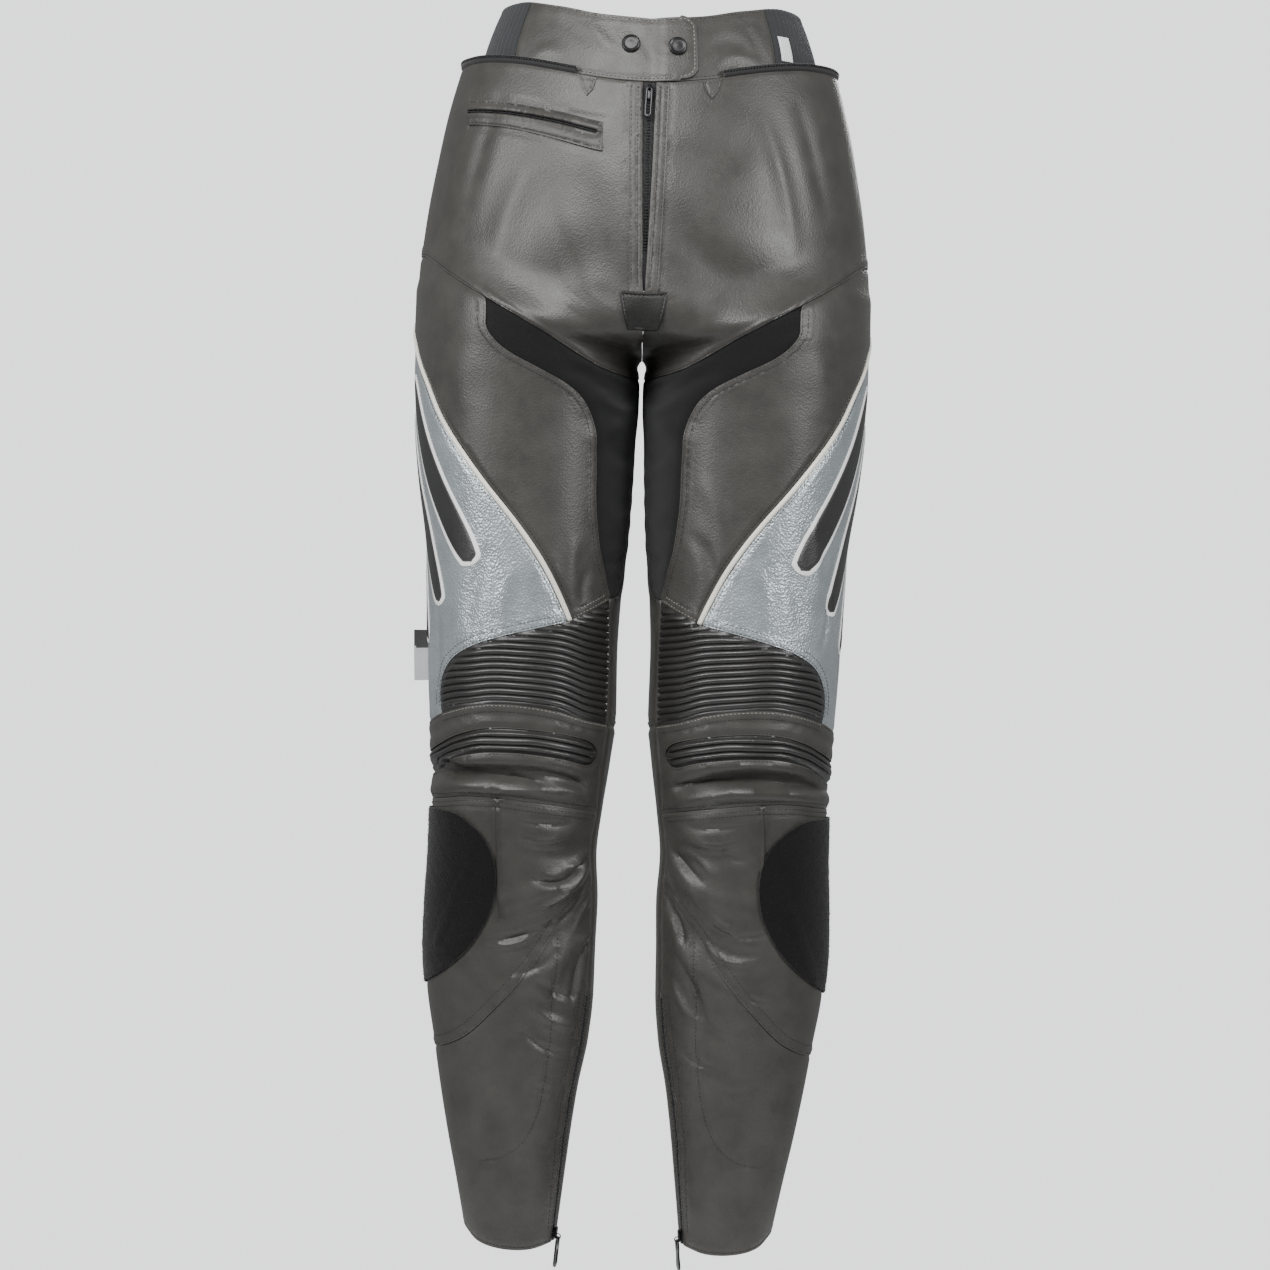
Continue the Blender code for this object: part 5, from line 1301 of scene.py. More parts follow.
# The loop side of hook and loop tape, brushed black nylon.
HOOK = Finish("brushed_loop_tape_black", "hook_tape", "0d0d0d", rough=0.95, grain=1.4,
              grain_height=1.2, mottle=0.35, sheen=0.12, specular=0.15)
# Woven polyester zip tape, dyed black.
TAPE = Finish("woven_zip_tape_black", "zip_tape", "1f1f20", rough=0.75, grain=0.8,
              grain_height=0.5, mottle=0.15, sheen=0.15, specular=0.3, lines=110.0)
# Zinc castings and stamped brass, black lacquered.
METAL = Finish("black_lacquered_zinc", "zip_metal", "19191b", wear="6a6a6c", rough=0.3,
               metallic=0.85, grain=2.4, grain_height=0.05, mottle=0.1, coat=0.3)
SNAP = Finish("black_lacquered_brass", "snap_metal", "161617", rough=0.42,
              metallic=0.35, grain=2.4, grain_height=0.05, mottle=0.1, coat=0.2)
# Folded satin tape, undyed.
SATIN = Finish("woven_satin_tape_white", "label_fabric", "d9dadb", rough=0.5, grain=0.8,
               grain_height=0.2, mottle=0.04, sheen=0.3, lines=140.0)
GREY_SATIN = Finish("woven_satin_tape_grey", "label_fabric", "a5a7a8", rough=0.55, grain=0.8,
                    grain_height=0.2, mottle=0.05, sheen=0.3, lines=140.0)
BLACK_SATIN = Finish("woven_satin_tape_black", "label_fabric", "1d1d1e", rough=0.6, grain=0.8,
                     grain_height=0.2, mottle=0.08, sheen=0.2, lines=140.0)
# Polyester mesh lining, dyed black.
LINING = Finish("polyester_mesh_lining_black", "stretch_fabric", "202021", rough=0.85, grain=1.6,
                grain_height=0.8, mottle=0.1, sheen=0.1, specular=0.3)
# Bonded polyester thread.
DARK_THREAD = Finish("bonded_thread_dark_grey", "leather", "131312", rough=0.6, grain=0.6,
                     grain_height=0.3, mottle=0.2)
LIGHT_THREAD = Finish("bonded_thread_grey", "leather", "8a877f", rough=0.5, grain=0.6,
                      grain_height=0.3, mottle=0.15)
# Black and white leather applied to the side panels.
INK_BLACK = Finish("appliqued_leather_black", "leather", "262626", rough=0.42, grain=1.5,
                   grain_height=0.5, mottle=0.15, crinkle=0.3, worn=0.3, wear="777777")
INK_WHITE = Finish("appliqued_leather_white", "piping_leather", "e4e4e2", rough=0.42, grain=1.3,
                   grain_height=0.3, mottle=0.04, crinkle=0.2)


class Repeats:
    """Geometry Nodes trees for stitches, zip teeth and fibres."""

    def __init__(self) -> None:
        """Build the trees."""
        self.along = self.along_tree()
        self.fibre = self.fibre_tree()

    @staticmethod
    def new_tree(name: str, sockets: Sequence[tuple[str, str]]) -> bpy.types.NodeTree:
        """An empty tree with named inputs and one geometry output.

        Args:
            name: The name.
            sockets: Name and type of each input.

        Returns:
            The tree.
        """
        tree = bpy.data.node_groups.new(name, "GeometryNodeTree")
        tree.interface.new_socket("Geometry", in_out="INPUT", socket_type="NodeSocketGeometry")
        for label, kind in sockets:
            tree.interface.new_socket(label, in_out="INPUT", socket_type=kind)
        tree.interface.new_socket("Geometry", in_out="OUTPUT", socket_type="NodeSocketGeometry")
        return tree

    @staticmethod
    def finish_tree(tree: bpy.types.NodeTree, geometry: bpy.types.NodeSocket,
                    material: bpy.types.NodeSocket) -> None:
        """Make the instances real and give them their material.

        Args:
            tree: The tree.
            geometry: The instances.
            material: The material.
        """
        real = add_node(tree, "GeometryNodeRealizeInstances", {}, {"Geometry": geometry})
        dressed = add_node(tree, "GeometryNodeSetMaterial", {},
                           {"Geometry": real.outputs[0], "Material": material})
        shaded = add_node(tree, "GeometryNodeSetShadeSmooth", {}, {0: dressed.outputs[0]})
        add_node(tree, "NodeGroupOutput", {}, {"Geometry": shaded.outputs[0]})

    def along_tree(self) -> bpy.types.NodeTree:
        """Small shapes at an even pitch along lines, turned to the line and to the cloth.

        Returns:
            The tree.
        """
        tree = self.new_tree("shapes_along_lines", (
            ("Pitch", "NodeSocketFloat"), ("Size", "NodeSocketVector"),
            ("Blocks", "NodeSocketBool"), ("Unevenness", "NodeSocketFloat"),
            ("Seed", "NodeSocketInt"), ("Material", "NodeSocketMaterial")))
        given = add_node(tree, "NodeGroupInput").outputs
        curve = add_node(tree, "GeometryNodeMeshToCurve", {}, {0: given["Geometry"]})
        spaced = add_node(tree, "GeometryNodeResampleCurve", {"mode": "LENGTH"},
                          {"Curve": curve.outputs[0], "Length": given["Pitch"]})
        tangent = add_node(tree, "GeometryNodeInputTangent").outputs[0]
        out = add_node(tree, "GeometryNodeInputNamedAttribute",
                       {"data_type": "FLOAT_VECTOR", "Name": "out"}).outputs[0]
        first = add_node(tree, "FunctionNodeAlignRotationToVector", {"axis": "Z"},
                         {"Vector": out})
        second = add_node(tree, "FunctionNodeAlignRotationToVector",
                          {"axis": "X", "pivot_axis": "Z"},
                          {"Rotation": first.outputs[0], "Vector": tangent})
        ball = add_node(tree, "GeometryNodeMeshUVSphere",
                        {"Segments": 6, "Rings": 4, "Radius": 0.5})
        block = add_node(tree, "GeometryNodeMeshCube")
        block.inputs["Size"].default_value = (1, 1, 1)
        shape = add_node(tree, "GeometryNodeSwitch", {"input_type": "GEOMETRY"},
                         {"Switch": given["Blocks"], "False": ball.outputs[0],
                          "True": block.outputs[0]})
        low = add_node(tree, "ShaderNodeMath", {"operation": "SUBTRACT", 0: 1.0},
                       {1: given["Unevenness"]})
        high = add_node(tree, "ShaderNodeMath", {"operation": "ADD", 0: 1.0},
                        {1: given["Unevenness"]})
        chance = add_node(tree, "FunctionNodeRandomValue", {"data_type": "FLOAT"},
                          {2: low.outputs[0], 3: high.outputs[0], "Seed": given["Seed"]})
        size = add_node(tree, "ShaderNodeVectorMath", {"operation": "SCALE"},
                        {0: given["Size"], "Scale": chance.outputs[1]})
        copies = add_node(tree, "GeometryNodeInstanceOnPoints", {},
                          {"Points": spaced.outputs[0], "Instance": shape.outputs[0],
                           "Rotation": second.outputs[0], "Scale": size.outputs[0]})
        self.finish_tree(tree, copies.outputs[0], given["Material"])
        return tree

    def fibre_tree(self) -> bpy.types.NodeTree:
        """Short tangled fibres on a face.

        Returns:
            The tree.
        """
        tree = self.new_tree("fibres_on_faces", (
            ("Density", "NodeSocketFloat"), ("Length", "NodeSocketFloat"),
            ("Seed", "NodeSocketInt"), ("Material", "NodeSocketMaterial")))
        given = add_node(tree, "NodeGroupInput").outputs
        spots = add_node(tree, "GeometryNodeDistributePointsOnFaces", {},
                         {"Mesh": given["Geometry"], "Density": given["Density"],
                          "Seed": given["Seed"]})
        fibre = add_node(tree, "GeometryNodeMeshCone",
                         {"fill_type": "NONE", "Vertices": 3, "Radius Top": 0.00002,
                          "Radius Bottom": 0.00013},
                         {"Depth": given["Length"]})
        lean = add_node(tree, "FunctionNodeRandomValue", {"data_type": "FLOAT_VECTOR"},
                        {"Seed": given["Seed"]})
        lean.inputs[0].default_value = (-1.1, -1.1, -3.1)
        lean.inputs[1].default_value = (1.1, 1.1, 3.1)
        turned = add_node(tree, "FunctionNodeRotateEuler", {"space": "LOCAL"},
                          {"Rotation": spots.outputs["Rotation"], "Rotate By": lean.outputs[0]})
        copies = add_node(tree, "GeometryNodeInstanceOnPoints", {},
                          {"Points": spots.outputs[0], "Instance": fibre.outputs[0],
                           "Rotation": turned.outputs[0]})
        self.finish_tree(tree, copies.outputs[0], given["Material"])
        return tree

    @staticmethod
    def run(tree: bpy.types.NodeTree, source: bpy.types.Object, name: str,
            values: dict) -> bpy.types.Object:
        """Run a tree once on an object and keep the result as a plain mesh.

        Args:
            tree: The tree.
            source: The object that it reads; it is removed afterwards.
            name: Name of the new object.
            values: The tree's inputs by name.

        Returns:
            The new object.
        """
        modifier = source.modifiers.new(name, "NODES")
        modifier.node_group = tree
        for item in tree.interface.items_tree:
            if item.in_out == "INPUT" and item.name in values:
                modifier[item.identifier] = values[item.name]
        source.update_tag()
        graph = bpy.context.evaluated_depsgraph_get()
        mesh = bpy.data.meshes.new_from_object(source.evaluated_get(graph))
        mesh.name = name
        bpy.data.objects.remove(source, do_unlink=True)
        obj = bpy.data.objects.new(name, mesh)
        bpy.context.scene.collection.objects.link(obj)
        return obj


REPEATS = Repeats()


def polyline_object(lines: Sequence[tuple[Array, Array]]) -> bpy.types.Object:
    """An object of loose edges from lines of points and their outward directions.

    Args:
        lines: The lines.

    Returns:
        The object.
    """
    points = np.vstack([line for line, _ in lines])
    outs = np.vstack([out for _, out in lines])
    edges = []
    start = 0
    for line, _ in lines:
        edges += [(start + i, start + i + 1) for i in range(len(line) - 1)]
        start += len(line)
    mesh = bpy.data.meshes.new("lines")
    mesh.from_pydata([tuple(p) for p in points], edges, [])
    out = mesh.attributes.new("out", "FLOAT_VECTOR", "POINT")
    out.data.foreach_set("vector", outs.astype(np.float32).ravel())
    obj = bpy.data.objects.new("lines", mesh)
    bpy.context.scene.collection.objects.link(obj)
    return obj


def surface_line(surface: Surface, flat: Array, lift: Array | float) -> tuple[Array, Array]:
    """World points and outward directions of a flat line at a height.

    Args:
        surface: The surface.
        flat: Flat points.
        lift: Height over the plain surface.

    Returns:
        Points and directions.
    """
    around, down = surface.from_flat(flat)
    outs = surface.normal(around, down) * [surface.side, 1, 1]
    return surface.place(flat, np.asarray(lift, float)), outs


def dress(obj: bpy.types.Object, nodes: Sequence[str] = (),
          body: str = "root") -> bpy.types.Object:
    """Tie a finished piece to the nodes it stands for and its body.

    Args:
        obj: The object.
        nodes: Names of the nodes.
        body: The body it rides on.

    Returns:
        The same object.
    """
    if nodes:
        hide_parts(*nodes)
    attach(obj, body)
    return obj


@dataclass
class Sewing:
    """Rows of stitches of one thread, gathered and then made as one piece.

    Args:
        name: Name of the piece.
        thread: The thread.
        pitch: Length from stitch to stitch.
        size: Length and thickness of one stitch.
        seed: Seed of the stitches' unevenness.
        lines: World points and outward directions of rows that lie on no panel.
        rows: Panels and the flat rows that are sewn on them.
    """

    name: str
    thread: Finish
    pitch: float = 3.5
    size: tuple[float, float] = (2.7, 0.62)
    seed: int = 1
    lines: list[tuple[Array, Array]] = field(default_factory=list)
    rows: list[tuple[Panel, Array]] = field(default_factory=list)

    def add(self, panel: Panel, flat: Array) -> None:
        """Sew a row on a panel, and pull the panel in beneath it.

        Args:
            panel: The panel.
            flat: The row as flat points.
        """
        if len(flat) < 3:
            return
        panel.grooves.append((flat, STITCH_PULL))
        self.rows.append((panel, flat))

    def add_insets(self, panel: Panel, *rows: tuple) -> None:
        """Sew rows beside a panel's edges, each given as inset() takes it."""
        for row in rows:
            self.add(panel, panel.inset(*row))

    def build(self) -> bpy.types.Object | None:
        """Make every stitch of this thread.

        Returns:
            The pieces made.
        """
        for panel, flat in self.rows:
            fine = curve_through(flat, 2.0)
            self.lines.append(surface_line(panel.surface, fine,
                                           panel.outer_lift(fine) + STITCH_LIFT))
        if not self.lines:
            return None
        length, thick = self.size
        obj = REPEATS.run(REPEATS.along, polyline_object(self.lines), self.name, {
            "Pitch": self.pitch * MM, "Size": (length * MM, thick * MM, thick * 0.85 * MM),
            "Blocks": False, "Unevenness": 0.12, "Seed": self.seed,
            "Material": self.thread.made()})
        obj.data.materials.clear()
        obj.data.materials.append(self.thread.made())
        dress(obj)
        log.info("%s: %d faces", self.name, len(obj.data.polygons))
        return obj


@dataclass
class Teeth:
    """Two rows of zip teeth along lines on a surface."""

    name: str
    finish: Finish = METAL
    pitch: float = 2.6
    size: tuple[float, float, float] = (1.3, 2.6, 0.9)

    def build(self, lines: Sequence[tuple[Array, Array]]) -> bpy.types.Object:
        """Make the teeth.

        Args:
            lines: The lines.

        Returns:
            The pieces made.
        """
        obj = REPEATS.run(REPEATS.along, polyline_object(lines), self.name, {
            "Pitch": self.pitch * MM, "Size": tuple(s * MM for s in self.size), "Blocks": True,
            "Unevenness": 0.03, "Seed": 4, "Material": self.finish.made()})
        obj.data.materials.clear()
        obj.data.materials.append(self.finish.made())
        return dress(obj)


def seam(leg: Leg, name: str, turn: int = 0) -> Array:
    """A named seam of a leg as a fine flat line.

    Args:
        leg: The leg.
        name: The name.
        turn: Whole turns added, 1 for the far side of the inseam.

    Returns:
        The flat points.
    """
    line = curve_through(leg.to_flat(np.array(SEAMS[name], float)), LINE_STEP)
    if not turn:
        return line
    around, down = leg.from_flat(line)
    return leg.to_flat(np.column_stack([around + turn, down]))


def fly_half_gap(down: float) -> float:
    """Half the gap between the fronts at a depth."""
    rows = np.array(FLY_GAP[::-1], float)
    return 0.0 if down < FLY_END else float(np.interp(down, rows[:, 0], rows[:, 1]))


def centre_line(leg: Leg, back: bool) -> Array:
    """The edge at the middle plane from the waist to the crotch.

    Args:
        leg: The leg.
        back: Whether it is the back edge.

    Returns:
        The flat points.
    """
    marks = [-7.0 * i for i in range(21)] + [-148, -153, -158, -163, -167, -171, -175, -178, -181,
                                             -184, -187, -190, -193, -196, -199, -202, -205,
                                             -207.5, -210, -212, -213.5]
    spots = [(leg.turn_at(0.0 if back else fly_half_gap(d), d, back), d) for d in marks]
    spots.append((1.0 if back else 0.0, -215))
    return leg.to_flat(np.array(spots))


def piping_edges(leg: Leg) -> tuple[Array, Array, Array]:
    """The middle and the two long edges of the piping."""
    middle = curve_through(leg.to_flat(np.array(PIPING_LINE)), LINE_STEP)
    return middle, sideways(middle, -PIPING_WIDTH / 2), sideways(middle, PIPING_WIDTH / 2)


def straight_area(leg: Leg, spots: Sequence[tuple[float, float]], step: float = 3.0) -> Array:
    """A closed area on the front from corners in (across, down), with straight edges.

    Args:
        leg: The leg.
        spots: Corners in (across, down).
        step: Length of one step.

    Returns:
        The closed flat outline.
    """
    corners = [leg.spot(across, down) for across, down in spots]
    return loop_of([curve_through(np.array([a, b]), step)
                    for a, b in zip(corners, corners[1:] + corners[:1])])


def trim(name: str, surface: Surface, loop: Array, base: float, wall: float, grid: float = 2.4,
         relief: Callable | None = None, rows: Sequence[Array] = ()) -> Panel:
    """A thin piece laid on a panel."""
    return Panel(name, surface, [np.vstack([loop, loop[:1]])], [Edge.TRIM], grid=grid, base=base,
                 wall=wall, gap=0.0, relief=relief, rows=rows)


@dataclass
class Assembly:
    """Part of the garment on one leg, with its sewing."""

    leg: Leg
    light: Sewing
    dark: Sewing

    @property
    def prefix(self) -> str:
        """The start of the names of this leg's nodes."""
        return self.leg.word + "_"

    def finish(self, panel: Panel, outside: Finish, above: Sequence[str] = (),
               lining: Finish | None = LINING, node: str | None = None,
               with_pieces: Sequence = ()) -> bpy.types.Object:
        """Args:
            panel: The panel.
            outside: Finish of the outer face.
            above: Nodes that it hangs from.
            lining: Finish of the inner face.
            node: Name of the node, or of a piece that has none.
            with_pieces: Pieces that move with it.

        Returns:
            The panel's object.
        """
        obj = panel.build(outside, lining)
        dress(obj, [node or panel.name])
        rests = [name + "_look" for name in above] or [self.prefix + "hip_front_look"]
        panel.declare(obj, rests_on=rests, with_pieces=with_pieces)
        return obj


class HipsAndSeat(Assembly):
    """Front and seat of one half, from the waist to the hip seams."""

    def build(self) -> None:
        """Make the hip front, the seat and what is sewn on them."""
        leg, name = self.leg, self.prefix
        centre = centre_line(leg, back=False)
        start = leg.from_flat(centre[:1])[0][0]
        count = int((0.5 - start) * float(leg.girth(0.0)) / LINE_STEP)
        waist = leg.to_flat(np.array([(start + (0.5 - start) * i / count, 0.0)
                                      for i in range(count + 1)]))
        side = curve_through(leg.to_flat(np.array([(0.5, 0.0), (0.5, -80.0), (0.5, -160.0)])),
                             LINE_STEP)
        split = int(np.argmin(np.abs(centre[:, 1] - FLY_END))) + 1
        lines = chain(waist, centre[:split], centre[split - 1:], seam(leg, "crotch_inner"),
                      seam(leg, "hip_seam_inner"), seam(leg, "hip_seam_side"), side)
        front = Panel(name + "hip_front", leg, lines,
                      (Edge.FREE, Edge.FREE, Edge.FLAT, Edge.FLAT, Edge.OVER, Edge.OVER,
                       Edge.SUNK))
        self.dark.add_insets(front, (4, 2.0, 8), (5, 2.0, 3))
        extra = self.fly(front, centre)
        extra += [self.end_tab()]
        if leg.side < 0:
            extra += Pocket(leg, self.light, self.dark).build(front)
        self.finish(front, LEATHER, ["waistband_front_" + leg.word], with_pieces=extra)

        centre = centre_line(leg, back=True)
        start = leg.from_flat(centre[:1])[0][0]
        count = int((start - 0.5) * float(leg.girth(0.0)) / 4)
        waist = leg.to_flat(np.array([(0.5 + (start - 0.5) * i / count, 0.0)
                                      for i in range(count + 1)]))
        lines = chain(waist, centre, seam(leg, "crotch_inner", 1), seam(leg, "hip_seam_back"),
                      side)
        seat = Panel(name + "seat_back", leg, lines,
                     (Edge.FREE, Edge.FLAT, Edge.FLAT, Edge.OVER, Edge.OVER), grid=4.6)
        self.dark.add_insets(seat, (1, 2.5, 6), (3, 2.0, 6), (3, 7.0, 6), (4, 2.0, 6))
        self.finish(seat, LEATHER, ["waistband_back"])

    def fly(self, front: Panel, centre: Array) -> list[bpy.types.Object]:
        """The strip beside the fly.

        Args:
            front: The front panel or edge.
            centre: The edge at the middle plane; not used.

        Returns:
            The pieces made.
        """
        marks = np.linspace(-2, FLY_END - 3, 50)
        inner = [fly_half_gap(d) + FLY_STRIP_GAP for d in marks]
        near = np.array([self.leg.spot(x, d) for x, d in zip(inner, marks)])
        far = np.array([self.leg.spot(x + FLY_STRIP_WIDTH, d) for x, d in zip(inner, marks)])
        loop = np.vstack([near, far[::-1]])

        def relief(flat: Array) -> Array:
            """A rolled edge beside the teeth and a stitched line."""
            fold = line_distance(near, flat, 12)[0]
            return 0.5 * np.exp(-((fold - 1.6) / 1.2)**2) - 0.35 * np.exp(-((fold - 3.6) / 0.7)**2)

        strip = trim(self.prefix + "fly_strip", self.leg, loop, LAY_GAP, TRIM_WALL, relief=relief)
        for distance in (3.6, 8.9):
            line = np.array([self.leg.spot(x + distance, d) for x, d in zip(inner, marks)])
            self.dark.add(strip, line[1:-2])
        front.grooves.append((np.array([self.leg.spot(x + FLY_STRIP_WIDTH + 0.8, d)
                                        for x, d in zip(inner, marks)]), 0.5))
        obj = strip.build(STRIP)
        dress(obj, [strip.name])
        return [obj]

    def end_tab(self) -> bpy.types.Object:
        """The small pointed tab under the end of the joining zip.

        Returns:
            The tab.
        """
        loop = straight_area(self.leg, ZIP_END_TAB, 1.5)
        tab = trim(self.prefix + "zip_end_tab", self.leg, loop, LAY_GAP, TRIM_WALL, grid=1.6)
        around = curve_through(np.vstack([move_in(loop, 1.6), move_in(loop, 1.6)[:1]]), 1.5)
        self.dark.add(tab, around)
        return dress(tab.build(STRIP), [tab.name])


class Pocket(Assembly):
    """The zipped pocket on the wearer's right front."""

    def build(self, front: Panel) -> list[bpy.types.Object]:
        """Make the two welts and the closed zip between them.

        Args:
            front: The front panel or edge.

        Returns:
            The pieces made.
        """
        leg = self.leg
        top, slit, low = ([(-x, d) for x, d in spots]
                          for spots in (POCKET_TOP, POCKET_SLIT, POCKET_LOW))
        end = slit[-1][0] - 0.6
        upper = top + [(top[-1][0], slit[-1][1] + 0.15), (end, slit[-1][1] + 0.15)]
        upper += [(x, d + 1.3) for x, d in slit[::-1]]
        lower = low + [(low[-1][0], slit[-1][1] - 0.15), (end, slit[-1][1] - 0.15)]
        lower += [(x, d - 1.3) for x, d in slit[::-1]]
        middle = [(x, d + 1.6) for x, d in slit] + [(x, d - 1.6) for x, d in slit[::-1]]
        made = []
        lips = np.array([leg.spot(x, d) for x, d in slit])
        lips = curve_through(lips, 3.0)
        for label, spots, frame_row in (("upper", upper, top), ("lower", lower, low)):
            loop = straight_area(leg, spots)

            def relief(flat: Array) -> Array:
                """A rolled lip along the slit.

                Args:
                    flat: Flat points.

                Returns:
                    Height at each point.
                """
                away = line_distance(lips, flat, 20)[0]
                return 1.2 * np.exp(-((away - 2.8) / 1.8)**2) - 0.6 * np.exp(
                    -((away - 6.6) / 1.0)**2)

            welt = trim("pocket_welt_" + label, leg, loop, LAY_GAP, 1.3, relief=relief)
            step = -1.7 if label == "upper" else 1.7
            row = np.array([leg.spot(x + (1.7 if x == top[-1][0] else 0), d + step)
                            for x, d in frame_row])
            self.dark.add(welt, curve_through(row, 2.0))
            end_row = np.array([leg.spot(top[-1][0] + 1.7, slit[-1][1] + share * step * -4.2)
                                for share in (0.1, 0.5, 1.0)])
            self.dark.add(welt, curve_through(end_row, 2.0))
            made.append(dress(welt.build(STRIP), [welt.name]))
            outline = np.array([leg.spot(x, d - np.sign(step) * 1.2) for x, d in frame_row])
            front.grooves.append((curve_through(outline, 2.5), 0.9))
        tape = trim("pocket_zip", leg, straight_area(leg, middle), 0.1, 0.8, grid=1.4)
        made.append(dress(tape.build(TAPE), [tape.name]))
        line = curve_through(lips, 1.5)
        made.append(Teeth("pocket_zip_teeth", pitch=1.7, size=(1.0, 2.2, 0.6)).build(
            [surface_line(leg, line, 1.0 + leg.crease_height(line))]))
        return made


class Thigh(Assembly):
    """Stretch inner thigh, leather front and back, piping and side panel."""

    def build(self) -> None:
        """Make every piece of the thigh."""
        leg, name = self.leg, self.prefix
        _, front_edge, back_edge = piping_edges(leg)
        thigh_low = seam(leg, "thigh_low")
        thigh_low[-1] = front_edge[-1]
        side_low = seam(leg, "side_low")
        side_low[0] = back_edge[-1]
        side_seam = seam(leg, "side_seam")
        side_seam[-1] = front_edge[0]
        side_back = seam(leg, "side_back")
        side_back[-1] = back_edge[0]
        start_cap = np.array([front_edge[0], back_edge[0]])
        self.end_cap = np.array([front_edge[-1], back_edge[-1]])
        self.thigh_low, self.side_low = thigh_low, side_low

        def gathers(flat: Array) -> Array:
            """Slight ripples of the stretch cloth.

            Args:
                flat: Flat points.

            Returns:
                Height at each point.
            """
            x, y = flat[:, 0], flat[:, 1]
            wave = np.sin(y / 3.1 + 0.9 * np.sin(x / 17)) * np.sin(x / 26 + 0.8 * np.sin(y / 40))
            return 0.28 * wave

        stretch = Panel(name + "inner_thigh_stretch", leg,
                        chain(seam(leg, "hip_seam_inner"), seam(leg, "stretch_back"),
                              seam(leg, "stretch_front")), [Edge.UNDER] * 3, relief=gathers)
        self.finish(stretch, STRETCH, [name + "hip_front"])

        front = Panel(name + "thigh_front", leg,
                      chain(seam(leg, "hip_seam_side"), seam(leg, "stretch_front"), thigh_low,
                            front_edge, side_seam),
                      (Edge.UNDER, Edge.OVER, Edge.OVER, Edge.SUNK, Edge.SUNK))
        self.dark.add_insets(front, (1, 1.6, 3), (1, 6.6, 3))
        self.light.add_insets(front, (2, 1.6), (2, 5.8, 3))
        self.dark.add_insets(front, (3, 3.2, 6))
        self.finish(front, LEATHER, [name + "hip_front"])
        self.piping()

        side = Panel(name + "side_panel", leg,
                     chain(back_edge, side_low, seam(leg, "band_top_side"), side_back),
                     (Edge.SUNK, Edge.OVER, Edge.UNDER, Edge.SUNK))
        self.dark.add_insets(side, (0, 2.6, 6), (1, 1.6), (1, 6.4, 3))
        self.finish(side, PEARL, [name + "hip_front"],
                    with_pieces=SideArtwork(leg, self.light, self.dark).build())

        back = Panel(name + "thigh_back", leg,
                     chain(side_seam, start_cap, side_back, seam(leg, "knee_back"),
                           seam(leg, "inseam_knee", 1), seam(leg, "stretch_back", 1),
                           seam(leg, "hip_seam_back")),
                     (Edge.SUNK, Edge.SUNK, Edge.SUNK, Edge.SUNK, Edge.SUNK, Edge.OVER,
                      Edge.UNDER), grid=4.6)
        self.dark.add_insets(back, (3, 1.8, 6), (3, 7.0, 6), (5, 1.8, 6), (5, 6.6, 6))
        self.finish(back, LEATHER, [name + "seat_back"])

    def piping(self) -> None:
        """The cord-filled piping between thigh and side panel."""
        leg = self.leg
        middle = curve_through(leg.to_flat(np.array(PIPING_LINE)), 2.0)
        sides = 14
        rings = []
        for k in range(sides):
            turn = math.tau * k / sides
            flat = sideways(middle, 2.3 * math.cos(turn))
            lift = leg.crease_height(middle) - 0.45 + 1.75 * math.sin(turn)
            rings.append(leg.place(flat, lift))
        points = np.stack(rings, axis=1)
        faces = tube_faces(len(middle), sides)
        obj = new_object(self.prefix + "piping", points.reshape(-1, 3), faces)
        obj.data.materials.append(PIPING.made())
        dress(obj, [self.prefix + "piping"])


def tube_faces(rings: int, sides: int) -> list[tuple[int, ...]]:
    """Faces of a tube, closed at both ends.

    Args:
        rings: Number of rings.
        sides: Number of points in a ring.

    Returns:
        The faces.
    """
    faces = []
    for i in range(rings - 1):
        for k in range(sides):
            n = (k + 1) % sides
            faces.append((i * sides + k, i * sides + n, (i + 1) * sides + n, (i + 1) * sides + k))
    faces.append(tuple(range(sides))[::-1])
    faces.append(tuple((rings - 1) * sides + k for k in range(sides)))
    return faces


# Blades on the side panel: start, end, widest half width, all as (around, down).
BLADES = (
    ((0.462, -268), (0.330, -424), 15.0),
    ((0.500, -300), (0.405, -458), 12.0),
    ((0.540, -345), (0.470, -490), 9.0),
)


class SideArtwork(Assembly):
    """Plain tapered blades of black leather with white borders, laid beside the piping."""

    def build(self) -> list[bpy.types.Object]:
        """Make the blades of one leg.

        Returns:
            The pieces made.
        """
        made = []
        for number, (start, end, width) in enumerate(BLADES):
            ends = self.leg.to_flat(np.array([start, end]))
            along = ends[1] - ends[0]
            length = float(np.linalg.norm(along))
            along /= length
            across = np.array([-along[1], along[0]])
            share = np.linspace(0, 1, 60)[:, None]
            middle = ends[0] + along * share * length + across * 5 * np.sin(math.pi * share)
            for label, finish, grow, base, wall in (("border", INK_WHITE, 3.6, 0.1, 0.7),
                                                    ("centre", INK_BLACK, 0.0, 0.5, 0.75)):
                half = (width * share**0.55 * (1 - share)**0.28 * 1.45 + grow)
                reach = 0 if not grow else 2.5
                path = middle + along * (share - 0.5) * 2 * reach
                loop = np.vstack([path + across * half, (path - across * half)[::-1]])
                loop = curve_through(np.vstack([loop, loop[:1]]), 2.4)[:-1]
                name = f"{self.prefix}side_blade_{number + 1}_{label}"
                blade = trim(name, self.leg, loop, base, wall, grid=3.4)
                obj = dress(blade.build(finish))
                obj.name = name
                made.append(obj)
        return made


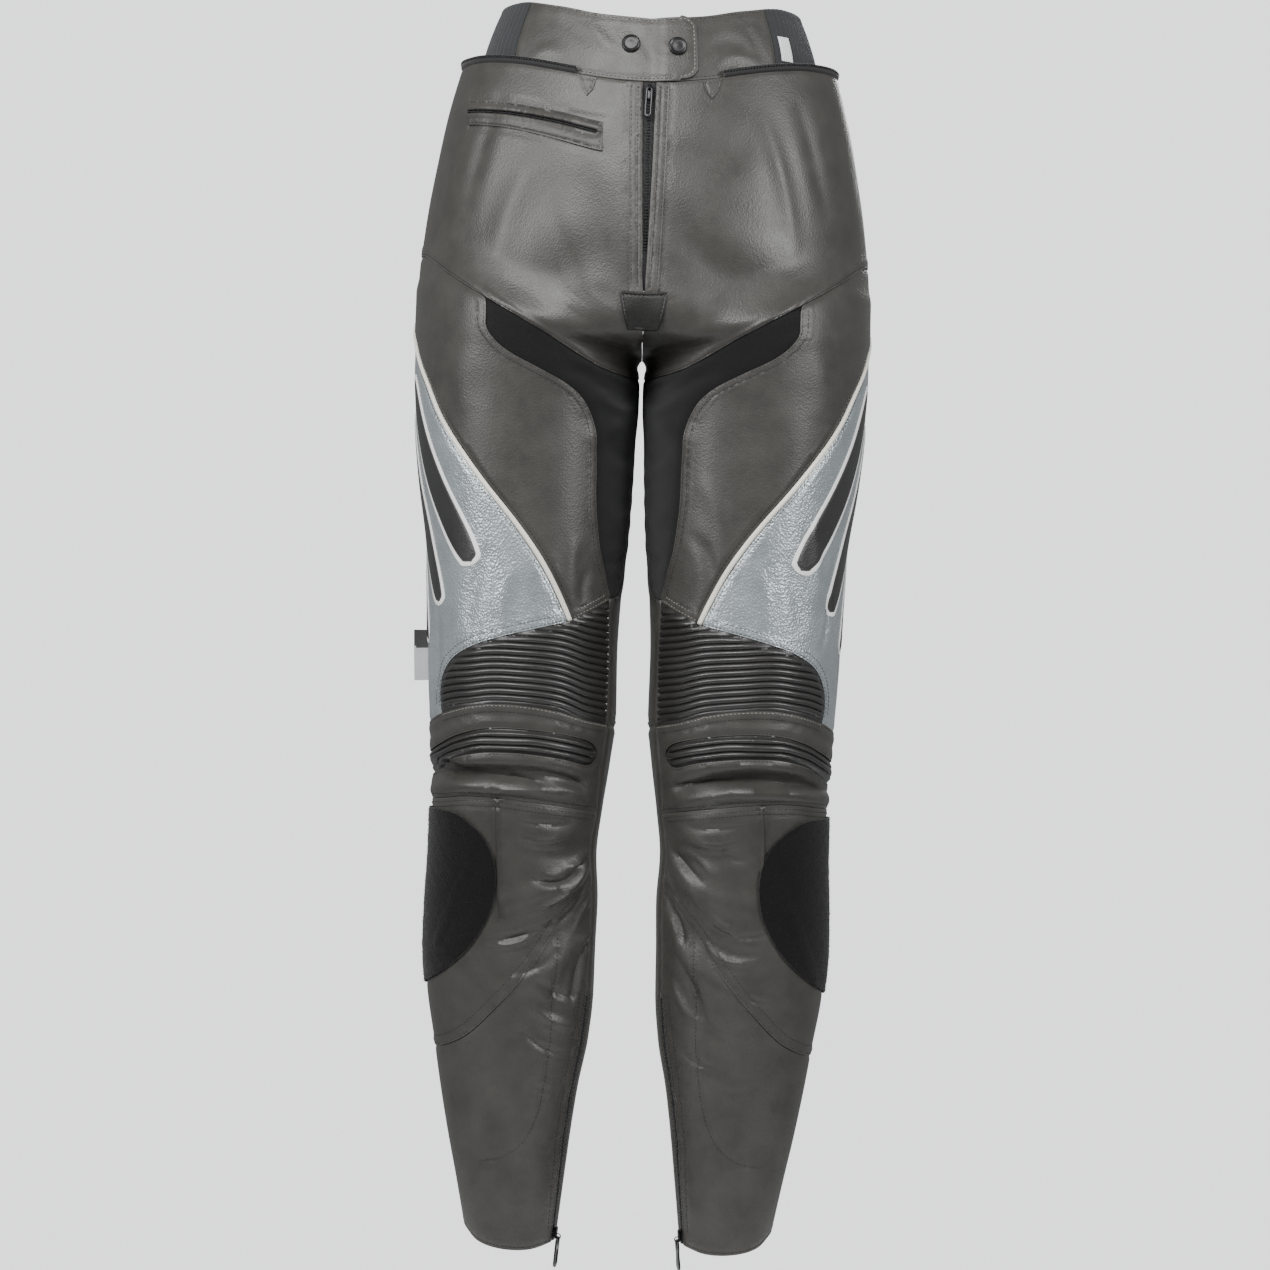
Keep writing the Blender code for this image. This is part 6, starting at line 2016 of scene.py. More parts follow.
class Knee(Assembly):
    """Ribbed stretch leather, plain band and the padded insert across the knee."""

    def build(self, thigh: Thigh) -> None:
        """Make the knee's pieces.

        Args:
            thigh: The finished thigh of this leg.
        """
        leg, name = self.leg, self.prefix
        table = SmoothTable(("around", "down"), SEAMS["band_top"])
        mean = float(table.read("down", np.linspace(0.06, 0.42, 13)).mean())

        def rib_number(around: Array, down: Array) -> Array:
            """Number of half ribs above the band's upper seam.

            Args:
                around: Turns about the leg.
                down: Depth below the waist.

            Returns:
                The number, odd at a crest.
            """
            base = table.read("down", np.clip(around, 0.067, 0.41))
            step = RIB_PITCH / 2 + (mean - base) * 0.6 / (2 * RIB_COUNT)
            return (down - base - RIB_PITCH / 2) / step

        def waver(around: Array) -> Array:
            """Half ribs by which a rib leaves its straight course.

            Args:
                around: Turns about the leg.

            Returns:
                The number at each turn.
            """
            slope = 1.1 if leg.side < 0 else 0.35
            bend = slope * (np.clip((0.2 - around) / 0.14, 0, 1))**1.5
            return bend + 0.22 * np.sin(around * 29 + leg.side) + 0.12 * np.sin(around * 61)

        def ribs(flat: Array) -> Array:
            """Ribs of the accordion, dying out at its seams.

            Args:
                flat: Flat points.

            Returns:
                Height at each point.
            """
            around, down = leg.from_flat(flat)
            k = rib_number(around, down) + waver(around)
            crest = np.abs(np.sin(math.pi * k / 2))**0.62
            edges = [thigh.thigh_low, thigh.side_low, seam(leg, "band_top"),
                     seam(leg, "inseam_knee")]
            away = np.min([line_distance(e, flat, 12)[0] for e in edges], axis=0)
            return RIB_HEIGHT * crest * (0.35 + 0.65 * smooth_step(0.5, 7.0, away))

        marks = np.arange(0.055, 0.43, 0.0042)
        base = table.read("down", np.clip(marks, 0.067, 0.41))
        rows = []
        for step in np.arange(-1, 2 * RIB_COUNT + 4, 0.25):
            k = step - waver(marks)
            flatten = 0.6 * k / (2 * RIB_COUNT)
            level = base * (1 - flatten) + mean * flatten + (k + 1) * RIB_PITCH / 2
            rows.append(leg.to_flat(np.column_stack([marks, level])))
        accordion = Panel(name + "knee_accordion", leg,
                          chain(thigh.thigh_low, thigh.end_cap, thigh.side_low,
                                seam(leg, "band_top"), seam(leg, "inseam_knee")),
                          (Edge.UNDER, Edge.UNDER, Edge.UNDER, Edge.UNDER, Edge.SUNK),
                          relief=ribs, rows=[np.vstack(rows)])
        self.finish(accordion, RIBBED, [name + "thigh_front", name + "side_panel"])

        insert = curve_through(leg.to_flat(np.array(SEAMS["insert_edge"])), 2.5)
        band = Panel(name + "knee_band", leg,
                     chain(seam(leg, "band_top"), seam(leg, "band_top_side"),
                           seam(leg, "knee_side_upper"), insert, seam(leg, "knee_side_lower"),
                           seam(leg, "band_low"), seam(leg, "inseam_band")),
                     (Edge.OVER, Edge.OVER, Edge.SUNK, Edge.OVER, Edge.SUNK, Edge.SUNK,
                      Edge.SUNK))
        self.light.add_insets(band, (0, 1.7))
        self.dark.add_insets(band, (1, 1.7), (0, 6.6, 3), (3, 1.6), (5, 3.6, 3))
        self.finish(band, LEATHER, [name + "knee_accordion"])

        edge = np.array(SEAMS["insert_edge"])
        tip = int(np.argmin(edge[:, 0]))
        top = SmoothTable(("around", "down"), edge[:tip])
        low = SmoothTable(("around", "down"), edge[tip + 1:])

        def pads(flat: Array) -> Array:
            """Ribs of the padded insert, fading towards its open side.

            Args:
                flat: Flat points.

            Returns:
                Height at each point.
            """
            around, down = leg.from_flat(flat)
            place = np.clip(around, 0.11, 0.55)
            high, deep = top.read("down", place), low.read("down", place)
            share = np.clip((high - down) / (high - deep), 0, 1)
            away = line_distance(insert, flat, 12)[0]
            crest = np.abs(np.sin(math.pi * INSERT_RIBS * share))**0.6
            fade = 1 - 0.75 * smooth_step(0.40, 0.50, around)
            return INSERT_RIB_HEIGHT * crest * smooth_step(0.2, 4.5, away) * fade

        marks = np.arange(0.1, 0.56, 0.004)
        rows = []
        for share in np.arange(1, 36) / 36:
            place = np.clip(marks, 0.11, 0.55)
            level = top.read("down", place) * (1 - share) + low.read("down", place) * share
            rows.append(leg.to_flat(np.column_stack([marks, level])))
        pad = Panel(name + "knee_insert", leg, chain(insert, seam(leg, "knee_side_insert")),
                    (Edge.UNDER, Edge.SUNK), relief=pads, rows=[np.vstack(rows)])
        self.finish(pad, RIBBED, [name + "knee_band"])


# Raised and sunk lines on the shin, as (around, down).
DART = {"right": ((0.285, -624), (0.28, -650), (0.274, -690), (0.267, -722)),
        "left": ((0.285, -624), (0.287, -650), (0.288, -690))}
U_LINE = ((0.14, -738), (0.148, -790), (0.152, -838), (0.16, -880), (0.198, -910),
          (0.257, -926), (0.33, -932))
PATCH_CREASE = {"right": ((0.33, -676), (0.37, -710), (0.41, -748)),
                "left": ((0.30, -672), (0.34, -705), (0.385, -745), (0.42, -775))}


class Shin(Assembly):
    """Shin, calf and the hook patch."""

    def build(self) -> None:
        """Make the pieces below the knee."""
        leg, name = self.leg, self.prefix
        dart = curve_through(leg.to_flat(np.array(DART[leg.word])), LINE_STEP)
        patch_line = curve_through(leg.to_flat(np.array(HOOK_PATCH[1:])), 2.5)
        close = curve_through(leg.to_flat(np.array([HOOK_PATCH[-1], HOOK_PATCH[0]])), 2.5)
        top = curve_through(leg.to_flat(np.array(HOOK_PATCH[:2])), 2.5)
        patch_loop = loop_of(chain(patch_line, close, top))

        def ridge(flat: Array) -> Array:
            """The raised dart of the shin."""
            away = line_distance(dart, flat, 10)[0]
            return 2.2 * np.exp(-(away / 1.3)**2) - 0.9 * np.exp(-((away - 2.9) / 1.0)**2)

        upper = Panel(name + "shin_upper", leg,
                      chain(seam(leg, "band_low"), seam(leg, "calf_side_upper"),
                            seam(leg, "shin_seam"), seam(leg, "inseam_shin")),
                      (Edge.SUNK, Edge.SUNK, Edge.OVER, Edge.SUNK), relief=ridge,
                      rows=[sideways(dart, d) for d in (0, -1.1, 1.1, -2.2, 2.2, 3.6, -3.6)])
        self.dark.add_insets(upper, (0, 3.6, 3), (0, 7.4, 3), (2, 1.6, 3), (2, 8.4, 3))
        upper.grooves.append((np.vstack([patch_loop, patch_loop[:1]]), 0.5))
        crease = curve_through(leg.to_flat(np.array(PATCH_CREASE[leg.word])), LINE_STEP)

        def pile(flat: Array) -> Array:
            """One soft crease across the patch and its uneven pile.

            Args:
                flat: Flat points.

            Returns:
                Height at each point.
            """
            away = line_distance(crease, flat, 14)[0]
            return (0.9 * np.exp(-((away - 1.5) / 2.4)**2) - 0.5 * np.exp(-(away / 1.2)**2)
                    + 0.12 * np.sin(flat[:, 0] / 2.3) * np.sin(flat[:, 1] / 2.9))

        patch = trim(name + "hook_patch", leg, patch_loop, LAY_GAP, HOOK_WALL, grid=3.0,
                     relief=pile)
        patch_obj = patch.build(HOOK)
        dress(patch_obj, [patch.name])
        fibres = self.fibres(patch_obj, name + "hook_patch_pile")
        patch.declare(patch_obj, held="laid", rests_on=[name + "shin_upper_look"],
                      with_pieces=[fibres])
        self.finish(upper, LEATHER, [name + "knee_band"])

        u_line = curve_through(leg.to_flat(np.array(U_LINE)), LINE_STEP)
        zip_front, zip_back = self.zip_edges()
        lower = Panel(name + "shin_lower", leg,
                      chain(seam(leg, "shin_seam"), seam(leg, "calf_side_lower"),
                            seam(leg, "hem_front"), zip_front, seam(leg, "inseam_calf")),
                      (Edge.UNDER, Edge.SUNK, Edge.FREE, Edge.FREE, Edge.SUNK))
        self.dark.add_insets(lower, (3, 2.4, 3), (3, 9.0, 6))
        self.dark.add(lower, u_line[1:-1])
        self.dark.add_insets(lower, (2, 2.6, 6))
        self.finish(lower, LEATHER, [name + "shin_upper"])

        back = Panel(name + "calf_back", leg,
                     chain(seam(leg, "knee_back"), seam(leg, "knee_side_upper"),
                           seam(leg, "knee_side_insert"), seam(leg, "knee_side_lower"),
                           seam(leg, "calf_side_upper"), seam(leg, "calf_side_lower"),
                           seam(leg, "hem_back"), self.turned(zip_back),
                           seam(leg, "inseam_calf", 1), seam(leg, "inseam_shin", 1),
                           seam(leg, "inseam_band", 1)),
                     (Edge.SUNK, Edge.SUNK, Edge.SUNK, Edge.SUNK, Edge.SUNK, Edge.SUNK,
                      Edge.FREE, Edge.FREE, Edge.SUNK, Edge.SUNK, Edge.SUNK), grid=4.6)
        self.dark.add_insets(back, (4, 2.2, 6), (5, 2.2, 6), (6, 2.6, 6), (7, 2.4, 6))
        self.finish(back, LEATHER, [name + "thigh_back"])
        CalfZip(leg, self.light, self.dark).build(zip_front, zip_back)

    def zip_edges(self) -> tuple[Array, Array]:
        """Both edges of the calf zip: a short step at the top, then a long smooth edge.

        Returns:
            The front and the back edge.
        """
        edges = []
        for label in ("zip_front", "zip_back"):
            flat = self.leg.to_flat(np.array(SEAMS[label]))
            edges.append(np.vstack([flat[:1], curve_through(flat[1:], LINE_STEP)]))
        return edges[0], edges[1]

    def turned(self, line: Array) -> Array:
        """The same line, counted one turn further round."""
        around, down = self.leg.from_flat(line)
        return self.leg.to_flat(np.column_stack([around + 1, down]))

    @staticmethod
    def fibres(patch: bpy.types.Object, name: str) -> bpy.types.Object:
        """The pile that stands up from a patch.

        Args:
            patch: The patch.
            name: The name.

        Returns:
            The pile.
        """
        source = patch.copy()
        source.data = patch.data.copy()
        source.parent = None
        bpy.context.scene.collection.objects.link(source)
        obj = REPEATS.run(REPEATS.fibre, source, name, {
            "Density": 130000.0, "Length": 1.5 * MM, "Seed": 11, "Material": HOOK.made()})
        obj.data.materials.clear()
        obj.data.materials.append(HOOK.made())
        return dress(obj)


class CalfZip(Assembly):
    """The zip at the inner side of the calf, with its slider and pull."""

    def build(self, front: Array, back: Array) -> None:
        """Make tape, teeth, slider and pull.

        Args:
            front: The front panel or edge.
            back: Whether it is the back edge.
        """
        leg, name = self.leg, self.prefix
        tape = Panel(name + "calf_zip", leg, chain(front, seam(leg, "zip_hem"), back),
                     (Edge.TRIM, Edge.TRIM, Edge.TRIM), grid=2.2, base=-1.6, wall=1.0)
        middle = []
        for down in np.arange(-792, -1001, -2.0):
            ends = [float(np.interp(-down, -np.array(SEAMS[k])[1:, 1], np.array(SEAMS[k])[1:, 0]))
                    for k in ("zip_front", "zip_back")]
            middle.append((sum(ends) / 2, down))
        line = leg.to_flat(np.array(middle))
        teeth = Teeth(name + "calf_zip_teeth").build(
            [surface_line(leg, line, leg.crease_height(line) - 0.2)])
        self.finish(tape, TAPE, [name + "shin_lower"], lining=None, with_pieces=[teeth])
        around, down = 0.0675, -995.0
        drop = 3.0
        mount = Mount.on(leg, around, down, -0.1)
        slider = mount.slider(2.5, 5.5, drop)
        add_piece(name + "calf_slider", slider, METAL)
        pivot = mount.at(0, -drop, 4.4)
        if leg.side < 0:
            outline = stadium(4.6, 0.3, -27.0)
            holes = [stadium(1.35, -0.9, -4.9, 5), stadium(1.9, -11.0, -23.5, 6)]
        else:
            outline = waisted(4.6, 3.5, 0.3, -27.0)
            holes = [stadium(1.35, -0.9, -4.9, 5)]
        pull = mount.plate(outline, pivot, -0.7, 0.7, holes, 0.3)
        add_piece(name + "calf_zip_pull", [pull], METAL, leg.word + "_calf_pull")


def stadium(half_width: float, top: float, bottom: float, steps: int = 9) -> Array:
    """An outline with round ends.

    Args:
        half_width: Half the width.
        top: Height of the upper end.
        bottom: Height of the lower end.
        steps: Steps in each round end.

    Returns:
        Points of the outline.
    """
    spots = []
    for sign, level in ((1, top - half_width), (-1, bottom + half_width)):
        for turn in np.linspace(0, math.pi, steps + 1):
            spots.append((sign * half_width * math.cos(turn),
                          level + sign * half_width * math.sin(turn)))
    return np.array(spots)


def waisted(half_width: float, waist: float, top: float, bottom: float) -> Array:
    """A round-ended outline drawn in a little between its ends.

    Args:
        half_width: Half the width.
        waist: Half the width midway.
        top: Height of the upper end.
        bottom: Height of the lower end.

    Returns:
        Points of the outline.
    """
    loop = curve_through(np.vstack([stadium(half_width, top, bottom),
                                    stadium(half_width, top, bottom)[:1]]), 1.2)[:-1]
    middle = (top + bottom) / 2
    pinch = 1 - (1 - waist / half_width) * np.exp(-((loop[:, 1] - middle) / 5.0)**2)
    return np.column_stack([loop[:, 0] * pinch, loop[:, 1]])


@dataclass
class Mount:
    """A frame on the cloth for hardware: a point with its across, up and out directions."""

    point: Array
    across: Array
    up: Array
    out: Array

    @classmethod
    def on(cls, surface: Surface, around: float, down: float, lift: float) -> Mount:
        """The frame at a spot of a surface.

        Args:
            surface: The surface.
            around: Turns about the surface.
            down: Depth below the waist.
            lift: Height over the plain surface.

        Returns:
            The frame.
        """
        side = np.array([surface.side, 1, 1])
        out = surface.normal(around, down) * side
        point = (surface.point(around, down) + surface.normal(around, down) * lift) * side
        up = surface.point(around, down + 1) * side - surface.point(around, down) * side
        up = up - out * float(up @ out)
        up /= np.linalg.norm(up)
        return cls(point, np.cross(up, out), up, out)

    def at(self, across: float, up: float, out: float) -> Array:
        """A point in this frame, in millimetres."""
        return self.point + self.across * across + self.up * up + self.out * out

    def plate(self, outline: Array, centre: Array, low: float, high: float,
              holes: Sequence[Array] = (), bevel: float = 0.3) -> tuple[Array, list]:
        """A plate with rounded edges.

        Args:
            outline: Its outline in (across, up).
            centre: The point that the outline is measured from.
            low: Height of its inner face.
            high: Height of its outer face.
            holes: Outlines of holes.
            bevel: Radius of its edges.

        Returns:
            Points in millimetres, and faces.
        """
        profile = [(bevel, low), (0.3 * bevel, low + 0.3 * bevel), (0, low + bevel),
                   (0, high - bevel), (0.3 * bevel, high - 0.3 * bevel), (bevel, high)]
        points, faces, caps = [], [], []
        start = 0
        for number, loop in enumerate([outline, *holes]):
            loop = loop if signed_area(loop) > 0 else loop[::-1]
            count = len(loop)
            for inset, level in profile:
                ring = move_in(loop, inset if number == 0 else -inset)
                points.append(centre + ring[:, :1] * self.across + ring[:, 1:2] * self.up
                              + self.out * level)
            for j in range(len(profile) - 1):
                for k in range(count):
                    n = (k + 1) % count
                    quad = (start + j * count + k, start + j * count + n,
                            start + (j + 1) * count + n, start + (j + 1) * count + k)
                    faces.append(quad if number == 0 else quad[::-1])
            caps.append((move_in(loop, bevel if number == 0 else -bevel), start, count))
            start += count * len(profile)
        flat = np.vstack([cap for cap, _, _ in caps])
        index = [(first + k, first + (len(profile) - 1) * count + k)
                 for _, first, count in caps for k in range(count)]
        edges, base = [], 0
        for _, _, count in caps:
            edges += [(base + k, base + (k + 1) % count) for k in range(count)]
            base += count
        result = delaunay_2d_cdt([Vector(p) for p in flat], edges, [], 1, 1e-7)
        for face in result[2]:
            corners = np.array([result[0][i] for i in face])
            middle = corners.mean(axis=0)[None]
            if any(inside(cap, middle)[0] for cap, _, _ in caps[1:]):
                continue
            face = face if signed_area(corners) > 0 else face[::-1]
            faces.append(tuple(index[i][1] for i in face))
            faces.append(tuple(index[i][0] for i in reversed(face)))
        return np.vstack(points), faces

    def tube(self, path: Array, radius: float, sides: int = 10) -> tuple[Array, list]:
        """A round bar along a path of (across, up, out) points.

        Args:
            path: Points along the middle.
            radius: Radius of the bar.
            sides: Number of points in a ring.

        Returns:
            Points and faces.
        """
        points = []
        along = np.gradient(path, axis=0)
        along /= np.linalg.norm(along, axis=1, keepdims=True)
        for spot, ahead in zip(path, along):
            first = np.cross(ahead, (1.0, 0.0, 0.0))
            first /= np.linalg.norm(first)
            second = np.cross(ahead, first)
            for k in range(sides):
                turn = math.tau * k / sides
                points.append(self.at(*(spot + (first * math.cos(turn) + second * math.sin(turn))
                                        * radius)))
        return np.array(points), tube_faces(len(path), sides)

    def turned(self, profile: Sequence[tuple[float, float]], sides: int) -> tuple[Array, list]:
        """A round piece from a profile of (radius, height).

        Args:
            profile: Points of the profile.
            sides: Number of points in a ring.

        Returns:
            Points and faces.
        """
        points = [self.at(radius * math.cos(math.tau * k / sides),
                          radius * math.sin(math.tau * k / sides), height)
                  for radius, height in profile for k in range(sides)]
        return np.array(points), tube_faces(len(profile), sides)

    def slider(self, half_width: float, half_height: float, drop: float) -> list:
        """A zip slider: two shield plates, a core and the arch that carries the pull.

        Args:
            half_width: Half the width.
            half_height: Half the height.
            drop: How far the arch stands out.

        Returns:
            Points and faces of each shell.
        """
        t = np.linspace(0, math.tau, 33)[:-1]
        shield = np.column_stack([
            half_width * np.sign(np.cos(t)) * np.abs(np.cos(t))**0.6
            * (1 - 0.16 * (1 - np.sin(t)) / 2),
            half_height * np.sign(np.sin(t)) * np.abs(np.sin(t))**0.75])
        core = shield * [0.5, 0.9]
        turn = np.linspace(-0.35, math.pi + 0.35, 15)
        arch = np.column_stack([np.zeros(15), -drop + 2.2 * -np.cos(turn),
                                4.4 + 2.2 * np.sin(turn)])
        foot = np.array([[0, -drop - 2.2, 2.7]])
        head = np.array([[0, -drop + 2.2, 2.7]])
        path = np.vstack([foot, arch[2:-2], head])
        return [self.plate(shield, self.point, 0.0, 1.1, (), 0.35),
                self.plate(core, self.point, 0.9, 2.3, (), 0.2),
                self.plate(shield, self.point, 2.1, 3.2, (), 0.4),
                self.tube(path, 0.5)]


def add_piece(node: str, parts: Sequence[tuple[Array, list]], finish: Finish,
              body: str = "root", replaces: bool = True) -> bpy.types.Object:
    """One object from several closed shells given in millimetres.

    Args:
        node: Name of the node, or of a piece that has none.
        parts: Points and faces of each shell.
        finish: The finish.
        body: The body it rides on.
        replaces: Whether the piece stands for the node.

    Returns:
        The object.
    """
    points, faces, start = [], [], 0
    for places, corners in parts:
        made = bpy.data.meshes.new("part")
        made.from_pydata([tuple(p) for p in places], [], [tuple(f) for f in corners])
        flip = solid_volume(made) < 0
        bpy.data.meshes.remove(made)
        points.append(places)
        faces += [tuple(start + i for i in (f[::-1] if flip else f)) for f in corners]
        start += len(places)
    obj = new_object(node, np.vstack(points) * MM, faces)
    obj.data.set_sharp_from_angle(angle=math.radians(35))
    obj.data.materials.append(finish.made())
    return dress(obj, [node] if replaces else [], body)


class Fly(Assembly):
    """The fly zip between the fronts, with its slider, pull and foot tab."""

    def build(self) -> None:
        """Make the fly's pieces."""
        leg = self.leg
        marks = np.linspace(0.0, FLY_END, 50)
        right = np.array([leg.spot(-fly_half_gap(d), d) for d in marks])
        left = np.array([leg.spot(fly_half_gap(d), d) for d in marks])
        tape = trim("fly_zip", leg, np.vstack([left, right[::-1]]), -2.0, 1.0, grid=1.8)
        middle = np.array([leg.spot(0.0, d) for d in marks[:-2]])
        teeth = Teeth("fly_zip_teeth").build([surface_line(leg, curve_through(middle, 2.0), -0.9)])
        self.finish(tape, TAPE, ["waistband_front_right"], lining=None, with_pieces=[teeth])

        mount = Mount.on(leg, leg.turn_at(0.0, -10.0), -10.0, -0.2)
        drop = -4.0
        add_piece("fly_slider", mount.slider(3.5, 6.0, drop), METAL)
        pivot = mount.at(0, -drop, 4.4)
        holes = [stadium(1.4, -0.9, -23.6, 6)]
        pull = mount.plate(stadium(3.0, 0.3, -26.0), pivot, -0.7, 0.7, holes, 0.35)
        add_piece("fly_zip_pull", [pull], METAL, "fly_pull")
        self.tab()

    def tab(self) -> None:
        """The leather tab over the foot of the fly."""
        leg = self.leg
        forward = np.array([0, -1.0, -0.15])
        rows, columns = 24, 28
        levels = np.linspace(FLY_TAB[0][0], FLY_TAB[-1][0], rows)
        widths = np.interp(-levels, [-d for d, _ in FLY_TAB], [w for _, w in FLY_TAB])
        shells = [[], []]
        for down, half in zip(levels, widths):
            for share in np.linspace(-1, 1, columns):
                across = half * share
                base = leg.point(leg.turn_at(abs(across), down), down)
                spot = base * [math.copysign(1, across), 1, 1]
                edge = min((1 - abs(share)) * half, down - levels[-1] + 1e-3,
                           levels[0] - down + 1e-3)
                roll = -0.5 * math.exp(-(edge / 0.8)**2) - 0.4 * math.exp(-((edge - 2.6) / 0.7)**2)
                roll += 0.5 * math.exp(-((edge - 1.4) / 0.8)**2)
                bend = 0.5 * math.cos(across / 5.5) * math.sin((down + 150) / 9)
                shells[0].append(spot + forward * (1.2 + bend * 0.2))
                shells[1].append(spot + forward * (2.5 + roll + bend * 0.4))
        faces = []
        count = rows * columns
        for j in range(rows - 1):
            for k in range(columns - 1):
                a = j * columns + k
                faces.append((count + a, count + a + columns, count + a + columns + 1,
                              count + a + 1))
                faces.append((a, a + 1, a + columns + 1, a + columns))
        rim = [k for k in range(columns)]
        rim += [j * columns + columns - 1 for j in range(1, rows)]
        rim += [(rows - 1) * columns + k for k in range(columns - 2, -1, -1)]
        rim += [j * columns for j in range(rows - 2, 0, -1)]
        for a, b in zip(rim, rim[1:] + rim[:1]):
            faces.append((a, count + a, count + b, b))
        # The tab's leather is darker than the hide's own colour: painted shade.
        obj = add_piece("fly_tab", [(np.array(shells[0] + shells[1]), faces)], TAB_PAINTED_SHADE)
        ring = []
        for j, k in [(j, 2) for j in range(rows - 3, 1, -1)] + [
                (2, k) for k in range(2, columns - 2)] + [(j, columns - 3)
                                                         for j in range(3, rows - 2)]:
            ring.append(shells[1][j * columns + k])
        line = curve_through((np.array(ring) + forward * 0.35) * MM, 0.002)
        self.dark.lines.append((line, np.tile([0.0, -1.0, -0.15], (len(line), 1))))
        log.info("fly tab: %s", obj.name)


class Waistband:
    """The waistband's five pieces, the snaps, the size tag and the joining zip."""

    def __init__(self, leg: Leg, light: Sewing, dark: Sewing) -> None:
        """Keep the leg that gives the waist edge, and the sewing."""
        self.leg, self.light, self.dark = leg, light, dark

    def outline(self, band: Band, start: float, end: float, round_end: float = 0.0) -> list[Array]:
        """Lower edge, far end, upper edge and near end of a stretch of the band.

        Args:
            band: The band's surface.
            start: Turn of the near end.
            end: Turn of the far end.
            round_end: Radius of the far corners, or 0.

        Returns:
            The four lines.
        """
        count = max(2, round((end - start) * BAND_GIRTH / LINE_STEP))
        turns = np.linspace(start, end, count + 1)
        low = band.to_flat(np.array([(t, band.bottom_at(t, self.leg)) for t in turns]))
        top = band.to_flat(np.array([(t, band.top_at(t)) for t in turns]))
        far = curve_through(np.array([low[-1], top[-1]]), 2.5)
        if round_end:
            r, x_end = round_end, low[-1][0]
            low_y, top_y = low[-1][1], top[-1][1]
            turn = np.linspace(0, math.pi / 2, 8)
            low = low[low[:, 0] < x_end - r - 1]
            top = top[top[:, 0] < x_end - r - 1]
            far = np.vstack([low[-1:],
                             np.column_stack([x_end - r + r * np.sin(turn),
                                              low_y + r - r * np.cos(turn)]),
                             np.column_stack([x_end - r + r * np.cos(turn),
                                              top_y - r + r * np.sin(turn)]), top[-1:]])
            far = curve_through(far, 2.0)
        near = curve_through(np.array([low[0], top[0]]), 2.5)
        return chain(low, far, top, near)

    def piece(self, name: str, band: Band, start: float, end: float, finish: Finish,
              round_end: float = 0.0, relief: Callable | None = None, grid: float = GRID,
              with_pieces: Sequence = ()) -> Panel:
        """Make one stretch of the band.

        Args:
            name: The name.
            band: The band's surface.
            start: Turn of the near end.
            end: Turn of the far end.
            finish: The finish.
            round_end: Radius of the far corners, or 0.
            relief: Height over flat points.
            grid: Distance between inner points.
            with_pieces: Pieces that move with it.

        Returns:
            The panel.
        """
        panel = Panel(name, band, self.outline(band, start, end, round_end),
                      [Edge.FREE, Edge.FREE, Edge.FREE, Edge.FREE], grid=grid, relief=relief)
        if finish is LEATHER:
            self.dark.add_insets(panel, (2, 2.2, 3), (0, 2.4, 3))
            if round_end:
                self.light.add_insets(panel, (1, 2.2))
        obj = panel.build(finish, LINING)
        dress(obj, [name])
        panel.declare(obj, held="stretched" if finish is ELASTIC else "folded",
                      rests_on=["left_hip_front_look", "right_hip_front_look"],
                      with_pieces=with_pieces)
        return panel

    def build(self) -> None:
        """Make the band and what is fixed on it."""
        plain, lapped = Band(), Band(OVERLAP_LIFT)

        def gathers(flat: Array) -> Array:
            """Upright gathers of the elastic."""
            wave = np.abs(np.sin(flat[:, 0] * math.pi / 6.2 + 0.5 * np.sin(flat[:, 1] / 9)))
            return 0.7 * wave**0.8 - 0.35

        self.piece("waistband_front_right", lapped, BAND_ELASTIC_RIGHT[1], BAND_END_FRONT,
                   LEATHER, round_end=11.0)
        self.piece("waistband_front_left", plain, BAND_START_UNDER, BAND_ELASTIC_LEFT[0], LEATHER)
        self.piece("waistband_elastic_right", plain, *BAND_ELASTIC_RIGHT, ELASTIC,
                   relief=gathers, grid=1.9)
        tag_line = plain.to_flat(np.array(((0.64, 5), (0.658, 5), (0.658, 26), (0.64, 26))))
        tag_loop = loop_of([curve_through(np.array([a, b]), 1.5)
                            for a, b in zip(tag_line, np.roll(tag_line, -1, axis=0))])
        tag = trim("size_tag", plain, tag_loop, 1.0, 0.5, grid=1.6)
        made = dress(tag.build(SATIN), ["size_tag"])
        self.piece("waistband_elastic_left", plain, *BAND_ELASTIC_LEFT, ELASTIC, relief=gathers,
                   grid=1.9, with_pieces=[made])
        self.piece("waistband_back", plain, BAND_ELASTIC_LEFT[1] - 1, BAND_ELASTIC_RIGHT[0],
                   LEATHER, grid=4.2)
        profile = ((7.5, 0.0), (7.75, 0.3), (7.75, 1.3), (7.3, 1.95), (6.7, 2.2), (6.1, 2.0),
                   (5.5, 1.55), (4.2, 1.5), (2.0, 1.75), (0.4, 1.85))
        for word, across, height in (("right", -16.5, 10.5), ("left", 22.0, 9.0)):
            width = float(lapped.rings.read("half_width", height))
            around = 0.5 + math.asin(across / width) / math.tau
            mount = Mount.on(lapped, around, height, 0.25)
            add_piece("snap_" + word, [mount.turned(profile, 48)], SNAP)
        self.joining_zip()

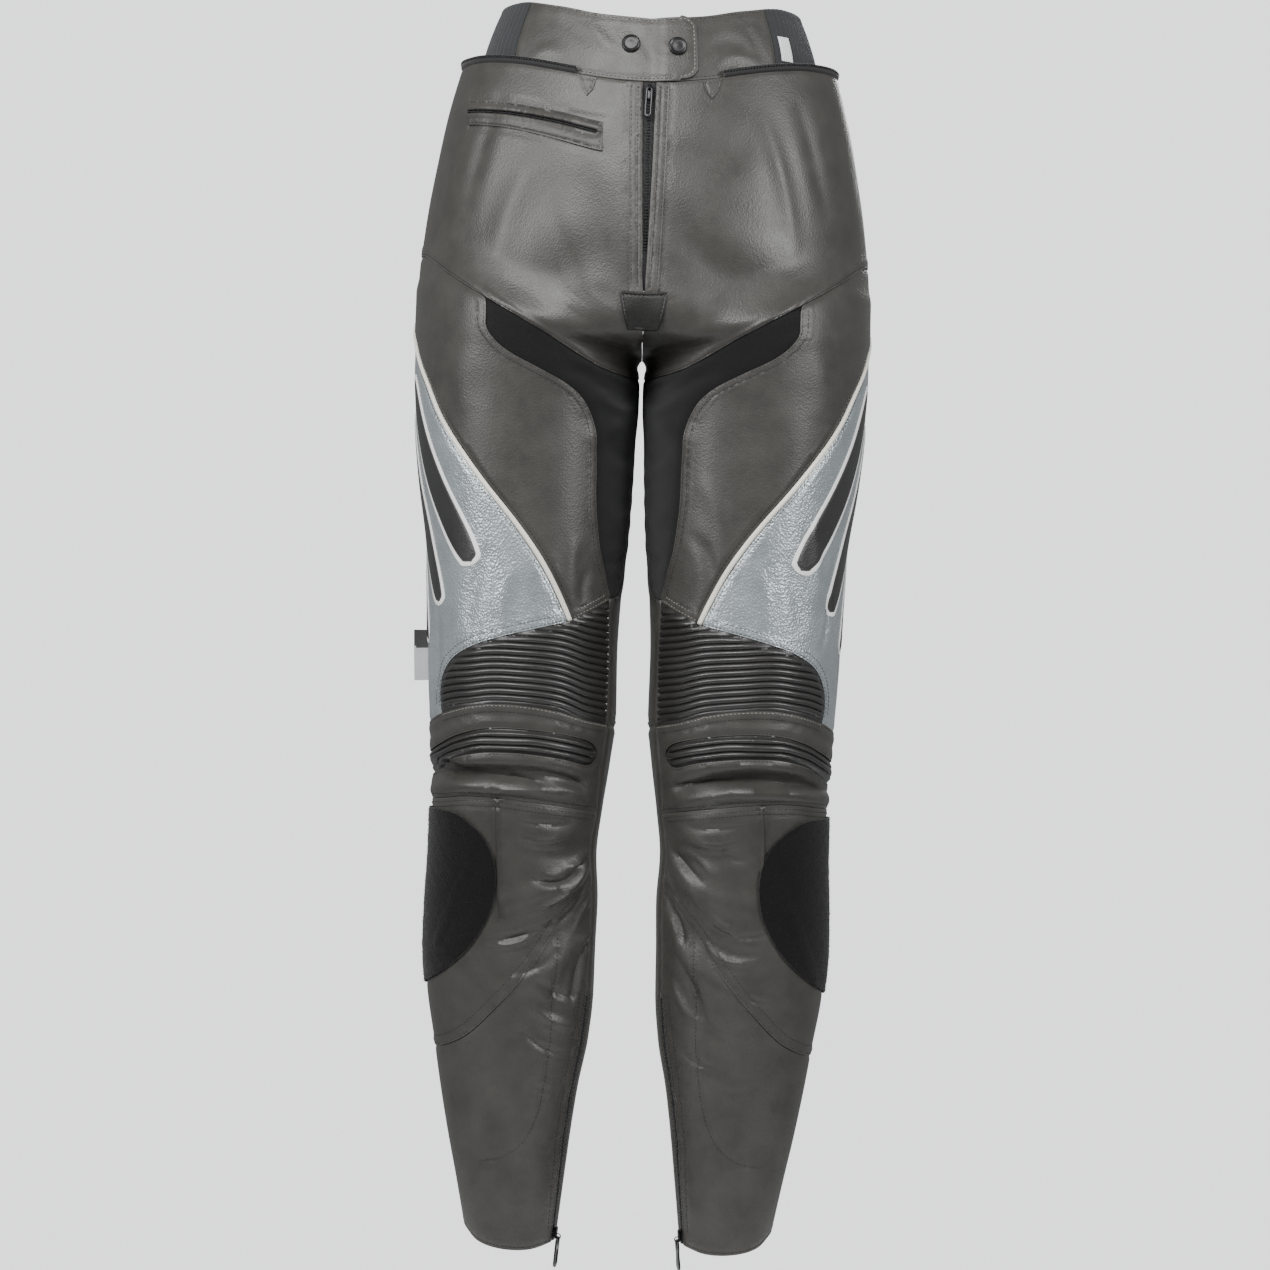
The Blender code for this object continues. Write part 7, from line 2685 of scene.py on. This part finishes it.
    def joining_zip(self) -> None:
        """The rolled zip that runs round the waist seam, from tab to tab."""
        leg = self.leg
        turns = np.linspace(leg.turn_at(62.0, 0.0), leg.turn_at(0.0, 0.0, back=True), 110)
        flat = leg.to_flat(np.column_stack([turns, np.zeros(110)]))
        base, outs = surface_line(leg, flat, -0.8)
        outs = outs * [leg.side, 1, 1]
        base = base * [leg.side, 1, 1] / MM
        outs[:, 2] = 0
        outs[-1] = (0, 1, 0)
        base[-1, 0] = 0
        outs /= np.linalg.norm(outs, axis=1, keepdims=True)
        base[:, 2] += 3.3
        path = np.vstack([base, base[:-1][::-1] * [-1, 1, 1]])
        outs = np.vstack([outs, outs[:-1][::-1] * [-1, 1, 1]])
        up = np.array([0.0, 0.0, 1.0])
        sides = 20
        points = []
        for i, (spot, out) in enumerate(zip(path, outs)):
            sway = 0.3 * math.sin(i / 7.0) + 0.2 * math.sin(i / 2.9)
            for k in range(sides):
                turn = math.tau * k / sides
                lip = 1 + 0.22 * math.exp(-((turn - 2.4) / 0.35)**2)
                lip += 0.45 * math.exp(-((turn - math.pi) / 0.3)**2)
                points.append(spot + up * (3.0 * lip * math.cos(turn) + sway * 0.5)
                              + out * (2.4 * lip * math.sin(turn)))
        add_piece("joining_zip", [(np.array(points), tube_faces(len(path), sides))], TAPE)
        line = path + outs * 2.2 + up * 1.3
        Teeth("joining_zip_teeth", pitch=2.6, size=(1.4, 2.0, 0.9)).build([(line * MM, outs)])


def side_label(leg: Leg) -> None:
    """The bare folded label at the side of the right leg.

    Args:
        leg: The leg.
    """
    rows, columns = 26, 8
    points = []
    for sign in (-1, 1):
        for down in np.linspace(-482, -525, rows):
            mount = Mount.on(leg, 0.497, down, 0.0)
            for share in np.linspace(0, 1, columns):
                wave = 0.9 * share * math.sin((down + 482) / 11)
                points.append(mount.at(wave + sign * 0.45, 0, -0.2 + 12.4 * share))
    faces = []
    count = rows * columns
    for j in range(rows - 1):
        for k in range(columns - 1):
            a = j * columns + k
            faces.append((a, a + 1, a + columns + 1, a + columns))
            faces.append((count + a, count + a + columns, count + a + columns + 1,
                          count + a + 1))
    rim = [k for k in range(columns)] + [j * columns + columns - 1 for j in range(1, rows)]
    rim += [(rows - 1) * columns + k for k in range(columns - 2, -1, -1)]
    rim += [j * columns for j in range(rows - 2, 0, -1)]
    for a, b in zip(rim, rim[1:] + rim[:1]):
        faces.append((a, b, count + b, count + a))
    obj = add_piece("side_label", [(np.array(points), faces)], GREY_SATIN)
    obj.data.materials.append(BLACK_SATIN.made())
    top = max(v.co.z for v in obj.data.vertices)
    for poly in obj.data.polygons:
        poly.material_index = 1 if poly.center.z > top - 15 * MM else 0


FLOOR_LEVEL = -1.16
FLOOR_RADIUS = 0.6
# Strength of the pale surroundings as a light, and as the camera sees them.
WORLD_LIGHT = 0.33
WORLD_SEEN = 1.9


class Studio:
    """Floor, light and camera."""

    def build(self) -> None:
        """Set the stage."""
        self.floor()
        self.lights()
        self.camera()

    def floor(self) -> None:
        """A pale round floor below the object, just out of the camera's sight."""
        points = [(0.0, 0.0, FLOOR_LEVEL)]
        points += [(FLOOR_RADIUS * math.cos(t), FLOOR_RADIUS * math.sin(t), FLOOR_LEVEL)
                   for t in np.linspace(0, math.tau, 96, endpoint=False)]
        faces = [(0, i, i % 96 + 1) for i in range(1, 97)]
        mesh = bpy.data.meshes.new("floor")
        mesh.from_pydata(points, [], faces)
        mesh.shade_smooth()
        obj = bpy.data.objects.new("floor", mesh)
        bpy.context.scene.collection.objects.link(obj)
        paper = bpy.data.materials.new("painted_studio_paper_pale")
        paper.use_nodes = True
        shader = paper.node_tree.nodes["Principled BSDF"]
        place = paper.node_tree.nodes.new("ShaderNodeTexCoord").outputs["Object"]
        noise = add_node(paper.node_tree, "ShaderNodeTexNoise", {"Scale": 3.0},
                         {"Vector": place})
        tone = add_node(paper.node_tree, "ShaderNodeMapRange",
                        {"To Min": 0.82, "To Max": 0.86}, {"Value": noise.outputs["Fac"]})
        tint = add_node(paper.node_tree, "ShaderNodeVectorMath",
                        {"operation": "SCALE", 0: (0.985, 0.99, 1.0)},
                        {"Scale": tone.outputs["Result"]})
        paper.node_tree.links.new(tint.outputs["Vector"], shader.inputs["Base Color"])
        shader.inputs["Roughness"].default_value = 0.9
        mesh.materials.append(paper)

    def lights(self) -> None:
        """Pale surroundings, a large soft light above the front, two beside and one behind."""
        world = bpy.data.worlds.new("studio")
        bpy.context.scene.world = world
        world.use_nodes = True
        tree = world.node_tree
        seen = tree.nodes.new("ShaderNodeLightPath").outputs["Is Camera Ray"]
        strength = add_node(tree, "ShaderNodeMapRange",
                            {"To Min": WORLD_LIGHT, "To Max": WORLD_SEEN}, {"Value": seen})
        shade = tree.nodes["Background"]
        shade.inputs["Color"].default_value = (0.97, 0.98, 1.0, 1.0)
        tree.links.new(strength.outputs["Result"], shade.inputs["Strength"])
        for name, place, target, size, power in (
                ("key", (-0.45, -1.7, 0.95), (0, 0, -0.05), (1.3, 0.8), 50.0),
                ("left_box", (-1.7, -1.3, 0.3), (0, 0, -0.2), (0.5, 1.0), 33.0),
                ("right_box", (1.7, -1.3, 0.3), (0, 0, -0.2), (0.5, 1.0), 34.0),
                ("back_light", (0.5, 2.3, 0.9), (0, 0, -0.45), (1.4, 1.0), 60.0)):
            light = bpy.data.lights.new(name, "AREA")
            light.shape = "RECTANGLE"
            light.size, light.size_y = size
            light.energy = power
            obj = bpy.data.objects.new(name, light)
            obj.location = place
            obj.rotation_euler = (Vector(target) - Vector(place)).to_track_quat(
                "-Z", "Y").to_euler()
            bpy.context.scene.collection.objects.link(obj)

    def camera(self) -> None:
        """A camera where the photograph was taken from, rolled by its small tilt."""
        lens = bpy.data.cameras.new("camera")
        lens.lens = 92.3
        lens.sensor_width = 36.0
        lens.clip_end = 50
        obj = bpy.data.objects.new("camera", lens)
        obj.matrix_world = (Matrix.Translation((0.0006, -2.8, -0.4816))
                            @ Matrix.Rotation(math.radians(90), 4, "X")
                            @ Matrix.Rotation(math.radians(1.6), 4, "Z"))
        bpy.context.scene.collection.objects.link(obj)
        bpy.context.scene.camera = obj


def main() -> None:
    """Build the garment assembly by assembly."""
    logging.basicConfig(level=logging.INFO, format="%(message)s")
    legs = [Leg(Side.RIGHT), Leg(Side.LEFT)]
    light = Sewing("stitching_light", LIGHT_THREAD, seed=3)
    dark = Sewing("stitching_dark", DARK_THREAD, seed=5)
    for leg in legs:
        HipsAndSeat(leg, light, dark).build()
        thigh = Thigh(leg, light, dark)
        thigh.build()
        Knee(leg, light, dark).build(thigh)
        Shin(leg, light, dark).build()
    Fly(legs[1], light, dark).build()
    Waistband(legs[1], light, dark).build()
    side_label(legs[0])
    light.build()
    dark.build()
    Studio().build()


if __name__ == "__main__":
    main()
